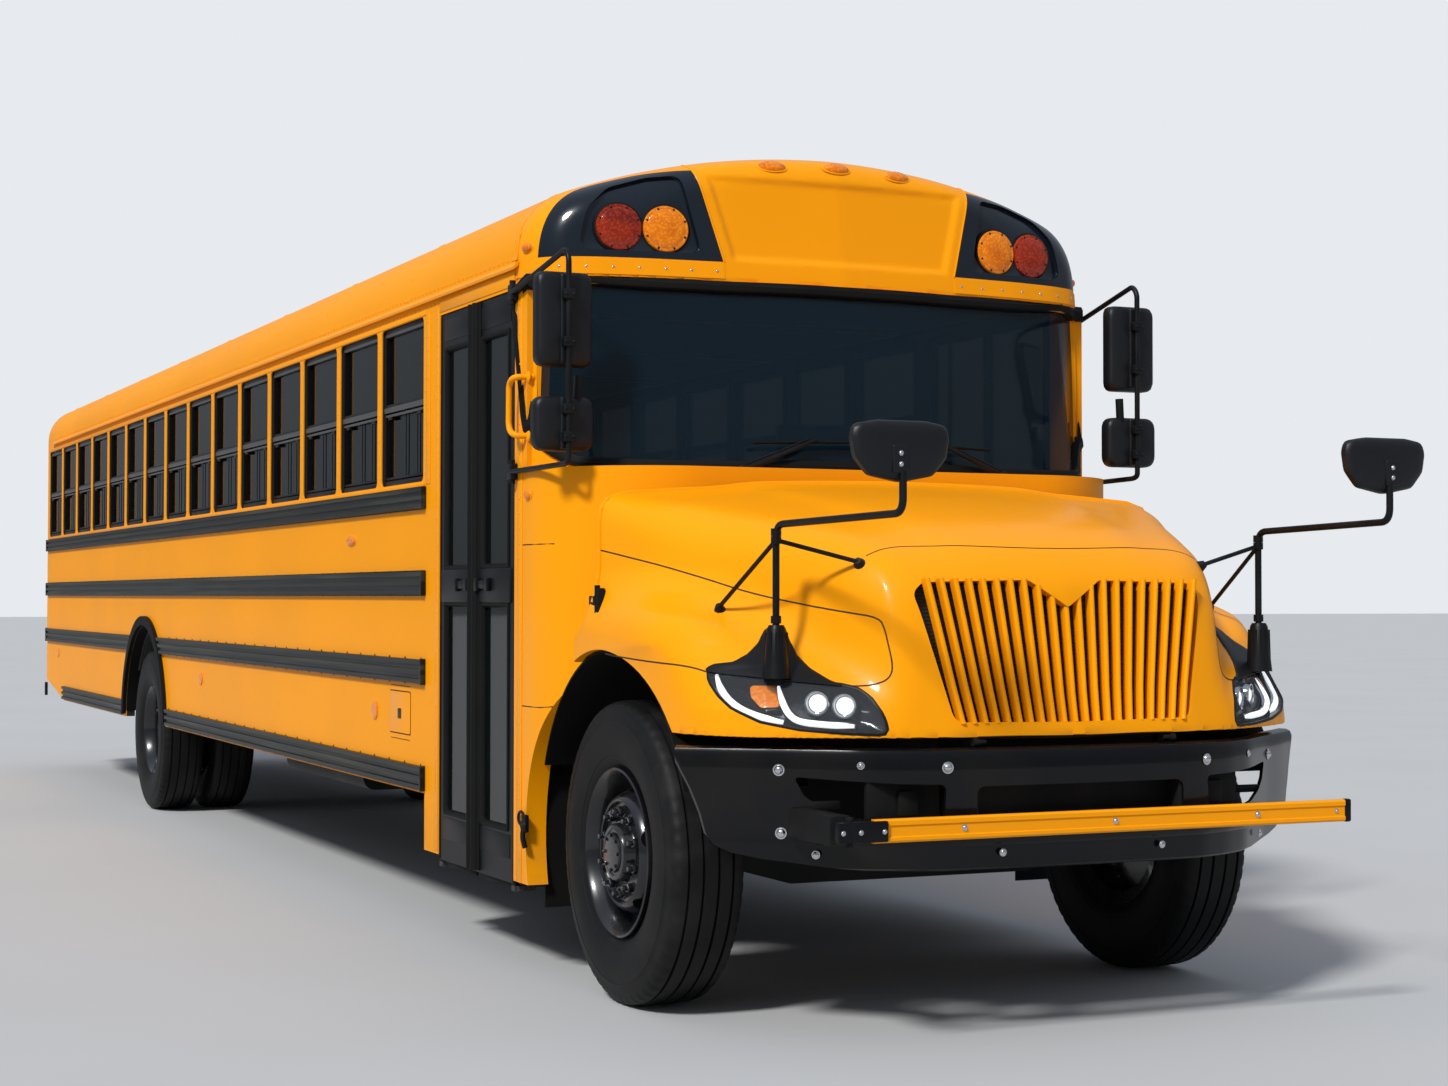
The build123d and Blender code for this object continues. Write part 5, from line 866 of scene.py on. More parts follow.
# %% Cut the openings
GRILLE_PLACE = seat((0, aft(-1.15), 1.008), (1, 0, 0), (0, sin(radians(7)), cos(radians(7))))
GRILLE_EDGE = [(-0.445, 0.008), (0.0, 0.0), (0.445, 0.008), (0.545, 0.425), (0.505, 0.458),
               (0.135, 0.462), (0.0, 0.372), (-0.135, 0.462), (-0.505, 0.458), (-0.545, 0.425)]
GRILLE_OUTLINE = rounded(GRILLE_EDGE, [0.045, 0, 0.045, 0.05, 0.03, 0.03, 0.015, 0.03, 0.03, 0.05],
                         5)
LAMP_EDGE = [(-0.294, 0.166), (-0.28, 0.128), (-0.24, 0.085), (-0.19, 0.049), (-0.088, 0.007),
             (0.039, -0.016), (0.194, -0.028), (0.316, -0.033), (0.29, 0.032), (0.25, 0.082),
             (0.205, 0.112), (0.145, 0.125), (0.018, 0.136), (-0.105, 0.149)]
LAMP_OUTLINE = rounded(LAMP_EDGE, 0.05, 3)


def lamp_place(side):
    turn = radians(40)
    right = Vector((-side * cos(turn), -sin(turn), 0))
    return Matrix.Translation((side * 0.93, aft(-0.93), 1.008)) @ Matrix(
        (right, Vector((0, 0, 1)), Vector((side * sin(turn), -cos(turn), 0)))).transposed().to_4x4()


def lamp_cutter(side):
    return prism(LAMP_OUTLINE, lamp_place(side), -0.3, 0.3)


ARCH_R = 0.7
hood_mesh = carve(
    hood_skin, hood_hollow,
    drum(ARCH_R, (-1.4, FRONT_AXLE, TYRE_R), (1.4, FRONT_AXLE, TYRE_R)),
    prism(GRILLE_OUTLINE, GRILLE_PLACE, -0.15, 0.2), lamp_cutter(-1), lamp_cutter(1),
)
smooth(hood_mesh, 38)
show("hood_shell", hood_mesh, yellow, "hood", "hood")
print("hood:", len(hood_mesh.polygons), "faces")

# %% [markdown]
# ## Seams laid on the skin
# Panel gaps, beads and gaskets follow the skin. Their points are pulled to the nearest place
# on it, and a thin closed strip is laid there: half in the skin, half out.

# %% Strips on a skin
class Skin:
    """Finds places on a mesh and lays strips along them."""

    def __init__(self, mesh):
        self.tree = BVHTree.FromPolygons([v.co for v in mesh.vertices],
                                         [list(f.vertices) for f in mesh.polygons])

    def nearest(self, point):
        place, normal, _, _ = self.tree.find_nearest(Vector(point))
        return place, normal

    def along(self, start, way):
        """The first place met from start in a direction."""
        place, normal, _, _ = self.tree.ray_cast(Vector(start), Vector(way).normalized())
        return place, normal

    def follow(self, points, gap=0.014, closed=False):
        """The points with more between them, all on the skin, each with its normal."""
        points = [Vector(p) for p in points]
        if closed:
            points.append(points[0])
        dense = []
        for a, b in zip(points, points[1:]):
            count = max(int((b - a).length / gap), 1)
            dense += [a.lerp(b, k / count) for k in range(count)]
        if not closed:
            dense.append(points[-1])
        return [self.nearest(p) for p in dense]

    def strip(self, shape, points, width=0.0045, lift=0.0007, depth=0.003, closed=False, crown=0.0):
        """A thin closed strip on the skin; a crown makes it a rounded bead."""
        spots = self.follow(points, closed=closed)
        rings = []
        count = len(spots)
        for k, (place, normal) in enumerate(spots):
            ahead = spots[(k + 1) % count if closed else min(k + 1, count - 1)][0]
            behind = spots[k - 1 if closed or k else 0][0]
            side = (ahead - behind).cross(normal).normalized() * width / 2
            rings.append([place - side - normal * depth, place - side + normal * lift,
                          place + normal * (lift + crown), place + side + normal * lift,
                          place + side - normal * depth])
        if closed:
            rings.append(rings[0])
        return shape.skin(rings, ends=not closed)


def mirrored(points):
    """The same points on the other side of the bus."""
    return [(-p[0], *p[1:]) for p in points]


def spun(points, rounds=2):
    """A smoother line through the same places."""
    for _ in range(rounds):
        line = [points[0]]
        for a, b in zip(points, points[1:]):
            a, b = Vector(a), Vector(b)
            line += [tuple(a.lerp(b, 0.25)), tuple(a.lerp(b, 0.75))]
        points = line + [points[-1]]
    return points


on_hood = Skin(hood_skin)
print("strip tools ready")

# %% [markdown]
# ## The hood's seams, bead and latches
# One seam parts the dome from the fenders and curls down beside the lamp, another crosses
# above the grille. A rolled bead edges the rear, and rubber latches hold the corners down.

# %% Hood seams and bead
SIDE_SEAM = [(-1.16, 0.15, 1.575), (-1.119, 0.018, 1.552), (-1.052, -0.181, 1.515),
             (-0.974, -0.368, 1.47), (-0.887, -0.544, 1.42), (-0.787, -0.722, 1.384),
             (-0.694, -0.894, 1.356), (-0.631, -0.986, 1.341), (-0.627, -1.01, 1.303),
             (-0.624, -1.025, 1.256), (-0.623, -1.043, 1.209), (-0.629, -1.054, 1.172),
             (-0.649, -1.05, 1.147), (-0.69, -1.022, 1.134), (-0.739, -0.98, 1.13),
             (-0.767, -0.952, 1.133)]
NOSE_SEAM = [(-0.631, -0.986, 1.341), (-0.628, -0.93, 1.43), (-0.621, -0.878, 1.519),
             (-0.58, -0.884, 1.539), (-0.51, -0.888, 1.559), (-0.351, -0.935, 1.566),
             (-0.182, -0.965, 1.567), (0, -0.979, 1.566), (0.182, -0.965, 1.567),
             (0.351, -0.935, 1.566), (0.51, -0.888, 1.559), (0.58, -0.884, 1.539),
             (0.621, -0.878, 1.519), (0.628, -0.93, 1.43), (0.631, -0.986, 1.341)]
LOW_CREASE = [(-1.185, -0.05, 1.212), (-1.18, -0.137, 1.209), (-1.17, -0.462, 1.19),
              (-1.127, -0.69, 1.183)]


def placed(points):
    return [(x, aft(back), z) for x, back, z in points]


seams = Shape()
for line in (SIDE_SEAM, LOW_CREASE):
    smooth_line = spun(placed(line))
    on_hood.strip(seams, smooth_line, 0.005)
    on_hood.strip(seams, mirrored(smooth_line), 0.005)
on_hood.strip(seams, spun(placed(NOSE_SEAM[2:-2])), 0.004)
show("hood_seams", seams, seam_dark, "hood")

bead = Shape()
rim = []
for k in range(61):
    turn = radians(-88 + 176 * k / 60)
    spot, _ = on_hood.along((0, aft(0.128), 1.36), (1.55 * sin(turn), 0, cos(turn)))
    rim.append(spot)
bead.bar(rim, 0.0085, 8)
show("hood_bead", bead, yellow, "hood")

latches = Shape()
for side in (-1, 1):
    spot, normal = on_hood.nearest((side * 1.177, aft(0.087), 1.395))
    latches.brick(spot + Vector((-0.014, -0.03, -0.045)), spot + Vector((0.014, 0.012, 0.045)),
                  0.006)
    latches.bar([spot + Vector((side * 0.006, 0.0, z)) for z in (-0.052, 0.055)], 0.01, 10)
    latches.brick(spot + Vector((-0.01, 0.0, -0.018)), spot + Vector((0.01, 0.075, 0.018)), 0.005)
show("hood_latches", latches, rubber, "hood")
print("seams:", len(seams.faces), "bead and latches laid")

# %% [markdown]
# ## Grille
# Twenty-one upright blades with rounded noses fan out a little towards the top. They end in
# the opening's own outline, so each blade's top is worked out from the notch's two lines.

# %% Grille blades
BLADES, BLADE_HALF, BLADE_DEEP = 21, 0.009, 0.04
FAN_LOW, FAN_HIGH = 0.416, 0.508
GRILLE_TOP, NOTCH_TOP, NOTCH_HALF = 0.462, 0.372, 0.135


def blade_top(x):
    return GRILLE_TOP - max(0.0, 1 - abs(x) / NOTCH_HALF) * (GRILLE_TOP - NOTCH_TOP)


nose = [(-BLADE_HALF * cos(a), -BLADE_HALF * (1 - sin(a))) for a in (pi * j / 8 for j in range(9))]
blade_section = [(-BLADE_HALF * 0.55, -BLADE_DEEP)] + nose + [(BLADE_HALF * 0.55, -BLADE_DEEP)]
blades = Shape()
for k in range(BLADES):
    share = 2 * k / (BLADES - 1) - 1
    rings = []
    for level, recess in ((0.004, -0.008), (0.03, -0.01), (0.25, -0.016), (1.0, -0.02)):
        v = level * (blade_top(share * FAN_HIGH) + 0.004)
        x = share * (FAN_LOW + (FAN_HIGH - FAN_LOW) * v / GRILLE_TOP)
        rings.append([GRILLE_PLACE @ Vector((x + px, v, recess + depth))
                      for px, depth in blade_section])
    blades.skin(rings)
show("grille_blades", blades, yellow, "hood", "grille", angle=50)

core = Finish("radiator_core", (0.006, 0.006, 0.006), 0.7)
_, _, core_z = core.xyz()
core.put("Base Color",
         core.blend(core_z.wave(0.012).step(0.3, 0.8), (0.003, 0.003, 0.003),
                    (0.012, 0.012, 0.012)))
core.bump(core_z.wave(0.012), 0.004, 0.6)
backing = Shape()
backing.plate(inward(GRILLE_OUTLINE, -0.045), GRILLE_PLACE, -0.115, -0.105)
show("grille_backing", backing, core, "hood")
print("blades:", BLADES)

# %% [markdown]
# ## Headlights
# Each headlight is a dark bowl behind the skin with light bars, an amber cell and two
# projector lenses, closed by a clear cover that carries on the skin's own curve. A black
# pod over it carries the mirror's post.

# %% Patches that follow the skin across a front corner
def corner_depth(side, u, v):
    """How far the skin stands out of the lamp's plane."""
    place = lamp_place(side)
    start = place @ Vector((u, v, 0.5))
    spot, _ = on_hood.along(start, (place @ Vector((u, v, 0)) - start))
    return (place.inverted() @ spot).z if spot else 0.0


def patch(shape, spot, edge, centre, front, back):
    """A closed patch over an outline; front and back list (share of the way out, depth)."""
    middle = Vector(centre)
    return shape.skin([[spot(*middle.lerp(Vector(p), share), depth) for p in edge]
                       for share, depth in [*back, *front]])


print("patch tools ready")

# %% Headlight outlines
LAMP_MIDDLE = (0.0, 0.062)
MIRROR_POST_X = 0.935
POD_EDGE = [(-0.3, 0.16), (-0.298, 0.172), (-0.271, 0.185), (-0.207, 0.192), (-0.168, 0.217),
            (-0.146, 0.251), (-0.139, 0.292), (-0.123, 0.305), (-0.067, 0.298), (-0.046, 0.26),
            (-0.011, 0.213), (0.04, 0.173), (0.112, 0.136), (0.162, 0.121), (0.145, 0.118),
            (0.018, 0.129), (-0.105, 0.142)]
BAR_LINE = [(-0.262, 0.148), (-0.245, 0.108), (-0.208, 0.07), (-0.156, 0.04), (-0.089, 0.018),
            (-0.02, 0.004)]
LONG_LINE = [(-0.05, 0.114), (-0.03, 0.068), (0.002, 0.022), (0.035, 0.006), (0.1, -0.001),
             (0.2, -0.006)]
AMBER_EDGE = [(-0.15, 0.118), (-0.066, 0.117), (-0.034, 0.05), (-0.1, 0.048), (-0.138, 0.08)]
PROJECTORS = ((0.078, 0.064), (0.163, 0.056))

def at_corner(side, u, v, depth):
    return lamp_place(side) @ Vector((u, v, corner_depth(side, u, v) + depth))


def resample(points, count, closed=False):
    """Evenly spaced points along a line."""
    points = [Vector(p) for p in points]
    if closed:
        points.append(points[0])
    lengths = [0.0]
    for a, b in zip(points, points[1:]):
        lengths.append(lengths[-1] + (b - a).length)
    stops = np.linspace(0, lengths[-1], count + 1 if closed else count)
    axes = [np.interp(stops, lengths, [p[k] for p in points]) for k in range(len(points[0]))]
    line = [tuple(p) for p in zip(*axes)]
    return line[:-1] if closed else line


print("bars per lamp:", len((BAR_LINE, LONG_LINE)), "projectors:", len(PROJECTORS))

# %% Build both headlights
bowl, bars, cells, trims, covers, pods, glow = (Shape() for _ in range(7))
lamp_edge = resample(LAMP_OUTLINE, 72, True)
for side in (-1, 1):
    here_at = partial(at_corner, side)
    patch(bowl, here_at, lamp_edge, LAMP_MIDDLE,
          [(1.0, -0.004), (0.985, -0.02), (0.94, -0.055), (0.8, -0.078), (0.4, -0.085),
           (0.03, -0.085)],
          [(0.03, -0.095), (0.4, -0.095), (0.8, -0.09), (1.005, -0.06), (1.03, -0.012)])
    patch(covers, here_at, lamp_edge, LAMP_MIDDLE,
          [(0.99, -0.001), (0.96, 0.0005), (0.7, 0.0005), (0.4, 0.0005), (0.03, 0.0005)],
          [(0.03, -0.004), (0.4, -0.004), (0.7, -0.004), (0.96, -0.004), (0.99, -0.003)])
    for line, thick in ((BAR_LINE, 0.0115), (LONG_LINE, 0.0105)):
        path = [at_corner(side, u, v, -0.026) for u, v in resample(spun(line), 24)]
        bars.bar(path, [thick * (0.55 + 0.45 * min(1, 6 * k / 23, 6 * (23 - k) / 23))
                        for k in range(24)], 12)
        under = [at_corner(side, u, v - 0.004, -0.04) for u, v in resample(spun(line), 24)]
        trims.bar(under, thick * 1.45, 12)
    patch(cells, here_at, resample(rounded(AMBER_EDGE, 0.012, 4), 40, True), (-0.095, 0.085),
          [(1.0, -0.046), (0.96, -0.04), (0.5, -0.038), (0.03, -0.038)],
          [(0.03, -0.06), (1.0, -0.06)])
    for u, v in PROJECTORS:
        here = lamp_place(side) @ Matrix.Translation((u, v, corner_depth(side, u, v) - 0.03))
        trims.turned([(0.026, -0.05), (0.04, -0.05), (0.041, -0.006), (0.039, 0.0), (0.034, -0.001),
                         (0.031, -0.012), (0.026, -0.014)], here, 36)
        trims.turned([(0.0005, -0.045), (0.03, -0.045), (0.0295, -0.02), (0.0005, -0.02)], here, 24)
        bulb = [(0.03 * sin(a), -0.02 + 0.02 * cos(a))
                for a in (pi / 2 * j / 8 for j in range(8, -1, -1))]
        glow.turned([(0.0005, -0.03)] + bulb, here, 32)
    patch(pods, here_at, resample(rounded(POD_EDGE, 0.018, 3), 90, True), (-0.085, 0.175),
          [(1.0, 0.001), (0.985, 0.006), (0.94, 0.0085), (0.6, 0.009), (0.3, 0.009), (0.03, 0.009)],
          [(0.03, -0.006), (0.6, -0.006), (1.0, -0.004)])
    gasket = [lamp_place(side) @ Vector((u, v, corner_depth(side, u, v))) for u, v in lamp_edge]
    on_hood.strip(pods, gasket, 0.009, 0.0012, 0.006, closed=True, crown=0.001)
    post_x, post_y = side * MIRROR_POST_X, aft(-0.852)
    pods.bar([(post_x, post_y, z) for z in (1.15, 1.215, 1.305, 1.318)],
             (0.046, 0.038, 0.031, 0.024), 20)
    for turn in (-60, -20, 20, 60, 110, 150, 200, 240):
        rib = Vector((sin(radians(turn)), -cos(radians(turn)), 0))
        foot = Vector((post_x, post_y, 0)) + rib * 0.034
        pods.bar([foot + Vector((0, 0, 1.19)), foot + Vector((0, 0, 1.295)) - rib * 0.003], 0.007,
                 8)
show("lamp_bowls", bowl, lamp_black, "hood", "headlights")
show("lamp_bars", bars, led_white, "hood")
show("lamp_trims", trims, chrome, "hood")
show("lamp_projectors", glow, led_white, "hood")
show("lamp_signals", cells, amber_lens, "hood")
show("lamp_covers", covers, clear_cover, "hood")
show("lamp_pods", pods, satin_black, "hood")
print("two headlights built")

# %% [markdown]
# ## Front bumper and crossing gate
# The bumper is one pressed strip: a section swept round a curved plan, trimmed at its ends
# and pierced. Dome-headed bolts sit on its face, square to it.

# %% Bumper
BUMPER_PLAN = [(0, -1.184), (0.25, -1.18), (0.489, -1.161), (0.62, -1.115), (0.74, -1.052),
               (0.94, -0.889), (1.09, -0.775), (1.211, -0.678)]
bumper_line = curve(BUMPER_PLAN, 0.02)


def on_bumper(x, z, out=0.0):
    """A seat on the bumper's face, its depth axis square to the face."""
    side = 1 if x >= 0 else -1
    across = abs(x)
    slope = (float(bumper_line(across + 0.01)) - float(bumper_line(across - 0.01))) / 0.02
    right = Vector((1, side * slope, 0)).normalized()
    outward = Vector((right.y, -right.x, 0))
    return seat(Vector((x, aft(float(bumper_line(across))), z)) + outward * out, right, (0, 0, 1))


print("bumper is", round(2 * BUMPER_PLAN[-1][0], 2), "m wide")

# %% Press and pierce the strip
SECTION = [(-0.062, 0.918), (-0.06, 0.93), (-0.045, 0.935), (-0.02, 0.934), (-0.006, 0.927),
           (0.0, 0.912), (0.0, 0.86), (0.002, 0.76), (0.0, 0.66), (-0.002, 0.64), (-0.012, 0.628),
           (-0.013, 0.575), (-0.016, 0.558), (-0.028, 0.55), (-0.055, 0.55), (-0.057, 0.556),
           (-0.03, 0.562), (-0.024, 0.575), (-0.022, 0.634), (-0.012, 0.65), (-0.012, 0.9),
           (-0.022, 0.922), (-0.05, 0.922)]
stops = [1.2109 * k / 44 for k in range(-44, 45)]
strip = Shape()
strip.skin([[on_bumper(x, 0) @ Vector((0, z, depth - 0.001)) for depth, z in SECTION]
            for x in stops])
ENDS = [(1.228, 0.99), (1.211, 0.9), (1.169, 0.8), (1.143, 0.72), (1.13, 0.66), (1.104, 0.622),
        (1.058, 0.598), (0.985, 0.582), (0.8, 0.558), (0.6, 0.54)]
facing = facing_front((0, aft(-1.3), 0))
whole = prism([(-x, z) for x, z in ENDS] + ENDS[::-1], facing, -0.9, 0.3)
SWOOSH = [(-0.905, 0.842), (-0.88, 0.784), (-0.839, 0.748), (-0.763, 0.719), (-0.65, 0.704),
          (-0.5, 0.704), (-0.492, 0.822), (-0.621, 0.824), (-0.801, 0.834)]
swoosh = rounded(SWOOSH, [0.01, 0.03, 0.05, 0.05, 0.05, 0.02, 0.02, 0.1, 0.1], 4)
middle = box_outline(0.78, 0.115, 0.035, 6, (0, 0.757))
bumper_mesh = carve(strip.mesh("bumper"), whole, keep="INTERSECT")
bumper_mesh = carve(bumper_mesh, prism(swoosh, facing, -0.9, 0.3),
                    prism([(-x, z) for x, z in swoosh], facing, -0.9, 0.3),
                    prism(middle, facing, -0.9, 0.3))
smooth(bumper_mesh, 35)
show("bumper_strip", bumper_mesh, gloss_black, "root", "front_bumper")
print("strip pressed and pierced")

# %% Brackets and bolts
BRACKETS = ((0.395, 0.0175, 0.0175, -1.16, -1.0, 0.67, 0.84, 0.004),
            (0.62, 0.1, 0.06, -1.06, -1.035, 0.7, 0.83, 0.004),
            (0.58, 0.035, 0.035, -1.075, -1.055, 0.72, 0.8, 0.006),
            (0.81, 0.06, 0.05, -0.955, -0.93, 0.74, 0.765, 0.004))
inner = Shape()
for side in (-1, 1):
    for x, less, more, front, rear, low, high, edge in BRACKETS:
        inner.brick((side * x - less, aft(front), low), (side * x + more, aft(rear), high), edge)
inner.brick((-0.4, aft(-1.1), 0.66), (0.4, aft(-1.085), 0.9), 0.002)
inner.brick((-0.93, aft(-1.215), 0.655), (-0.86, aft(-0.93), 0.745), 0.004)
inner.bar([(-0.895, aft(-1.275), 0.655), (-0.895, aft(-1.275), 0.745)], 0.012, 16)
show("bumper_brackets", inner, chassis)

BOLTS = ((0.943, 0.863, 0.014), (0.937, 0.665, 0.014), (0.738, 0.881, 0.009), (0.489, 0.875, 0.014),
         (0.85, 0.6, 0.01), (0.3, 0.605, 0.009))
DOME = [(1.35, 0.0), (1.35, 0.12), (1.05, 0.14), (0.98, 0.35), (0.75, 0.62), (0.42, 0.78),
        (0.02, 0.82)]


def domed(shape, size, place, sides, foot=()):
    """A bolt or rivet head of this size on a place."""
    return shape.turned([*foot, *((r * size, d * size) for r, d in DOME)], place, sides)


bolts = Shape()
for x, z, size in BOLTS:
    for side in (-1, 1):
        domed(bolts, size, on_bumper(side * x, z, 0.0005), 20, [(0.02 * size, -0.2 * size)])
show("bumper_bolts", bolts, bright_metal, angle=60)
print("bumper:", len(bumper_mesh.polygons), "faces")

# %% Crossing gate
GATE_Y, GATE_LOW, GATE_HIGH = aft(-1.275), 0.662, 0.738
gate_middle = (GATE_LOW + GATE_HIGH) / 2
GATE_SECTION = [(-0.01, -0.036), (0.006, -0.036), (0.011, -0.03), (0.011, -0.02), (0.007, -0.017),
                (0.007, 0.014), (0.011, 0.017), (0.011, 0.03), (0.006, 0.036), (-0.01, 0.036)]
gate = Shape()
gate.skin([[(x, GATE_Y - out, gate_middle + up) for out, up in GATE_SECTION]
           for x in (-0.815, 0.955)])
show("gate_bar", gate, yellow, "crossing_gate", "crossing_gate")
hinge = Shape()
hinge.brick((-0.94, GATE_Y - 0.02, 0.668), (-0.77, GATE_Y + 0.012, 0.732), 0.005)
hinge.bar([(-0.895, GATE_Y, 0.672), (-0.895, GATE_Y, 0.728)], 0.022, 20)
hinge.brick((0.955, GATE_Y - 0.013, gate_middle - 0.038),
            (0.979, GATE_Y + 0.012, gate_middle + 0.038), 0.006)
show("gate_ends", hinge, satin_black, "crossing_gate")
studs = Shape()
for x, size in ((-0.925, 0.006), (-0.865, 0.006), (-0.785, 0.006), (-0.5, 0.008), (0.05, 0.008),
                (0.6, 0.008), (0.92, 0.006)):
    deep = 0.02 if x < -0.77 else 0.008
    domed(studs, size, facing_front((x, GATE_Y - deep, gate_middle)), 14)
show("gate_rivets", studs, bright_metal, "crossing_gate", angle=60)
print("gate built")

# %% [markdown]
# ## Crossover mirrors
# A bent tube on each fender carries a wide oval mirror ahead of the hood. Two thin braces
# steady it. The shell is moulded: flat on top, round below, its back crowned.

# %% Mirrors on the fenders
HEAD = [(-0.15, 0.066), (-0.16, 0.03), (-0.15, -0.03), (-0.105, -0.082), (0.0, -0.102),
        (0.105, -0.082), (0.15, -0.03), (0.16, 0.03), (0.15, 0.066), (0.08, 0.078), (-0.08, 0.078)]
head_edge = resample(rounded(HEAD, 0.03, 4), 60, True)
tubes, shells, reflector, screws = Shape(), Shape(), Shape(), Shape()
for side in (-1, 1):
    post = Vector((side * MIRROR_POST_X, aft(-0.85), 0))
    elbow, tip = post + Vector((0, 0, 1.636)), Vector((side * 0.886, aft(-1.594), 1.65))
    neck = tip + Vector((0, 0, 0.12))
    tubes.bar(bend([post + Vector((0, 0, 1.3)), elbow, tip, neck], 0.045, 7), 0.0115, 12)
    for z in (1.335, 1.587, 1.612):
        tubes.bar([post + Vector((0, 0, z - 0.012)), post + Vector((0, 0, z + 0.012))], 0.017, 14)
    for foot in ((-0.641, -0.875, 1.5), (-0.974, -0.505, 1.364)):
        spot, normal = on_hood.nearest((foot[0] * -side, aft(foot[1]), foot[2]))
        tubes.bar([post + Vector((0, 0, 1.587)), spot + normal * 0.012], 0.0075, 10)
        tubes.bar([spot - normal * 0.004, spot + normal * 0.02], (0.022, 0.012), 12)
    centre = Vector((side * 0.883, aft(-1.575), 1.841))
    back = facing_front(centre)
    levels = [(0.0, -0.02), (0.0, 0.002), (0.004, 0.009), (0.012, 0.014), (0.03, 0.019),
              (0.06, 0.0225)]
    shells.layers(back, [(scaled(head_edge, 1 - inset / 0.11), depth) for inset, depth in levels]
                  + [(scaled(head_edge, 0.04), 0.0235)], True)
    shells.plate(box_outline(0.052, 0.082, 0.006, 3, (side * 0.012, -0.035)), back, 0.01, 0.026,
                 0.003)
    for low in (-0.018, -0.05):
        domed(screws, 0.006, back @ Matrix.Translation((side * 0.012, low, 0.0255)), 12)
    bulge = [(scaled(head_edge, share), -0.0205 - 0.016 * (1 - share * share))
             for share in (0.93, 0.7, 0.4, 0.03)]
    reflector.layers(back, [(bulge[0][0], bulge[0][1] + 0.012)] + bulge, True)
show("cross_tubes", tubes, satin_black, "hood", "crossover_mirrors")
show("cross_shells", shells, grained, "hood")
show("cross_glass", reflector, mirror_face, "hood")
show("cross_screws", screws, bright_metal, "hood")
print("crossover mirrors built")

# %% [markdown]
# ## Front cap
# The cap over the windshield is a field again: the roof's own section meets a front that
# sweeps back at the corners. Two glossy black pods wrap the corners; they are the same
# skin, told apart by place in the finish, with a slim edge laid on.

# %% Cap field
CROWN_Z, CROWN_R, CROWN_TURN = -0.0444, 3.1644, radians(19.14)
CAP_LOW, CAP_REAR = 2.6, 0.836
cap_plan = curve([(0, 0), (0.5, 0.02), (0.8, 0.05), (1.0, 0.09), (1.12, 0.14), (1.2, 0.19),
                  (1.24, 0.27)], 0.03)
SIGN_EDGE = ((0.456, 2.69), (0.543, 3.0))


def roof_section(side, z):
    """Distance outside the roof's cross section: a crown, corner arcs and upright sides."""
    crown = np.sqrt(side ** 2 + (z - CROWN_Z) ** 2) - CROWN_R
    corner = np.sqrt((side - CORNER_X) ** 2 + (z - CORNER_Z) ** 2) - CORNER_R
    turned = np.arctan2(side, z - CROWN_Z) > CROWN_TURN
    return np.where(z <= CORNER_Z, side - BODY_HALF, np.where(turned, corner, crown))


def cap_field(x, y, z, inset=0.0):
    side, back = np.abs(x), y - FRONT_AXLE
    past = 0.02 if inset else 0.0
    (low_x, low_z), (high_x, high_z) = SIGN_EDGE
    lean = (high_x - low_x) / (high_z - low_z)
    sign = np.minimum(low_x + lean * (z - low_z) - side, np.minimum(high_z - z, z - low_z))
    sunk = 0.012 * np.clip(sign / 0.022 + 0.5, 0, 1)
    front = (0.482 + cap_plan(side) + 0.12 * (z - 2.618) + sunk - back) * 0.85
    joined = soft_most(roof_section(side, z), front, 0.13) + inset
    joined = soft_most(joined, back - CAP_REAR - past, 0.004)
    return soft_most(joined, CAP_LOW - past - z, 0.004)


CAP_BOX = ((-1.25, aft(0.44), 2.56), (1.25, aft(0.88), 3.16))
cap_skin = net(cap_field, *CAP_BOX, 0.011, "cap_skin")
cap_hollow = net(lambda x, y, z: cap_field(x, y, z, 0.045), *CAP_BOX, 0.03, "cap_hollow")
on_cap = Skin(cap_skin)
print("cap net:", len(cap_skin.polygons), "faces")


# %% Lamp recesses
def on_front(x, z, depth=0.0):
    """A place on the cap's front, moved out by depth."""
    spot, _ = on_cap.along((x, aft(-0.5), z), (0, 1, 0))
    return spot + Vector((0, -depth, 0))


def facing_out(spot, normal, lift=0.0):
    """A seat on a skin, its depth axis along the normal."""
    right = Vector((0, 0, 1)).cross(normal).normalized()
    return seat(spot + normal * lift, right, normal.cross(right))


PANEL_EDGE = [(0.585, 2.7), (1.06, 2.7), (1.02, 2.86), (0.93, 2.945), (0.78, 2.99), (0.655, 3.005)]
panel = resample(rounded(PANEL_EDGE, [0.03, 0.05, 0.12, 0.1, 0.1, 0.04], 5), 70, True)
recesses = []
for side in (-1, 1):
    cutter = patch(Shape(), lambda u, v, d, side=side: on_front(side * u, v, d), panel,
                   (0.83, 2.82),
                   [(1.0, 0.08), (0.5, 0.08), (0.03, 0.08)],
                   [(0.03, -0.022), (0.5, -0.022), (0.93, -0.022), (0.975, -0.019), (0.99, -0.012)])
    recesses.append(cutter.mesh("cutter"))
cap_mesh = carve(cap_skin, cap_hollow, *recesses)
smooth(cap_mesh, 32)
print("recesses:", len(recesses))

# %% Black pods and yellow trims
POD_LOW, POD_INNER, POD_LEAN, BAND_Z = 2.673, 0.499, 0.278, 2.636


def pod_mask(x, y, z):
    """1 on the black pods: outside a leaning line, above the strip, ahead of the rear seam."""
    side = abs(x)
    inner = side > (z - POD_LOW) * POD_LEAN + POD_INNER
    ahead = ((side - 0.607) * 0.25 + aft(0.6)).least(aft(0.7)) > y
    return inner * (z > POD_LOW) * ahead


cap_finish = enamel("cap_enamel", pod_mask, (0.006, 0.01, 0.016), True)
show("cap_shell", cap_mesh, cap_finish, "root", "front_cap")

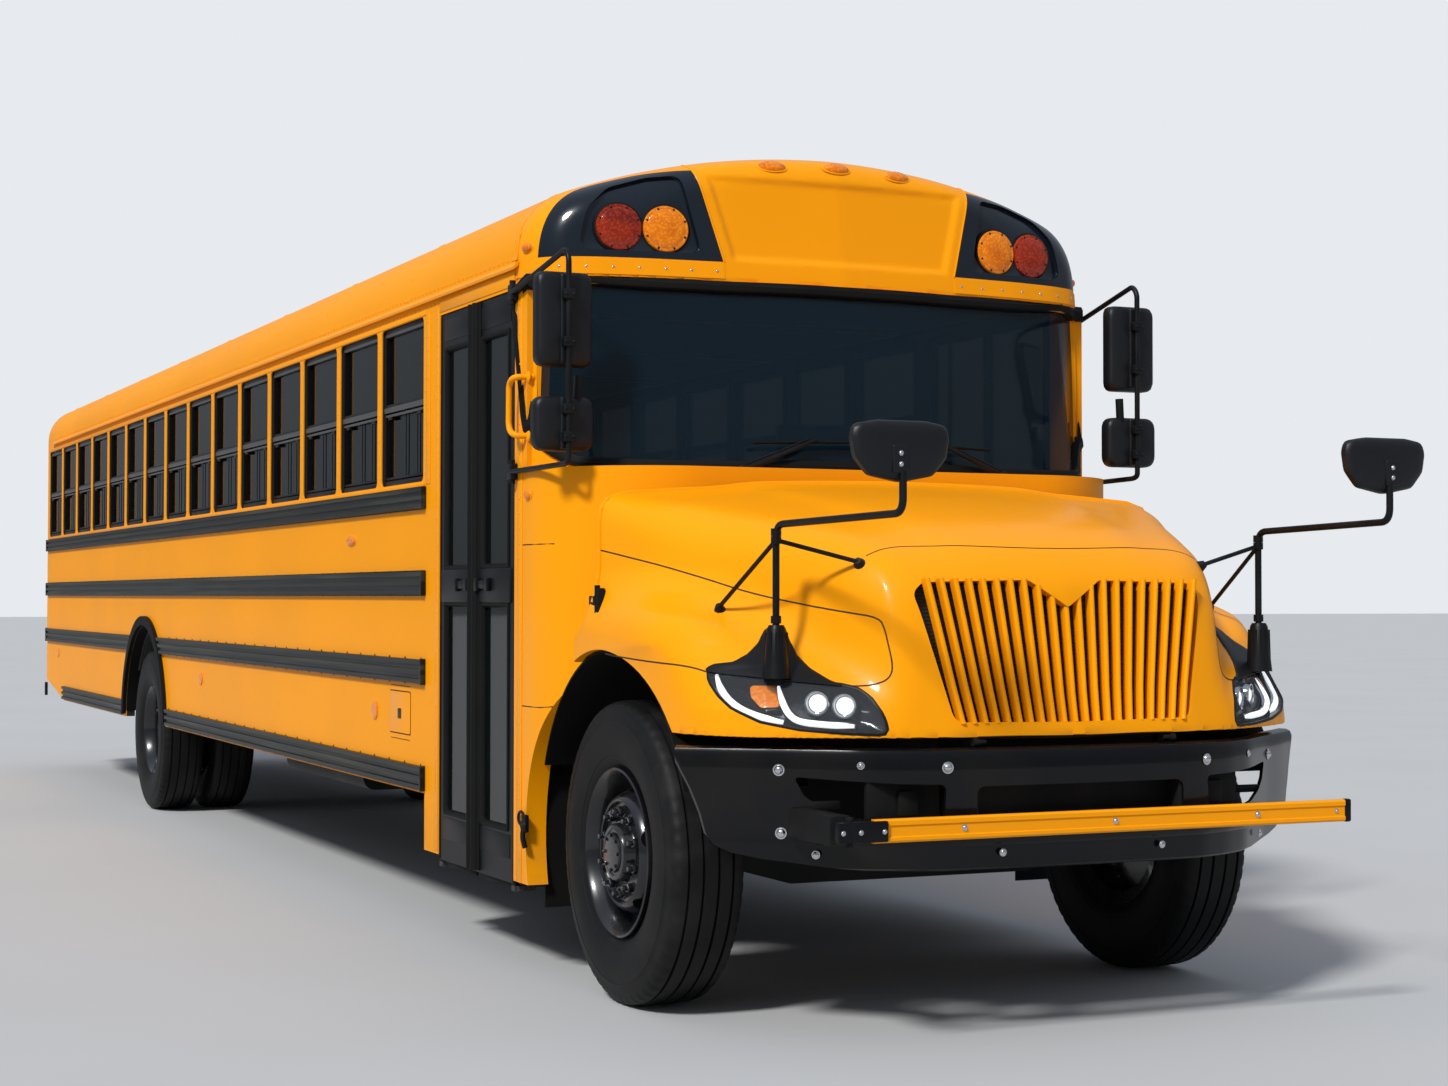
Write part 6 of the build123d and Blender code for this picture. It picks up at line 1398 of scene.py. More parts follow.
trim, band = Shape(), Shape()
for side in (-1, 1):
    line = [on_front(side * (POD_INNER + POD_LEAN * t), POD_LOW + t, 0)
            for t in np.linspace(0, 0.385, 16)]
    on_cap.strip(trim, line, 0.007, 0.002, crown=0.002)
    low_line = [on_front(side * x, BAND_Z) for x in np.linspace(0.5, 1.13, 16)]
    low_line += [on_cap.nearest((side * x, aft(back), BAND_Z))[0]
                 for x, back in ((1.19, 0.62), (1.23, 0.68), (1.23, 0.83))]
    on_cap.strip(band, low_line, 0.056, 0.003, crown=0.0)
show("cap_trims", trim, yellow)
show("cap_bands", band, yellow)
print("pods and trims laid")

# %% Roof lamps and markers
LENS = [(0.089, -0.006), (0.089, 0.004), (0.086, 0.009), (0.081, 0.0105), (0.076, 0.0095),
        (0.072, 0.012), (0.05, 0.0155), (0.025, 0.0175), (0.0, 0.018)]
DISC = [(0.0, -0.008), (0.096, -0.008), (0.096, -0.002), (0.09, 0.001), (0.086, 0.001),
        (0.0, 0.001)]


def warning_lamp(lamp, rim, dots, place):
    """A flat domed lens in a dark ring with eight small screws."""
    lamp.turned([(0.0, -0.006)] + LENS, place, 48)
    rim.turned(DISC, place, 48)
    for k in range(8):
        turn = 2 * pi * (k + 0.5) / 8
        dots.turned([(r * 0.0045, d * 0.004) for r, d in DOME],
                    place @ Matrix.Translation((0.0795 * cos(turn), 0.0795 * sin(turn), 0.009)), 10)


LAMP_LIFT = 0.004
reds, ambers, rims, dots = Shape(), Shape(), Shape(), Shape()
for side in (-1, 1):
    for across, lamp in ((0.898, reds), (0.719, ambers)):
        spot = on_front(side * across, 2.79, -0.016)
        warning_lamp(lamp, rims, dots,
                     facing_out(spot, Vector((side * 0.12, -1, 0.06)).normalized()))
        rear = facing_rear((side * across, BODY_END + LAMP_LIFT, 2.79))
        warning_lamp(lamp, rims, dots, rear)
    for x, z, r, lamp in ((0.96, 1.3, 0.085, reds), (0.96, 1.1, 0.06, ambers),
                          (0.66, 1.24, 0.05, reds)):
        place = facing_rear((side * x, BODY_END + LAMP_LIFT, z))
        lamp.turned([(0.0, -0.004)] + [(a * r / 0.089, d * 0.9) for a, d in LENS], place, 40)
        rims.turned([(a * r / 0.089, d) for a, d in DISC], place, 40)
show("red_roof_lamps", reds, red_lens, "root", "red_lamps", angle=40)
show("lamp_rims", rims, rubber)
show("lamp_screws", dots, chassis, angle=60)
print("roof lamps ready")

# %% Marker lamps
markers, bases = Shape(), Shape()
OVAL = [(1.0, -0.4), (1.0, 0.1), (0.93, 0.45), (0.72, 0.78), (0.42, 0.95), (0.01, 1.0)]


def marker(place, half_w, half_h, tall=0.016):
    """A small domed oval lens on a base ring."""
    bases.turned([(1.16 * r, 0.3 * d) for r, d in OVAL],
                 place @ Matrix.Diagonal((half_w, half_h, tall, 1)), 32)
    markers.turned([(0.01, -0.4)] + OVAL, place @ Matrix.Diagonal((half_w, half_h, tall * 1.15, 1)),
                   32)


for x in (-0.273, 0.0, 0.273):
    marker(facing_out(*on_cap.nearest((x, aft(0.556), 3.075))), 0.056, 0.027)
for side in (-1, 1):
    marker(facing_out(*on_cap.nearest((side * 1.26, aft(0.735), 2.722))), 0.03, 0.018)
    marker(facing_side((side * ON_SHEET, aft(0.68), 1.784), side), 0.03, 0.018, 0.012)
    marker(facing_side((side * ON_SHEET, aft(3.115), 1.665), side), 0.075, 0.022, 0.014)
    for x in (0, 0.2):
        marker(facing_rear((side * x, BODY_END + 0.002, 3.02)), 0.05, 0.022)
ambers.add(markers.points, markers.faces)
show("amber_roof_lamps", ambers, amber_lens, "root", "amber_lamps", angle=40)
show("marker_bases", bases, yellow)
print("cap:", len(cap_mesh.polygons), "faces")

# %% [markdown]
# ## Windshield gasket
# A rubber gasket with a raised filler line holds the curved glass. It lies on whatever is
# outermost there, so rays find how far the frame stands out of the glass.

# %% Gasket
shield_plan = curve([(0, 0), (0.5, 0.022), (0.8, 0.085), (1.05, 0.205), (1.12, 0.265), (1.18, 0.36),
                     (1.213, 0.45)], 0.03)


def merged(*names):
    """One skin over copies of these solids."""
    points, faces = [], []
    for name in names:
        start, data = len(points), NODES[name].data
        points += [NODES[name].matrix_world @ v.co for v in data.vertices]
        faces += [[start + i for i in f.vertices] for f in data.polygons]
    copy = bpy.data.meshes.new("merged")
    copy.from_pydata(points, [], faces)
    return copy


on_frame = Skin(merged("windshield_frame", "cowl"))
GLASS = [(-1.185, 1.905), (1.185, 1.905), (1.185, 2.572), (-1.185, 2.572)]
glass_edge = resample(rounded(GLASS, [0.17, 0.17, 0.07, 0.07], 8), 260, True)


def on_shield(x, z, out=0.0):
    """A place near the windshield's surface."""
    share = (z - 1.88) / 0.72
    return Vector((x, aft(0.277 + 0.193 * share + float(shield_plan(abs(x))) - out), z))


def shield_normal(x, z, tiny=0.004):
    right = on_shield(x + tiny, z) - on_shield(x - tiny, z)
    return right.cross(on_shield(x, z + tiny) - on_shield(x, z - tiny)).normalized()


print("glass edge points:", len(glass_edge))

# %% Lay the gasket
gasket_path, lifts = [], []
outline = inward(glass_edge, -0.01)
for x, z in outline:
    base, normal = on_shield(x, z), shield_normal(x, z)
    spot, _ = on_frame.along(base + normal * 0.3, -normal)
    lift = (spot - base).dot(normal) if spot else 0.0
    lifts.append(lift if abs(lift) < 0.13 else 0.0)
for k, (x, z) in enumerate(outline):
    lift = max(sum(lifts[(k + j) % len(lifts)] for j in range(-3, 4)) / 7, lifts[k])
    normal = shield_normal(x, z)
    gasket_path.append((on_shield(x, z) + normal * lift, normal))
FILLER = ((-0.003, 0.006), (-0.003, 0.0098), (0.002, 0.0098), (0.002, 0.006))
gasket, filler = Shape(), Shape()
rings, bright = [], []
count = len(gasket_path)
for k, (spot, normal) in enumerate(gasket_path):
    way = gasket_path[(k + 1) % count][0] - gasket_path[k - 1][0]
    across = way.cross(normal).normalized()
    wide = 0.022 + 0.022 * min(max((abs(spot.x) - 1.1) / 0.07, 0), 1)
    lip = ((-wide, -0.03), (-wide, 0.003), (-0.013, 0.008), (0.004, 0.009), (0.016, 0.006),
           (0.02, -0.012))
    rings.append([spot + across * a + normal * b for a, b in lip])
    bright.append([spot + across * a + normal * b for a, b in FILLER])
gasket.skin(rings + [rings[0]], ends=False)
filler.skin(bright + [bright[0]], ends=False)
show("shield_gasket", gasket, rubber)
show("gasket_filler", filler, satin_black)
print("gasket points:", count)

# %% [markdown]
# ## Side mirrors and what hangs at the door post
# A post on two arms carries two heads on each side. Each shell has a raised middle where
# two clamps grip the post.

# %% Side mirrors
POST_X, POST_BACK = 1.21, 0.286
tubes, shells, reflector, clamps = Shape(), Shape(), Shape(), Shape()
for side in (-1, 1):
    post = Vector((side * POST_X, aft(POST_BACK), 0))
    wall = Vector((side * 1.243, aft(0.815), 0))
    up = Vector((0, 0, 1))
    path = [wall + up * 2.553, wall + up * 2.556 + Vector((0, -0.05, 0)),
            post + Vector((0, 0.03, 2.652)),
            post + up * 2.62, post + up * 1.89, post + Vector((0, 0.03, 1.882)), wall + up * 1.876]
    tubes.bar(bend(path, 0.035, 6), 0.0105, 12)
    tubes.bar(bend([post + Vector((-side * 0.055, 0.045, 2.2)),
                    post + Vector((-side * 0.05, 0.045, 2.1))],
                   0.02), 0.016, 12)
    for z in (2.553, 1.876):
        tubes.brick((side * ON_SHEET, aft(0.79), z - 0.03),
                    (side * 1.25, aft(0.838), z + 0.03), 0.005)
        tubes.bar([(side * 1.238, aft(0.812), z - 0.045), (side * 1.238, aft(0.812), z + 0.045)],
                  0.012, 12)
    for middle, width, tall, round_r in ((2.402, 0.212, 0.342, 0.035),
                                         (2.027, 0.228, 0.198, 0.045)):
        edge = resample(box_outline(width, tall, round_r, 6), 64, True)
        face = facing_front(post + Vector((0, 0.035, middle)))
        levels = [(0.93, -0.052), (1.0, -0.048), (1.0, -0.03), (0.99, -0.012), (0.95, -0.002),
                  (0.86, 0.004), (0.6, 0.009), (0.3, 0.012), (0.03, 0.013)]
        shells.layers(face, [(scaled(edge, share), depth) for share, depth in levels], True)
        shells.plate(box_outline(0.046, tall * 0.93, 0.008, 3), face, 0.0, 0.02, 0.006)
        bulge = 0.014 if tall < 0.3 else 0.002
        reflector.layers(face, [(scaled(edge, 0.9), -0.0505)] + [
            (scaled(edge, share), -0.053 - bulge * (1 - share * share))
            for share in (0.9, 0.6, 0.3, 0.03)], True)
        for shift in (-0.25, 0.25):
            clamps.brick(post + Vector((-0.022, -0.016, middle + shift * tall - 0.018)),
                         post + Vector((0.022, 0.018, middle + shift * tall + 0.018)), 0.004)
            for across in (-0.014, 0.014):
                spot = post + Vector((across, -0.016, middle + shift * tall))
                domed(clamps, 0.005, facing_front(spot), 10)
show("mirror_tubes", tubes, satin_black, "root", "side_mirrors")
show("mirror_shells", shells, grained, angle=40)
show("mirror_glass", reflector, mirror_face)
show("mirror_clamps", clamps, satin_black)
print("mirror heads:", 4)

# %% Grab handle and hook
grab = Shape()
side_x = -1.222
out = Vector((-0.045, 0, 0))
hold = [Vector((side_x + 0.03, aft(0.7), 2.225)), Vector((side_x, aft(0.712), 2.225)) + out,
        Vector((side_x, aft(0.765), 2.205)) + out,
        Vector((side_x, aft(0.768), 2.035)) + out, Vector((side_x, aft(0.712), 2.005)) + out,
        Vector((side_x + 0.03, aft(0.7), 2.005))]
grab.bar(bend(hold, 0.03, 6), 0.0115, 12)
for z in (2.225, 2.005):
    grab.turned([(0.022, 0.0), (0.022, 0.004), (0.012, 0.01), (0.001, 0.011)],
                facing_side((side_x + 0.01, aft(0.702), z), -1), 20)
show("grab_handle", grab, yellow)
hook = Shape()
for radius, centre in ((0.03, (aft(0.715), 0.585)), (0.022, (aft(0.69), 0.56))):
    ring = [Vector((-1.232, centre[0] + radius * cos(a), centre[1] + radius * 0.8 * sin(a)))
            for a in (2 * pi * k / 24 for k in range(25))]
    hook.bar(ring, 0.0055, 10)
hook.brick((-1.236, aft(0.665), 0.535), (-1.218, aft(0.7), 0.6), 0.004)
hook.bar(bend([(-1.23, aft(0.685), 0.56), (-1.24, aft(0.68), 0.52), (-1.23, aft(0.675), 0.478)],
              0.02), 0.01, 10)
show("cable_hook", hook, satin_black)
print("mirrors, handle and hook placed")

# %% [markdown]
# ## Wheels
# A tyre is one section swept round: bulging sidewalls with fine rings, a flat tread with four
# grooves, and shoulder sipes where every fourth slice of the shoulder sits lower. The front
# disc bulges outward and carries the hub with ten nuts; the rear discs are dished inward.

# %% Tyres
TYRE_W = 0.28
SIDEWALL = [(-0.106, 0.286), (-0.112, 0.3), (-0.122, 0.312), (-0.128, 0.33), (-0.1285, 0.333),
            (-0.131, 0.336), (-0.136, 0.36), (-0.139, 0.385), (-0.14, 0.405), (-0.1385, 0.43),
            (-0.137, 0.448), (-0.1385, 0.451), (-0.136, 0.456), (-0.132, 0.474), (-0.1295, 0.488)]
SHOULDER = [(-0.1265, 0.499), (-0.121, 0.508), (-0.113, 0.5155), (-0.103, 0.52)]
TREAD = [(-0.086, 0.5225), (-0.0845, 0.5225), (-0.083, 0.511), (-0.076, 0.511), (-0.0745, 0.523),
         (-0.034, 0.5247), (-0.0325, 0.5247), (-0.031, 0.512), (-0.024, 0.512), (-0.0225, 0.525),
         (0.0, 0.525)]


def tyre(shape, place, slices):
    """A tyre round the depth axis of a place whose origin is its middle."""
    half = [(a, r, sipe) for part, sipe in ((SIDEWALL, 0), (SHOULDER, 1), (TREAD, 0))
            for a, r in part]
    section = half + [(-a, r, s) for a, r, s in half[-2::-1]]
    section += [(0.104, 0.282, 0), (0.0, 0.279, 0), (-0.104, 0.282, 0)]
    rings = []
    for k, turn in enumerate(around(slices)):
        low = 0.0045 if k % 4 == 0 else 0.0
        rings.append([place @ Vector(((r - low * s) * cos(turn), (r - low * s) * sin(turn), a))
                      for a, r, s in section])
    return shape.skin(rings + [rings[0]], ends=False)


print("tyre section points:", len(SIDEWALL + SHOULDER + TREAD))

# %% Wheel discs
RIM = [(0.283, -0.24), (0.286, -0.232), (0.262, -0.205), (0.256, -0.1), (0.262, -0.05),
       (0.284, -0.03), (0.292, -0.014), (0.291, -0.004), (0.285, 0.0), (0.279, -0.005),
       (0.272, -0.022), (0.262, -0.04), (0.254, -0.072)]
FRONT_DISC = [(0.0, -0.15), (0.225, -0.15), (0.236, -0.225)] + RIM + [
    (0.25, -0.108), (0.243, -0.116), (0.234, -0.108), (0.222, -0.082), (0.21, -0.055),
    (0.199, -0.032), (0.19, -0.02), (0.182, -0.015), (0.176, -0.018), (0.173, -0.028),
    (0.169, -0.034), (0.106, -0.034), (0.102, -0.028), (0.1, -0.004), (0.094, 0.006), (0.08, 0.008),
    (0.077, 0.003), (0.07, 0.003), (0.067, 0.013), (0.054, 0.016), (0.0, 0.017)]
REAR_DISC = [(0.0, -0.24), (0.23, -0.24), (0.236, -0.232)] + RIM + [
    (0.25, -0.175), (0.24, -0.19), (0.222, -0.18), (0.2, -0.172), (0.165, -0.18), (0.15, -0.19),
    (0.105, -0.19), (0.102, -0.182), (0.1, -0.075), (0.094, -0.066), (0.074, -0.064),
    (0.072, -0.05), (0.066, -0.046), (0.0, -0.045)]
DISC_HOLES, HOLE_AT, NUTS, NUT_AT = 5, 0.215, 10, 0.141


def disc(profile, place, hole_w, hole_h, depth):
    """A wheel disc with oval hand holes."""
    cutters = []
    for k in range(DISC_HOLES):
        turn = 2 * pi * (k + 0.25) / DISC_HOLES
        here = place @ Matrix.Rotation(turn, 4, "Z") @ Matrix.Translation((HOLE_AT, 0, 0))
        oval = [(hole_h * cos(a), hole_w * sin(a)) for a in around(28)]
        cutters.append(prism(oval, here, -0.26, depth))
    form = Shape().turned(profile, place, 96).mesh("disc")
    return smooth(carve(form, *cutters), 35)


print("hand holes in a disc:", DISC_HOLES)

# %% Nuts and the wheel sets
HEX = [(0.0, -0.002), (0.0215, -0.002), (0.0215, 0.003), (0.0175, 0.0045), (0.0175, 0.021),
       (0.0145, 0.025), (0.0, 0.025)]
STUD = [(0.0, 0.0), (0.0095, 0.0), (0.0095, 0.04), (0.0078, 0.043), (0.0, 0.043)]
INNER_RIM = [(0.24, -0.24), (0.286, -0.24), (0.29, -0.23), (0.258, -0.2), (0.252, -0.06),
             (0.262, -0.04), (0.286, -0.01), (0.28, 0.0), (0.262, -0.02), (0.245, -0.06),
             (0.24, -0.235), (0.24, -0.24)]
FRONT_WHEEL = dict(row="front", plural="", body="wheel_front", outer=1.15, axle=FRONT_AXLE,
                   tyres=(0.0,),
                   flange_in=0.008, profile=FRONT_DISC, hole_out=0.03, nut_depth=-0.034,
                   hub_bolt=(0.06, 0.014, 0.0065))
REAR_WHEEL = dict(row="rear", plural="s", body="wheels_rear", outer=1.2, axle=REAR_AXLE,
                  tyres=(0.0, 0.33),
                  flange_in=0.03, profile=REAR_DISC, hole_out=-0.06, nut_depth=-0.19,
                  hub_bolt=(0.086, -0.066, 0.009))
HUB_BOLTS = 8


def wheel(side, name, row, plural, body, outer, axle, tyres, flange_in, profile, hole_out,
          nut_depth, hub_bolt):
    """Everything that turns with one wheel, or with one pair of twins."""
    body = f"{body}_{name}"
    treads = Shape()
    for back in tyres:
        tyre(treads, facing_side((side * (outer - TYRE_W / 2 - back), axle, TYRE_R), side),
             240)
    show(f"{row}_treads_{name}", treads, tyre_rubber, body,
         f"{row}_tyre{plural}_{name}", angle=28)
    flange = facing_side((side * (outer - flange_in), axle, TYRE_R), side)
    show(f"{row}_disc_{name}", disc(profile, flange, 0.037, 0.024, hole_out), wheel_black,
         body,
         f"{row}_rim{plural}_{name}")
    nuts = Shape()
    for k in range(NUTS):
        here = flange @ Matrix.Rotation(2 * pi * (k + 0.5) / NUTS, 4, "Z")
        here = here @ Matrix.Translation((NUT_AT, 0, nut_depth))
        nuts.turned(HEX, here, 6).turned(STUD, here, 12)
    ring, depth, size = hub_bolt
    for turn in around(HUB_BOLTS):
        here = flange @ Matrix.Rotation(turn, 4, "Z") @ Matrix.Translation((ring, 0, depth))
        head = [(0.0, -0.002), (size, -0.002), (size, 0.006), (size * 0.7, 0.008), (0.0, 0.008)]
        nuts.turned(head, here, 6)
    show(f"{row}_nuts_{name}", nuts, wheel_black, body, angle=40)
    if len(tyres) > 1:
        inner = seat((side * (outer - 0.36), axle, TYRE_R), (0, -side, 0), (0, 0, 1))
        show(f"inner_rim_{name}", Shape().turned(INNER_RIM, inner, 72), wheel_black,
             body)


for side, name in ((-1, "right"), (1, "left")):
    for row in (FRONT_WHEEL, REAR_WHEEL):
        wheel(side, name, **row)
print("wheels built")

# %% [markdown]
# ## Doors
# Each leaf keeps its solid. Added are rubber glazing strips round the panes, the belt with a
# recessed pull, the pair of soft tubes where the leaves meet, and a brush along the foot.

# %% Door trim
LEAVES = {"front": (-4.654, -4.196), "rear": (-4.187, -3.729)}
PANES = ((0.526, 1.376), (1.524, 2.421))
DOOR_FACE, DOOR_LOW, DOOR_HIGH = -1.215, 0.335, 2.565
for leaf, (front, rear) in LEAVES.items():
    body = f"door_{leaf}"
    strips, panel, brush = Shape(), Shape(), Shape()
    middle_y, pane_w = (front + rear) / 2, rear - front - 0.14
    for low, high in PANES:
        place = facing_side((DOOR_FACE, middle_y, (low + high) / 2), -1)
        outer = box_outline(pane_w + 0.02, high - low + 0.02, 0.012, 3)
        inner = box_outline(pane_w - 0.022, high - low - 0.022, 0.014, 3)
        strips.layers(place, [(outer, -0.004), (outer, 0.004), (inward(outer, 0.006), 0.007),
                              (inward(outer, 0.014), 0.006), (inner, -0.006), (inner, -0.012)])
    at_front, at_rear = (0.034, 0.006) if leaf == "front" else (0.006, 0.034)
    start, stop = front + at_front, rear - at_rear
    for z in (0.46, 2.5):
        panel.brick((DOOR_FACE - 0.0025, start + 0.012, z - 0.045),
                    (DOOR_FACE + 0.004, stop - 0.012, z + 0.045), 0.002)
    low, high = 1.382, 1.518
    panel.brick((DOOR_FACE - 0.01, start, low), (DOOR_FACE + 0.006, stop, high), 0.008)
    meet = rear if leaf == "front" else front
    away = -1 if leaf == "front" else 1
    pull = sorted((meet + away * 0.06, meet + away * 0.19))
    panel.brick((DOOR_FACE - 0.022, pull[0], 1.437), (DOOR_FACE - 0.008, pull[1], 1.471), 0.006)
    for y in pull:
        panel.brick((DOOR_FACE - 0.028, y - 0.016, 1.428), (DOOR_FACE - 0.008, y + 0.016, 1.48),
                    0.006)
    y = meet + away * 0.022
    strips.bar([(DOOR_FACE - 0.006, y, z) for z in (DOOR_LOW, DOOR_HIGH)], 0.022, 16)
    strips.bar([(DOOR_FACE - 0.004, y + away * 0.03, z) for z in (DOOR_LOW, DOOR_HIGH)], 0.008, 10)
    hinge_y = front + 0.006 if leaf == "front" else rear - 0.006
    strips.brick((DOOR_FACE - 0.003, hinge_y - 0.006, 0.33),
                 (DOOR_FACE + 0.008, hinge_y + 0.006, DOOR_HIGH), 0.002)
    brush.brick((DOOR_FACE + 0.01, front + 0.01, 0.306), (DOOR_FACE + 0.026, rear - 0.01, 0.33),
                0.001)
    show(f"door_seals_{leaf}", strips, rubber, body)
    show(f"door_panels_{leaf}", panel, satin_black, body)
    show(f"door_brush_{leaf}", brush, rubber, body)
print("doors trimmed")

# %% [markdown]
# ## Side windows
# Every window is a black frame with a grey meeting rail, thin dark lines where the panes
# slide, and a yellow sill under it. A yellow drip rail runs above them all.

# %% Window rails and drip rail
FIRST, PITCH, ROWS, POST = 1.967, 0.7, 15, 0.066
SILL_Z, HEAD_Z = 1.894, 2.592
meets, lines, sills, frames = Shape(), Shape(), Shape(), Shape()
WINDOW_X = 1.205


def slab(shape, y_low, y_high, z_low, z_high, out, edge=0.002, deep=0.012):
    """The same upright slab at a window of each side."""
    for side in (-1, 1):
        x = side * WINDOW_X
        shape.brick((x - side * deep, y_low, z_low), (x + side * out, y_high, z_high), edge)


for k in range(ROWS):
    front = aft(FIRST + k * PITCH) + POST / 2
    rear = front + PITCH - POST
    for low, high, inset, out, edge in ((2.222, 2.246, 0.004, 0.004, 0.003),
                                        (2.203, 2.214, 0.004, 0.001, 0.002),
                                        (2.56, 2.574, 0.02, 0.002, 0.002)):
        slab(meets, front + inset, rear - inset, low, high, out, edge)
    for y_low, y_high in ((front - 0.002, front + 0.024), (rear - 0.024, rear + 0.002)):
        slab(frames, y_low, y_high, SILL_Z + 0.002, HEAD_Z - 0.004, 0.003, deep=0.05)
    for low, high in ((HEAD_Z - 0.02, HEAD_Z + 0.001), (SILL_Z - 0.001, SILL_Z + 0.016)):
        slab(frames, front, rear, low, high, 0.003, deep=0.05)
    slab(lines, front + 0.022, rear - 0.022, SILL_Z + 0.022, SILL_Z + 0.04, 0.0)
    for y in (front + 0.16, front + 0.33, front + 0.022, rear - 0.028):
        slab(lines, y, y + 0.006, SILL_Z + 0.03, 2.205, -0.008, 0.001)
    slab(lines, front + 0.05, front + 0.056, 2.246, HEAD_Z - 0.03, -0.006, 0.001)
    for y in (front + 0.1, rear - 0.1):
        slab(lines, y - 0.03, y + 0.03, 2.19, 2.203, 0.004, 0.002)
DRIP = [(1.2185, 2.655), (1.238, 2.64), (1.24, 2.65), (1.226, 2.668), (1.2185, 2.672)]
for side in (-1, 1):
    sills.brick((side * 1.215, aft(FIRST + 0.01), 1.872), (side * 1.226, WALL_END, 1.89), 0.003)
    sills.skin([[(side * x, y, z) for x, z in DRIP] for y in (aft(0.8), 6.72)])
    sills.brick((side * 1.216, aft(FIRST), HEAD_Z + 0.002),
                (side * 1.2225, WALL_END, HEAD_Z + 0.022), 0.002)
show("window_meeting_rails", meets, sash_grey)
show("window_frames", frames, sash_black)
show("window_lines", lines, sash_black)
show("sills_and_drip_rails", sills, yellow)
print("windows:", 2 * ROWS)

# %% [markdown]
# ## Body side: posts, rails, fuel door and reflectors
# Yellow riveted posts flank the door. The black rails get end caps; a door hides the fuel
# filler, and round reflectors sit on the skirt.

# %% Side details
caps, posts, gaps, lugs = Shape(), Shape(), Shape(), Shape()
RAILS = ((1.78, 1.867), (1.415, 1.512), (1.039, 1.141), (0.592, 0.692))
RAIL_ENDS = (aft(FIRST) - 0.003, 6.972)
POSTS = ((0.745, 0.797, 0.34, 2.6), (1.776, 1.812, 0.36, 2.6), (0.836, 1.771, 2.583, 2.64),
         (1.9, 1.955, 1.88, 2.6))
REFLECTORS = ((2.711, 0.897, 0.042), (6.43, 0.916, 0.036), (11.9, 0.95, 0.036))
for side in (-1, 1):
    for low, high in RAILS:
        for y in RAIL_ENDS:
            caps.brick((side * BODY_HALF, y - 0.01, low - 0.004),
                       (side * 1.2425, y + 0.01, high + 0.004), 0.004)
        for z in (low, high) if low > 1.2 else ():
            caps.brick((side * SHEET_IN, aft(FIRST), z - 0.006),
                       (side * SHEET_OUT, 6.97, z + 0.006), 0.0015)
    for front, rear, low, high in POSTS:
        posts.brick((side * SHEET_IN, aft(front), low), (side * SHEET_OUT, aft(rear), high), 0.0015)
    for back, z, r in REFLECTORS:
        lens_at = facing_side((side * ON_SHEET, aft(back), z), side)
        lugs.turned([(0.0, -0.002), (r, -0.002), (r, 0.004), (r * 0.9, 0.007), (0.0, 0.008)],
                    lens_at, 32)
    for z in (1.6, 1.0):
        gap = [(side * 1.24, aft(0.74), z), (side * 1.23, aft(0.66), z),
               (side * 1.215, aft(0.58), z),
               (side * 1.19, aft(0.5), z)]
        gaps.bar([on_frame.nearest(p)[0] for p in gap], 0.0022, 6)
FUEL_BACK, FUEL_Z = 2.322, 0.905
fuel = facing_side((-1.2192, aft(FUEL_BACK), FUEL_Z), -1)
gaps.plate(box_outline(0.312, 0.188, 0.012, 3), fuel, -0.002, 0.0006)
posts.plate(box_outline(0.302, 0.178, 0.01, 3), fuel, -0.002, 0.003, 0.001)
caps.brick((-1.226, aft(FUEL_BACK) - 0.022, 0.878), (-SHEET_IN, aft(FUEL_BACK) + 0.022, 0.922),
           0.003)
for z in (0.79, 1.02):
    gaps.brick((-1.2196, aft(2.18), z - 0.0015), (-SHEET_IN, aft(2.46), z + 0.0015))
show("rail_caps", caps, rail_black)
show("body_posts", posts, yellow)
show("panel_gaps", gaps, seam_dark)
# The reflectors are no lamps: the amber lens finish gives them a faint painted glow.
show("side_reflectors", lugs, amber_lens)
print("posts:", 2 * len(POSTS), "reflectors:", 2 * len(REFLECTORS))

# %% Roof bows
on_roof = Skin(merged("roof"))
bows = Shape()
BOWS = [0.845 + 1.4 * k for k in range(9)]
bow_lines = []
for back in BOWS:
    line = []
    for k in range(-26, 27):
        turn = radians(88.0 * k / 26)
        outside = (3.5 * sin(turn), aft(back), 1.9 + 3.0 * cos(turn))
        spot, normal = on_roof.along(outside, (-3.5 * sin(turn), 0, 0.55 - 2.2 * cos(turn)))
        if spot:
            line.append((spot, normal))
    bow_lines.append(line)
    half = Vector((0, 0.028, 0))
    bows.skin([[spot - half - normal * 0.002, spot - half + normal * 0.002,
                spot + half + normal * 0.002, spot + half - normal * 0.002]
                for spot, normal in line])
show("roof_bows", bows, yellow)
print("roof bows:", len(BOWS), "points each:", [len(l) for l in bow_lines][:3])

# %% [markdown]
# ## Rivets
# Hundreds of rivets hold the sheets. Their rows are drawn as bare edges that remember which
# way is out; one Geometry Nodes tree spaces the rivets along them and turns each outwards.

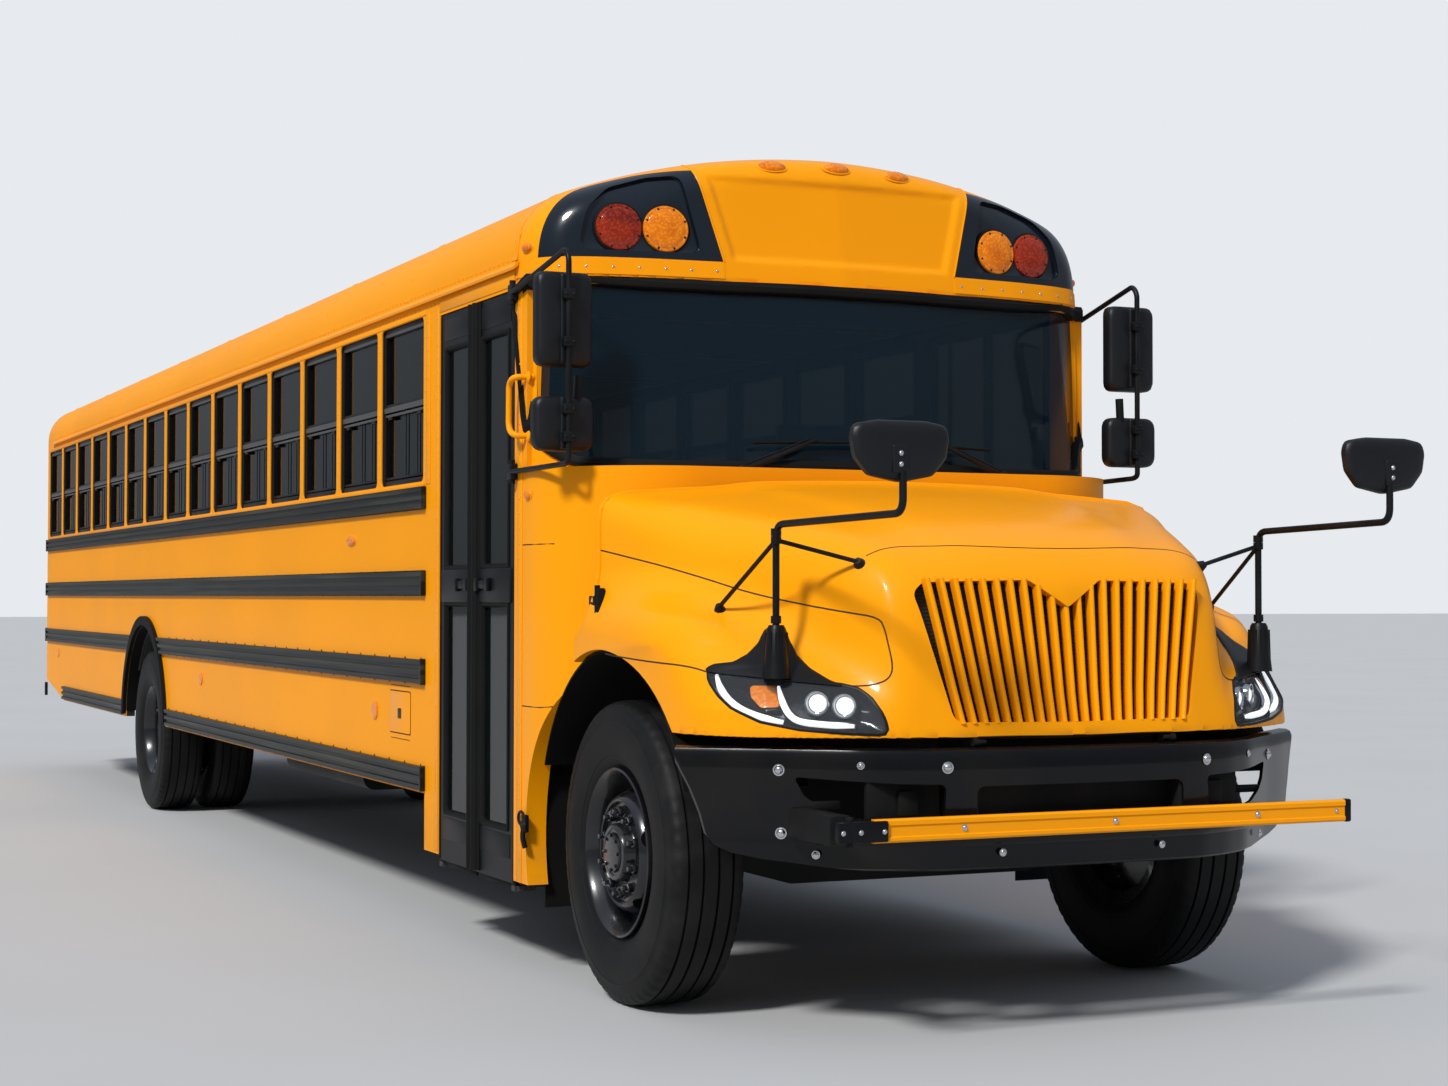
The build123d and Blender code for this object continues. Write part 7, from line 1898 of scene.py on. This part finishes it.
# %% Rivets from nodes
def rivet_tree(finish):
    """A node tree that sets domes along edges, `Pitch` apart."""
    tree = bpy.data.node_groups.new("rivets", "GeometryNodeTree")
    for socket, way, kind in (("Rows", "INPUT", "Geometry"), ("Pitch", "INPUT", "Float"),
                              ("Size", "INPUT", "Float"), ("Rivets", "OUTPUT", "Geometry")):
        tree.interface.new_socket(socket, in_out=way, socket_type="NodeSocket" + kind)

    def node(kind, **settings):
        made = tree.nodes.new(kind)
        for key, value in settings.items():
            setattr(made, key, value)
        return made

    given, result = node("NodeGroupInput"), node("NodeGroupOutput")
    rows, spaced = node("GeometryNodeMeshToCurve"), node("GeometryNodeResampleCurve", mode="LENGTH")
    outward = node("GeometryNodeInputNamedAttribute", data_type="FLOAT_VECTOR")
    outward.inputs["Name"].default_value = "outward"
    turn = node("FunctionNodeAlignRotationToVector", axis="Z")
    ball = node("GeometryNodeMeshUVSphere")
    ball.inputs["Segments"].default_value = 10
    ball.inputs["Rings"].default_value = 6
    flat = node("GeometryNodeTransform")
    flat.inputs["Scale"].default_value = (1, 1, 0.5)
    copies, plain = node("GeometryNodeInstanceOnPoints"), node("GeometryNodeRealizeInstances")
    soft, paint = node("GeometryNodeSetShadeSmooth"), node("GeometryNodeSetMaterial")
    paint.inputs["Material"].default_value = finish.material
    for source, out, target, into in (
            (given, "Rows", rows, "Mesh"), (rows, 0, spaced, "Curve"),
            (given, "Pitch", spaced, "Length"), (outward, 0, turn, "Vector"),
            (given, "Size", ball, "Radius"), (ball, "Mesh", flat, "Geometry"),
            (spaced, 0, copies, "Points"), (flat, 0, copies, "Instance"),
            (turn, 0, copies, "Rotation"), (copies, 0, plain, "Geometry"),
            (plain, 0, soft, "Geometry"), (soft, 0, paint, "Geometry"),
            (paint, 0, result, "Rivets")):
        tree.links.new(source.outputs[out], target.inputs[into])
    return tree


def rivets(name, rows, pitch, size, finish):
    """Rivets along rows of (place, outward) pairs, as one plain mesh."""
    points, edges, ways = [], [], []
    for row in rows:
        start = len(points)
        points += [tuple(p) for p, _ in row]
        ways += [tuple(n) for _, n in row]
        edges += [(start + k, start + k + 1) for k in range(len(row) - 1)]
    lines = bpy.data.meshes.new(name)
    lines.from_pydata(points, edges, [])
    outward = lines.attributes.new("outward", "FLOAT_VECTOR", "POINT")
    outward.data.foreach_set("vector", np.array(ways).ravel())
    holder = linked("rows", lines)
    tree = rivet_tree(finish)
    modifier = holder.modifiers.new("rivets", "NODES")
    modifier.node_group = tree
    for socket in tree.interface.items_tree:
        if socket.in_out == "INPUT" and socket.name in ("Pitch", "Size"):
            modifier[socket.identifier] = pitch if socket.name == "Pitch" else size
    holder.update_tag()
    graph = bpy.context.evaluated_depsgraph_get()
    mesh = bpy.data.meshes.new_from_object(holder.evaluated_get(graph))
    bpy.data.objects.remove(holder)
    show(name, mesh, finish)
    return len(mesh.polygons)


print("rivet tools ready")

# %% Lay the rivet rows
rows, dark_rows, cap_rows = [], [], []
for side in (-1, 1):
    out = Vector((side, 0, 0))
    for z in (2.622, 2.685):
        rows.append([(Vector((side * 1.2205, y, z)), out) for y in (aft(0.86), 6.7)])
    for low, high, back in ((0.37, 2.56, 0.771), (0.4, 2.56, 1.794), (1.9, 2.56, 1.927)):
        rows.append([(Vector((side * 1.2228, aft(back), z)), out) for z in (low, high)])
    for k in range(ROWS + 1):
        rows.append([(Vector((side * ON_SHEET, aft(FIRST + k * PITCH), z)), out)
                     for z in (1.93, 2.56)])
    for low, high in RAILS:
        for z in (low - 0.003, high + 0.003):
            last = WALL_END if low > 1.2 else 1.9
            dark_rows.append([(Vector((side * 1.2205, y, z)), out)
                              for y in (aft(FIRST) + 0.05, last)])
    spots = [on_cap.nearest(on_front(side * x, BAND_Z, 0.002)) for x in np.linspace(0.53, 1.12, 8)]
    cap_rows.append([(p + n * 0.003, n) for p, n in spots])
for line in bow_lines:
    for shift in (-0.016, 0.016):
        rows.append([(spot + Vector((0, shift, 0)) + normal * 0.002, normal)
                     for spot, normal in line])
faces = rivets("body_rivets", rows, 0.055, 0.0045, yellow)
faces += rivets("rail_rivets", dark_rows, 0.23, 0.0055, rail_black)
faces += rivets("cap_rivets", cap_rows, 0.09, 0.006, bright_metal)
print("rivet faces:", faces)

# %% [markdown]
# ## Seats
# Each bench is a foam cushion in vinyl. One slim block is blown up a little by the cloth
# solver, with gravity off and every point held within a few millimetres, so its faces crown
# and its sides pull in. The same form is then set down at each place.

# %% Puff a block
def puffed(name, size, edge, voxel, reach):
    """A block of this size whose faces crown like filled vinyl, as arrays of points and faces."""
    block = Shape().brick([-s / 2 for s in size], [s / 2 for s in size], edge).mesh(name)
    form = linked(name, block)
    remesh = form.modifiers.new("even", "REMESH")
    remesh.mode, remesh.voxel_size = "VOXEL", voxel
    graph = bpy.context.evaluated_depsgraph_get()
    even = bpy.data.meshes.new_from_object(form.evaluated_get(graph))
    form.modifiers.clear()
    form.data = even
    start = np.array([v.co for v in even.vertices])
    moved = start
    cloth = form.modifiers.new("cloth", "CLOTH")
    cloth.settings.quality = 4
    cloth.settings.tension_stiffness = 30
    cloth.settings.compression_stiffness = 30
    cloth.settings.use_pressure = True
    cloth.settings.uniform_pressure_force = 4.0
    cloth.settings.effector_weights.gravity = 0.0
    cloth.collision_settings.use_self_collision = False
    cloth.point_cache.frame_end = 20
    for moment in range(1, 21):
        bpy.context.scene.frame_set(moment)
    graph = bpy.context.evaluated_depsgraph_get()
    moved = np.array([v.co for v in form.evaluated_get(graph).data.vertices])
    bpy.context.scene.frame_set(1)
    shift = moved - start
    length = np.linalg.norm(shift, axis=1, keepdims=True)
    points = start + shift * np.minimum(1, reach / np.maximum(length, 1e-9))
    faces = [list(f.vertices) for f in even.polygons]
    bpy.data.objects.remove(form)
    return points, faces


print("padding tool ready")

# %% Passenger benches
SEAT_ROWS, SEAT_PITCH, SEAT_FIRST, SEAT_W, SEAT_D = 14, 0.72, 2.35, 0.98, 0.4
SEAT_TOP, SEAT_DEEP, SEAT_X, FLOOR = 1.42, 0.11, 0.659, 0.95
BACK_TOP, BACK_DEEP, BACK_LEAN = 2.02, 0.075, 0.07
cushion_points, cushion_faces = puffed("cushion", (SEAT_W - 0.03, SEAT_D - 0.02, SEAT_DEEP - 0.025),
                                       0.022, 0.03, 0.012)
back_points, back_faces = puffed("backrest",
                                 (SEAT_W - 0.03, BACK_DEEP - 0.022, BACK_TOP - SEAT_TOP + 0.08),
                                 0.02, 0.03, 0.011)
cushions, backs, legs, piping = Shape(), Shape(), Shape(), Shape()
tall = BACK_TOP - SEAT_TOP + SEAT_DEEP
for row in range(SEAT_ROWS):
    front = aft(SEAT_FIRST + row * SEAT_PITCH)
    for side in (-1, 1):
        cushions.add(cushion_points + (side * SEAT_X, front + SEAT_D / 2, SEAT_TOP - SEAT_DEEP / 2),
                     cushion_faces)
        leaning = back_points.copy()
        leaning[:, 1] += (leaning[:, 2] / tall + 0.5) * BACK_LEAN + BACK_DEEP / 2
        backs.add(leaning + (side * SEAT_X, front + SEAT_D, (SEAT_TOP - SEAT_DEEP + BACK_TOP) / 2),
                  back_faces)
        for x in (side * 0.269, side * 1.1):
            for y in (front + 0.07, front + 0.33):
                legs.bar([(x, y, FLOOR), (x, y, SEAT_TOP - SEAT_DEEP + 0.005)], 0.0125, 8)
            legs.bar([(x, front + 0.02, SEAT_TOP - SEAT_DEEP),
                      (x, front + 0.4, SEAT_TOP - SEAT_DEEP)], 0.0125, 8)
        edge = [Vector((side * SEAT_X + a * (SEAT_W / 2 - 0.03),
                        front + SEAT_D + BACK_DEEP * 0.5 + BACK_LEAN * b,
                        SEAT_TOP + (BACK_TOP - SEAT_TOP) * b))
                for a, b in ((-1, 0.05), (-1, 0.975), (1, 0.975), (1, 0.05))]
        piping.bar(bend(edge, 0.05, 4), 0.006, 6)
bench = show("bench_cushions", cushions, vinyl, "root", "seat_cushions", angle=50)
rests = show("bench_backs", backs, vinyl, "root", "seat_backs", angle=50)
show("bench_legs", legs, satin_black)
show("bench_piping", piping, vinyl)
print("benches:", 2 * SEAT_ROWS, "points in a cushion:", len(cushion_points))

# %% Driver's seat
driver_x = 0.56
seat_points, seat_faces = puffed("driver_cushion", (0.46, 0.44, 0.095), 0.03, 0.022, 0.014)
rest_points, rest_faces = puffed("driver_rest", (0.44, 0.085, 0.7), 0.03, 0.022, 0.014)
rest_points[:, 1] += rest_points[:, 2] * 0.17
throne = Shape().add(seat_points + (driver_x, aft(1.47), 1.442), seat_faces)
throne.add(rest_points + (driver_x, aft(1.765), 1.84), rest_faces)
throne = show("driver_seat_pads", throne, vinyl, "root", "driver_seat", angle=50)
stand = Shape().brick((driver_x - 0.17, aft(1.3), FLOOR), (driver_x + 0.17, aft(1.64), 1.392), 0.03)
stand.brick((driver_x - 0.2, aft(1.26), 1.372), (driver_x + 0.2, aft(1.69), 1.398), 0.01)
show("driver_seat_stand", stand, satin_black)
print("driver seat placed")

# %% [markdown]
# ## Rear, stop sign, arch liners and wipers
# Rubber strips hold the rear panes, the emergency door has its lever and hinges, and the
# folded sign on the driver's side stays blank: a red octagon with a pale border.

# %% Rear and sign details
def pane_ring(shape, place, width, height, radius=0.04):
    """A rubber strip round a pane."""
    outer = box_outline(width + 0.03, height + 0.03, radius + 0.01, 5)
    inset = ((0, -0.004), (0, 0.006), (0.01, 0.01), (0.024, 0.007), (0.03, -0.01))
    levels = [(inward(outer, shift) if shift else outer, depth) for shift, depth in inset]
    return shape.layers(place, levels)


door_ring, rear_rings, lever = Shape(), Shape(), Shape()
pane_ring(door_ring, facing_rear((0, BODY_END, 1.745)), 0.7, 1.36)
for side in (-1, 1):
    pane_ring(rear_rings, facing_rear((side * 0.8075, BODY_END, 2.207)), 0.545, 0.626)
lever.brick((-0.4, BODY_END - 0.002, 1.0), (-0.31, BODY_END + 0.012, 1.045), 0.004)
lever.bar(bend([(-0.355, BODY_END + 0.01, 1.022), (-0.355, BODY_END + 0.045, 1.022),
                (-0.22, BODY_END + 0.045, 1.022)], 0.02), 0.009, 10)
for z in (1.2, 1.75, 2.3):
    lever.bar([(0.442, BODY_END + 0.006, z - 0.05), (0.442, BODY_END + 0.006, z + 0.05)], 0.011, 12)
show("rear_door_ring", door_ring, rubber, "emergency_door")
show("rear_pane_rings", rear_rings, rubber)
show("rear_door_lever", lever, satin_black, "emergency_door")
print("rear door trimmed")

# %% Stop sign
SIGN_AT, SIGN_FLAT = Vector((1.2756, -3.32, 1.64)), 0.2225
SIGN_CORNER = SIGN_FLAT / cos(pi / 8)
octagon = [(SIGN_CORNER * cos(pi / 8 + k * pi / 4), SIGN_CORNER * sin(pi / 8 + k * pi / 4))
           for k in range(8)]
on_sign = seat(SIGN_AT, (0, 1, 0), (0, 0, 1))
border, sign_lamps = Shape(), Shape()
inner_edge = inward(octagon, 0.017)
border.layers(on_sign,
              [(octagon, -0.001), (octagon, 0.0006), (inner_edge, 0.0006), (inner_edge, -0.001)])
for z in (-0.165, 0.165):
    sign_lamps.turned([(0.0, -0.004)] + [(r * 0.4, d * 0.9) for r, d in LENS],
                      on_sign @ Matrix.Translation((0, z, 0.002)), 32)
sign_white = Finish("sign_white", (0.75, 0.75, 0.73), 0.4)
sign_white.put("Roughness", sign_white.noise(12.0, 2.0) * 0.2 + 0.3)
show("sign_border", border, sign_white, "stop_sign")
show("sign_lamps", sign_lamps, red_lens, "stop_sign", angle=40)
print("sign stays blank")

# %% Arch liners
def arch_liner(shape, centre_y, radius, x_in, x_out, start, end):
    rings = []
    for k in range(49):
        turn = radians(start + (end - start) * k / 48)
        section = ((x_in, radius + 0.008), (x_out, radius + 0.008), (x_out, radius), (x_in, radius))
        rings.append([Vector((x, centre_y + r * cos(turn), TYRE_R + r * sin(turn)))
                      for x, r in section])
    return shape.skin(rings)


rear_liner, front_liner = Shape(), Shape()
for side in (-1, 1):
    arch_liner(rear_liner, REAR_AXLE, 0.684, side * 1.1, side * SHEET_IN, 8, 172)
    arch_liner(front_liner, FRONT_AXLE, 0.691, side * 0.72, side * 1.165, 22, 158)
show("rear_arch_liners", rear_liner, rubber)
show("front_arch_liners", front_liner, rubber, "hood")
print("liners placed")

# %% Wipers
blade_bars, arms = Shape(), Shape()
for pivot_x, tip_x in ((-0.52, 0.02), (0.6, 0.02)):
    way = 1 if tip_x > pivot_x else -1
    base = on_shield(pivot_x, 1.875, 0.012)
    arms.turned([(0.0, -0.02), (0.02, -0.02), (0.02, 0.012), (0.013, 0.02), (0.0, 0.021)],
                seat(base, (1, 0, 0), (0, 0.25, 1)), 20)
    knee = on_shield(pivot_x + way * 0.27, 1.985, 0.035)
    tip = on_shield(pivot_x + way * 0.3, 1.995, 0.03)
    arms.bar([base + Vector((0, -0.012, 0.0)), knee, tip], (0.011, 0.007, 0.006), 8)
    arms.bar([base + Vector((0, -0.006, 0.018)), knee + Vector((0, 0.006, 0.012))], 0.0035, 6)
    low, high = pivot_x + way * 0.05, pivot_x + way * 0.62
    line = [on_shield(x, 1.985 + 0.028 * (abs(x - pivot_x) - 0.3), 0.013)
            for x in np.linspace(low, high, 20)]
    blade_bars.bar(line, 0.0055, 8)
    blade_bars.bar([p + Vector((0, -0.012, 0.0)) for p in line[3:-3]], 0.0045, 8)
show("wiper_arms", arms, satin_black, "root", "wipers")
show("wiper_blades", blade_bars, rubber)
print("rear, sign and wipers done")

# %% [markdown]
# ## Camera, floor and light
# The camera stands where the photographer stood, a little above waist height at the bus's
# right front corner. A pale floor and a wide soft sky light it like a studio, with one large
# soft key from the entrance side.

# %% Camera
CAMERA_AT = (-4.1537, -13.0399, 1.4073)
FOCAL_PIXELS, PHOTO_WIDE, SENSOR = 2345.458, 1448, 36.0
YAW, PITCH, ROLL = radians(24.4051), radians(1.3129), radians(0.067)
camera = linked("photo_camera", bpy.data.cameras.new("photo_camera"))
camera.data.sensor_width = SENSOR
camera.data.lens = FOCAL_PIXELS / PHOTO_WIDE * SENSOR
camera.location = CAMERA_AT
camera.rotation_euler = (Matrix.Rotation(-YAW, 3, "Z") @ Matrix.Rotation(pi / 2 + PITCH, 3, "X")
                         @ Matrix.Rotation(ROLL, 3, "Z")).to_euler()
camera.data.clip_end = 400.0
bpy.context.scene.camera = camera
print("lens:", round(camera.data.lens, 2), "mm")

# %% Floor
floor_pale = Finish("pale_floor", (0.5, 0.5, 0.49), 0.85, Specular_IOR_Level=0.1)
floor_pale.put("Base Color",
               floor_pale.blend(floor_pale.noise(0.5, 3.0), (0.47, 0.47, 0.46),
                                (0.52, 0.515, 0.505)))
ground = bpy.data.meshes.new("ground")
ground.from_pydata([(-150, -150, 0), (150, -150, 0), (150, 150, 0), (-150, 150, 0)], [],
                   [(0, 1, 2, 3)])
ground.materials.append(floor_pale.material)
linked("ground", ground)
print("floor laid")

# %% Sky and key light
world = bpy.data.worlds.new("studio")
bpy.context.scene.world = world
world.use_nodes = True
sky = world.node_tree
background = sky.nodes["Background"]
height = sky.nodes.new("ShaderNodeSeparateXYZ")
sky.links.new(sky.nodes.new("ShaderNodeTexCoord").outputs["Generated"], height.inputs[0])
ramp = sky.nodes.new("ShaderNodeValToRGB")
stops = ramp.color_ramp.elements
for stop, position, tint in zip(stops, (0.42, 0.95), ((0.16, 0.15, 0.13, 1), (0.5, 0.56, 0.68, 1))):
    stop.position, stop.color = position, tint
stops.new(0.52).color = (0.2, 0.22, 0.24, 1)
level = sky.nodes.new("ShaderNodeMapRange")
level.inputs["From Min"].default_value = -1.0
seen = sky.nodes.new("ShaderNodeLightPath")
choose = sky.nodes.new("ShaderNodeMix")
choose.data_type = "RGBA"
choose.inputs[7].default_value = (0.8, 0.83, 0.86, 1)
for source, target in (
        (height.outputs["Z"], level.inputs["Value"]), (level.outputs[0], ramp.inputs[0]),
        (seen.outputs["Is Camera Ray"], choose.inputs[0]), (ramp.outputs[0], choose.inputs[6]),
        (choose.outputs[2], background.inputs[0])):
    sky.links.new(source, target)
background.inputs[1].default_value = 1.0

key = linked("key", bpy.data.lights.new("key", "SUN"))
key.data.energy = 3.1
key.data.angle = radians(9)
key.rotation_euler = Vector((0.6, 0.42, -0.68)).to_track_quat("-Z", "Y").to_euler()
bpy.context.scene.view_settings.view_transform = "Standard"
print("key light energy:", key.data.energy)
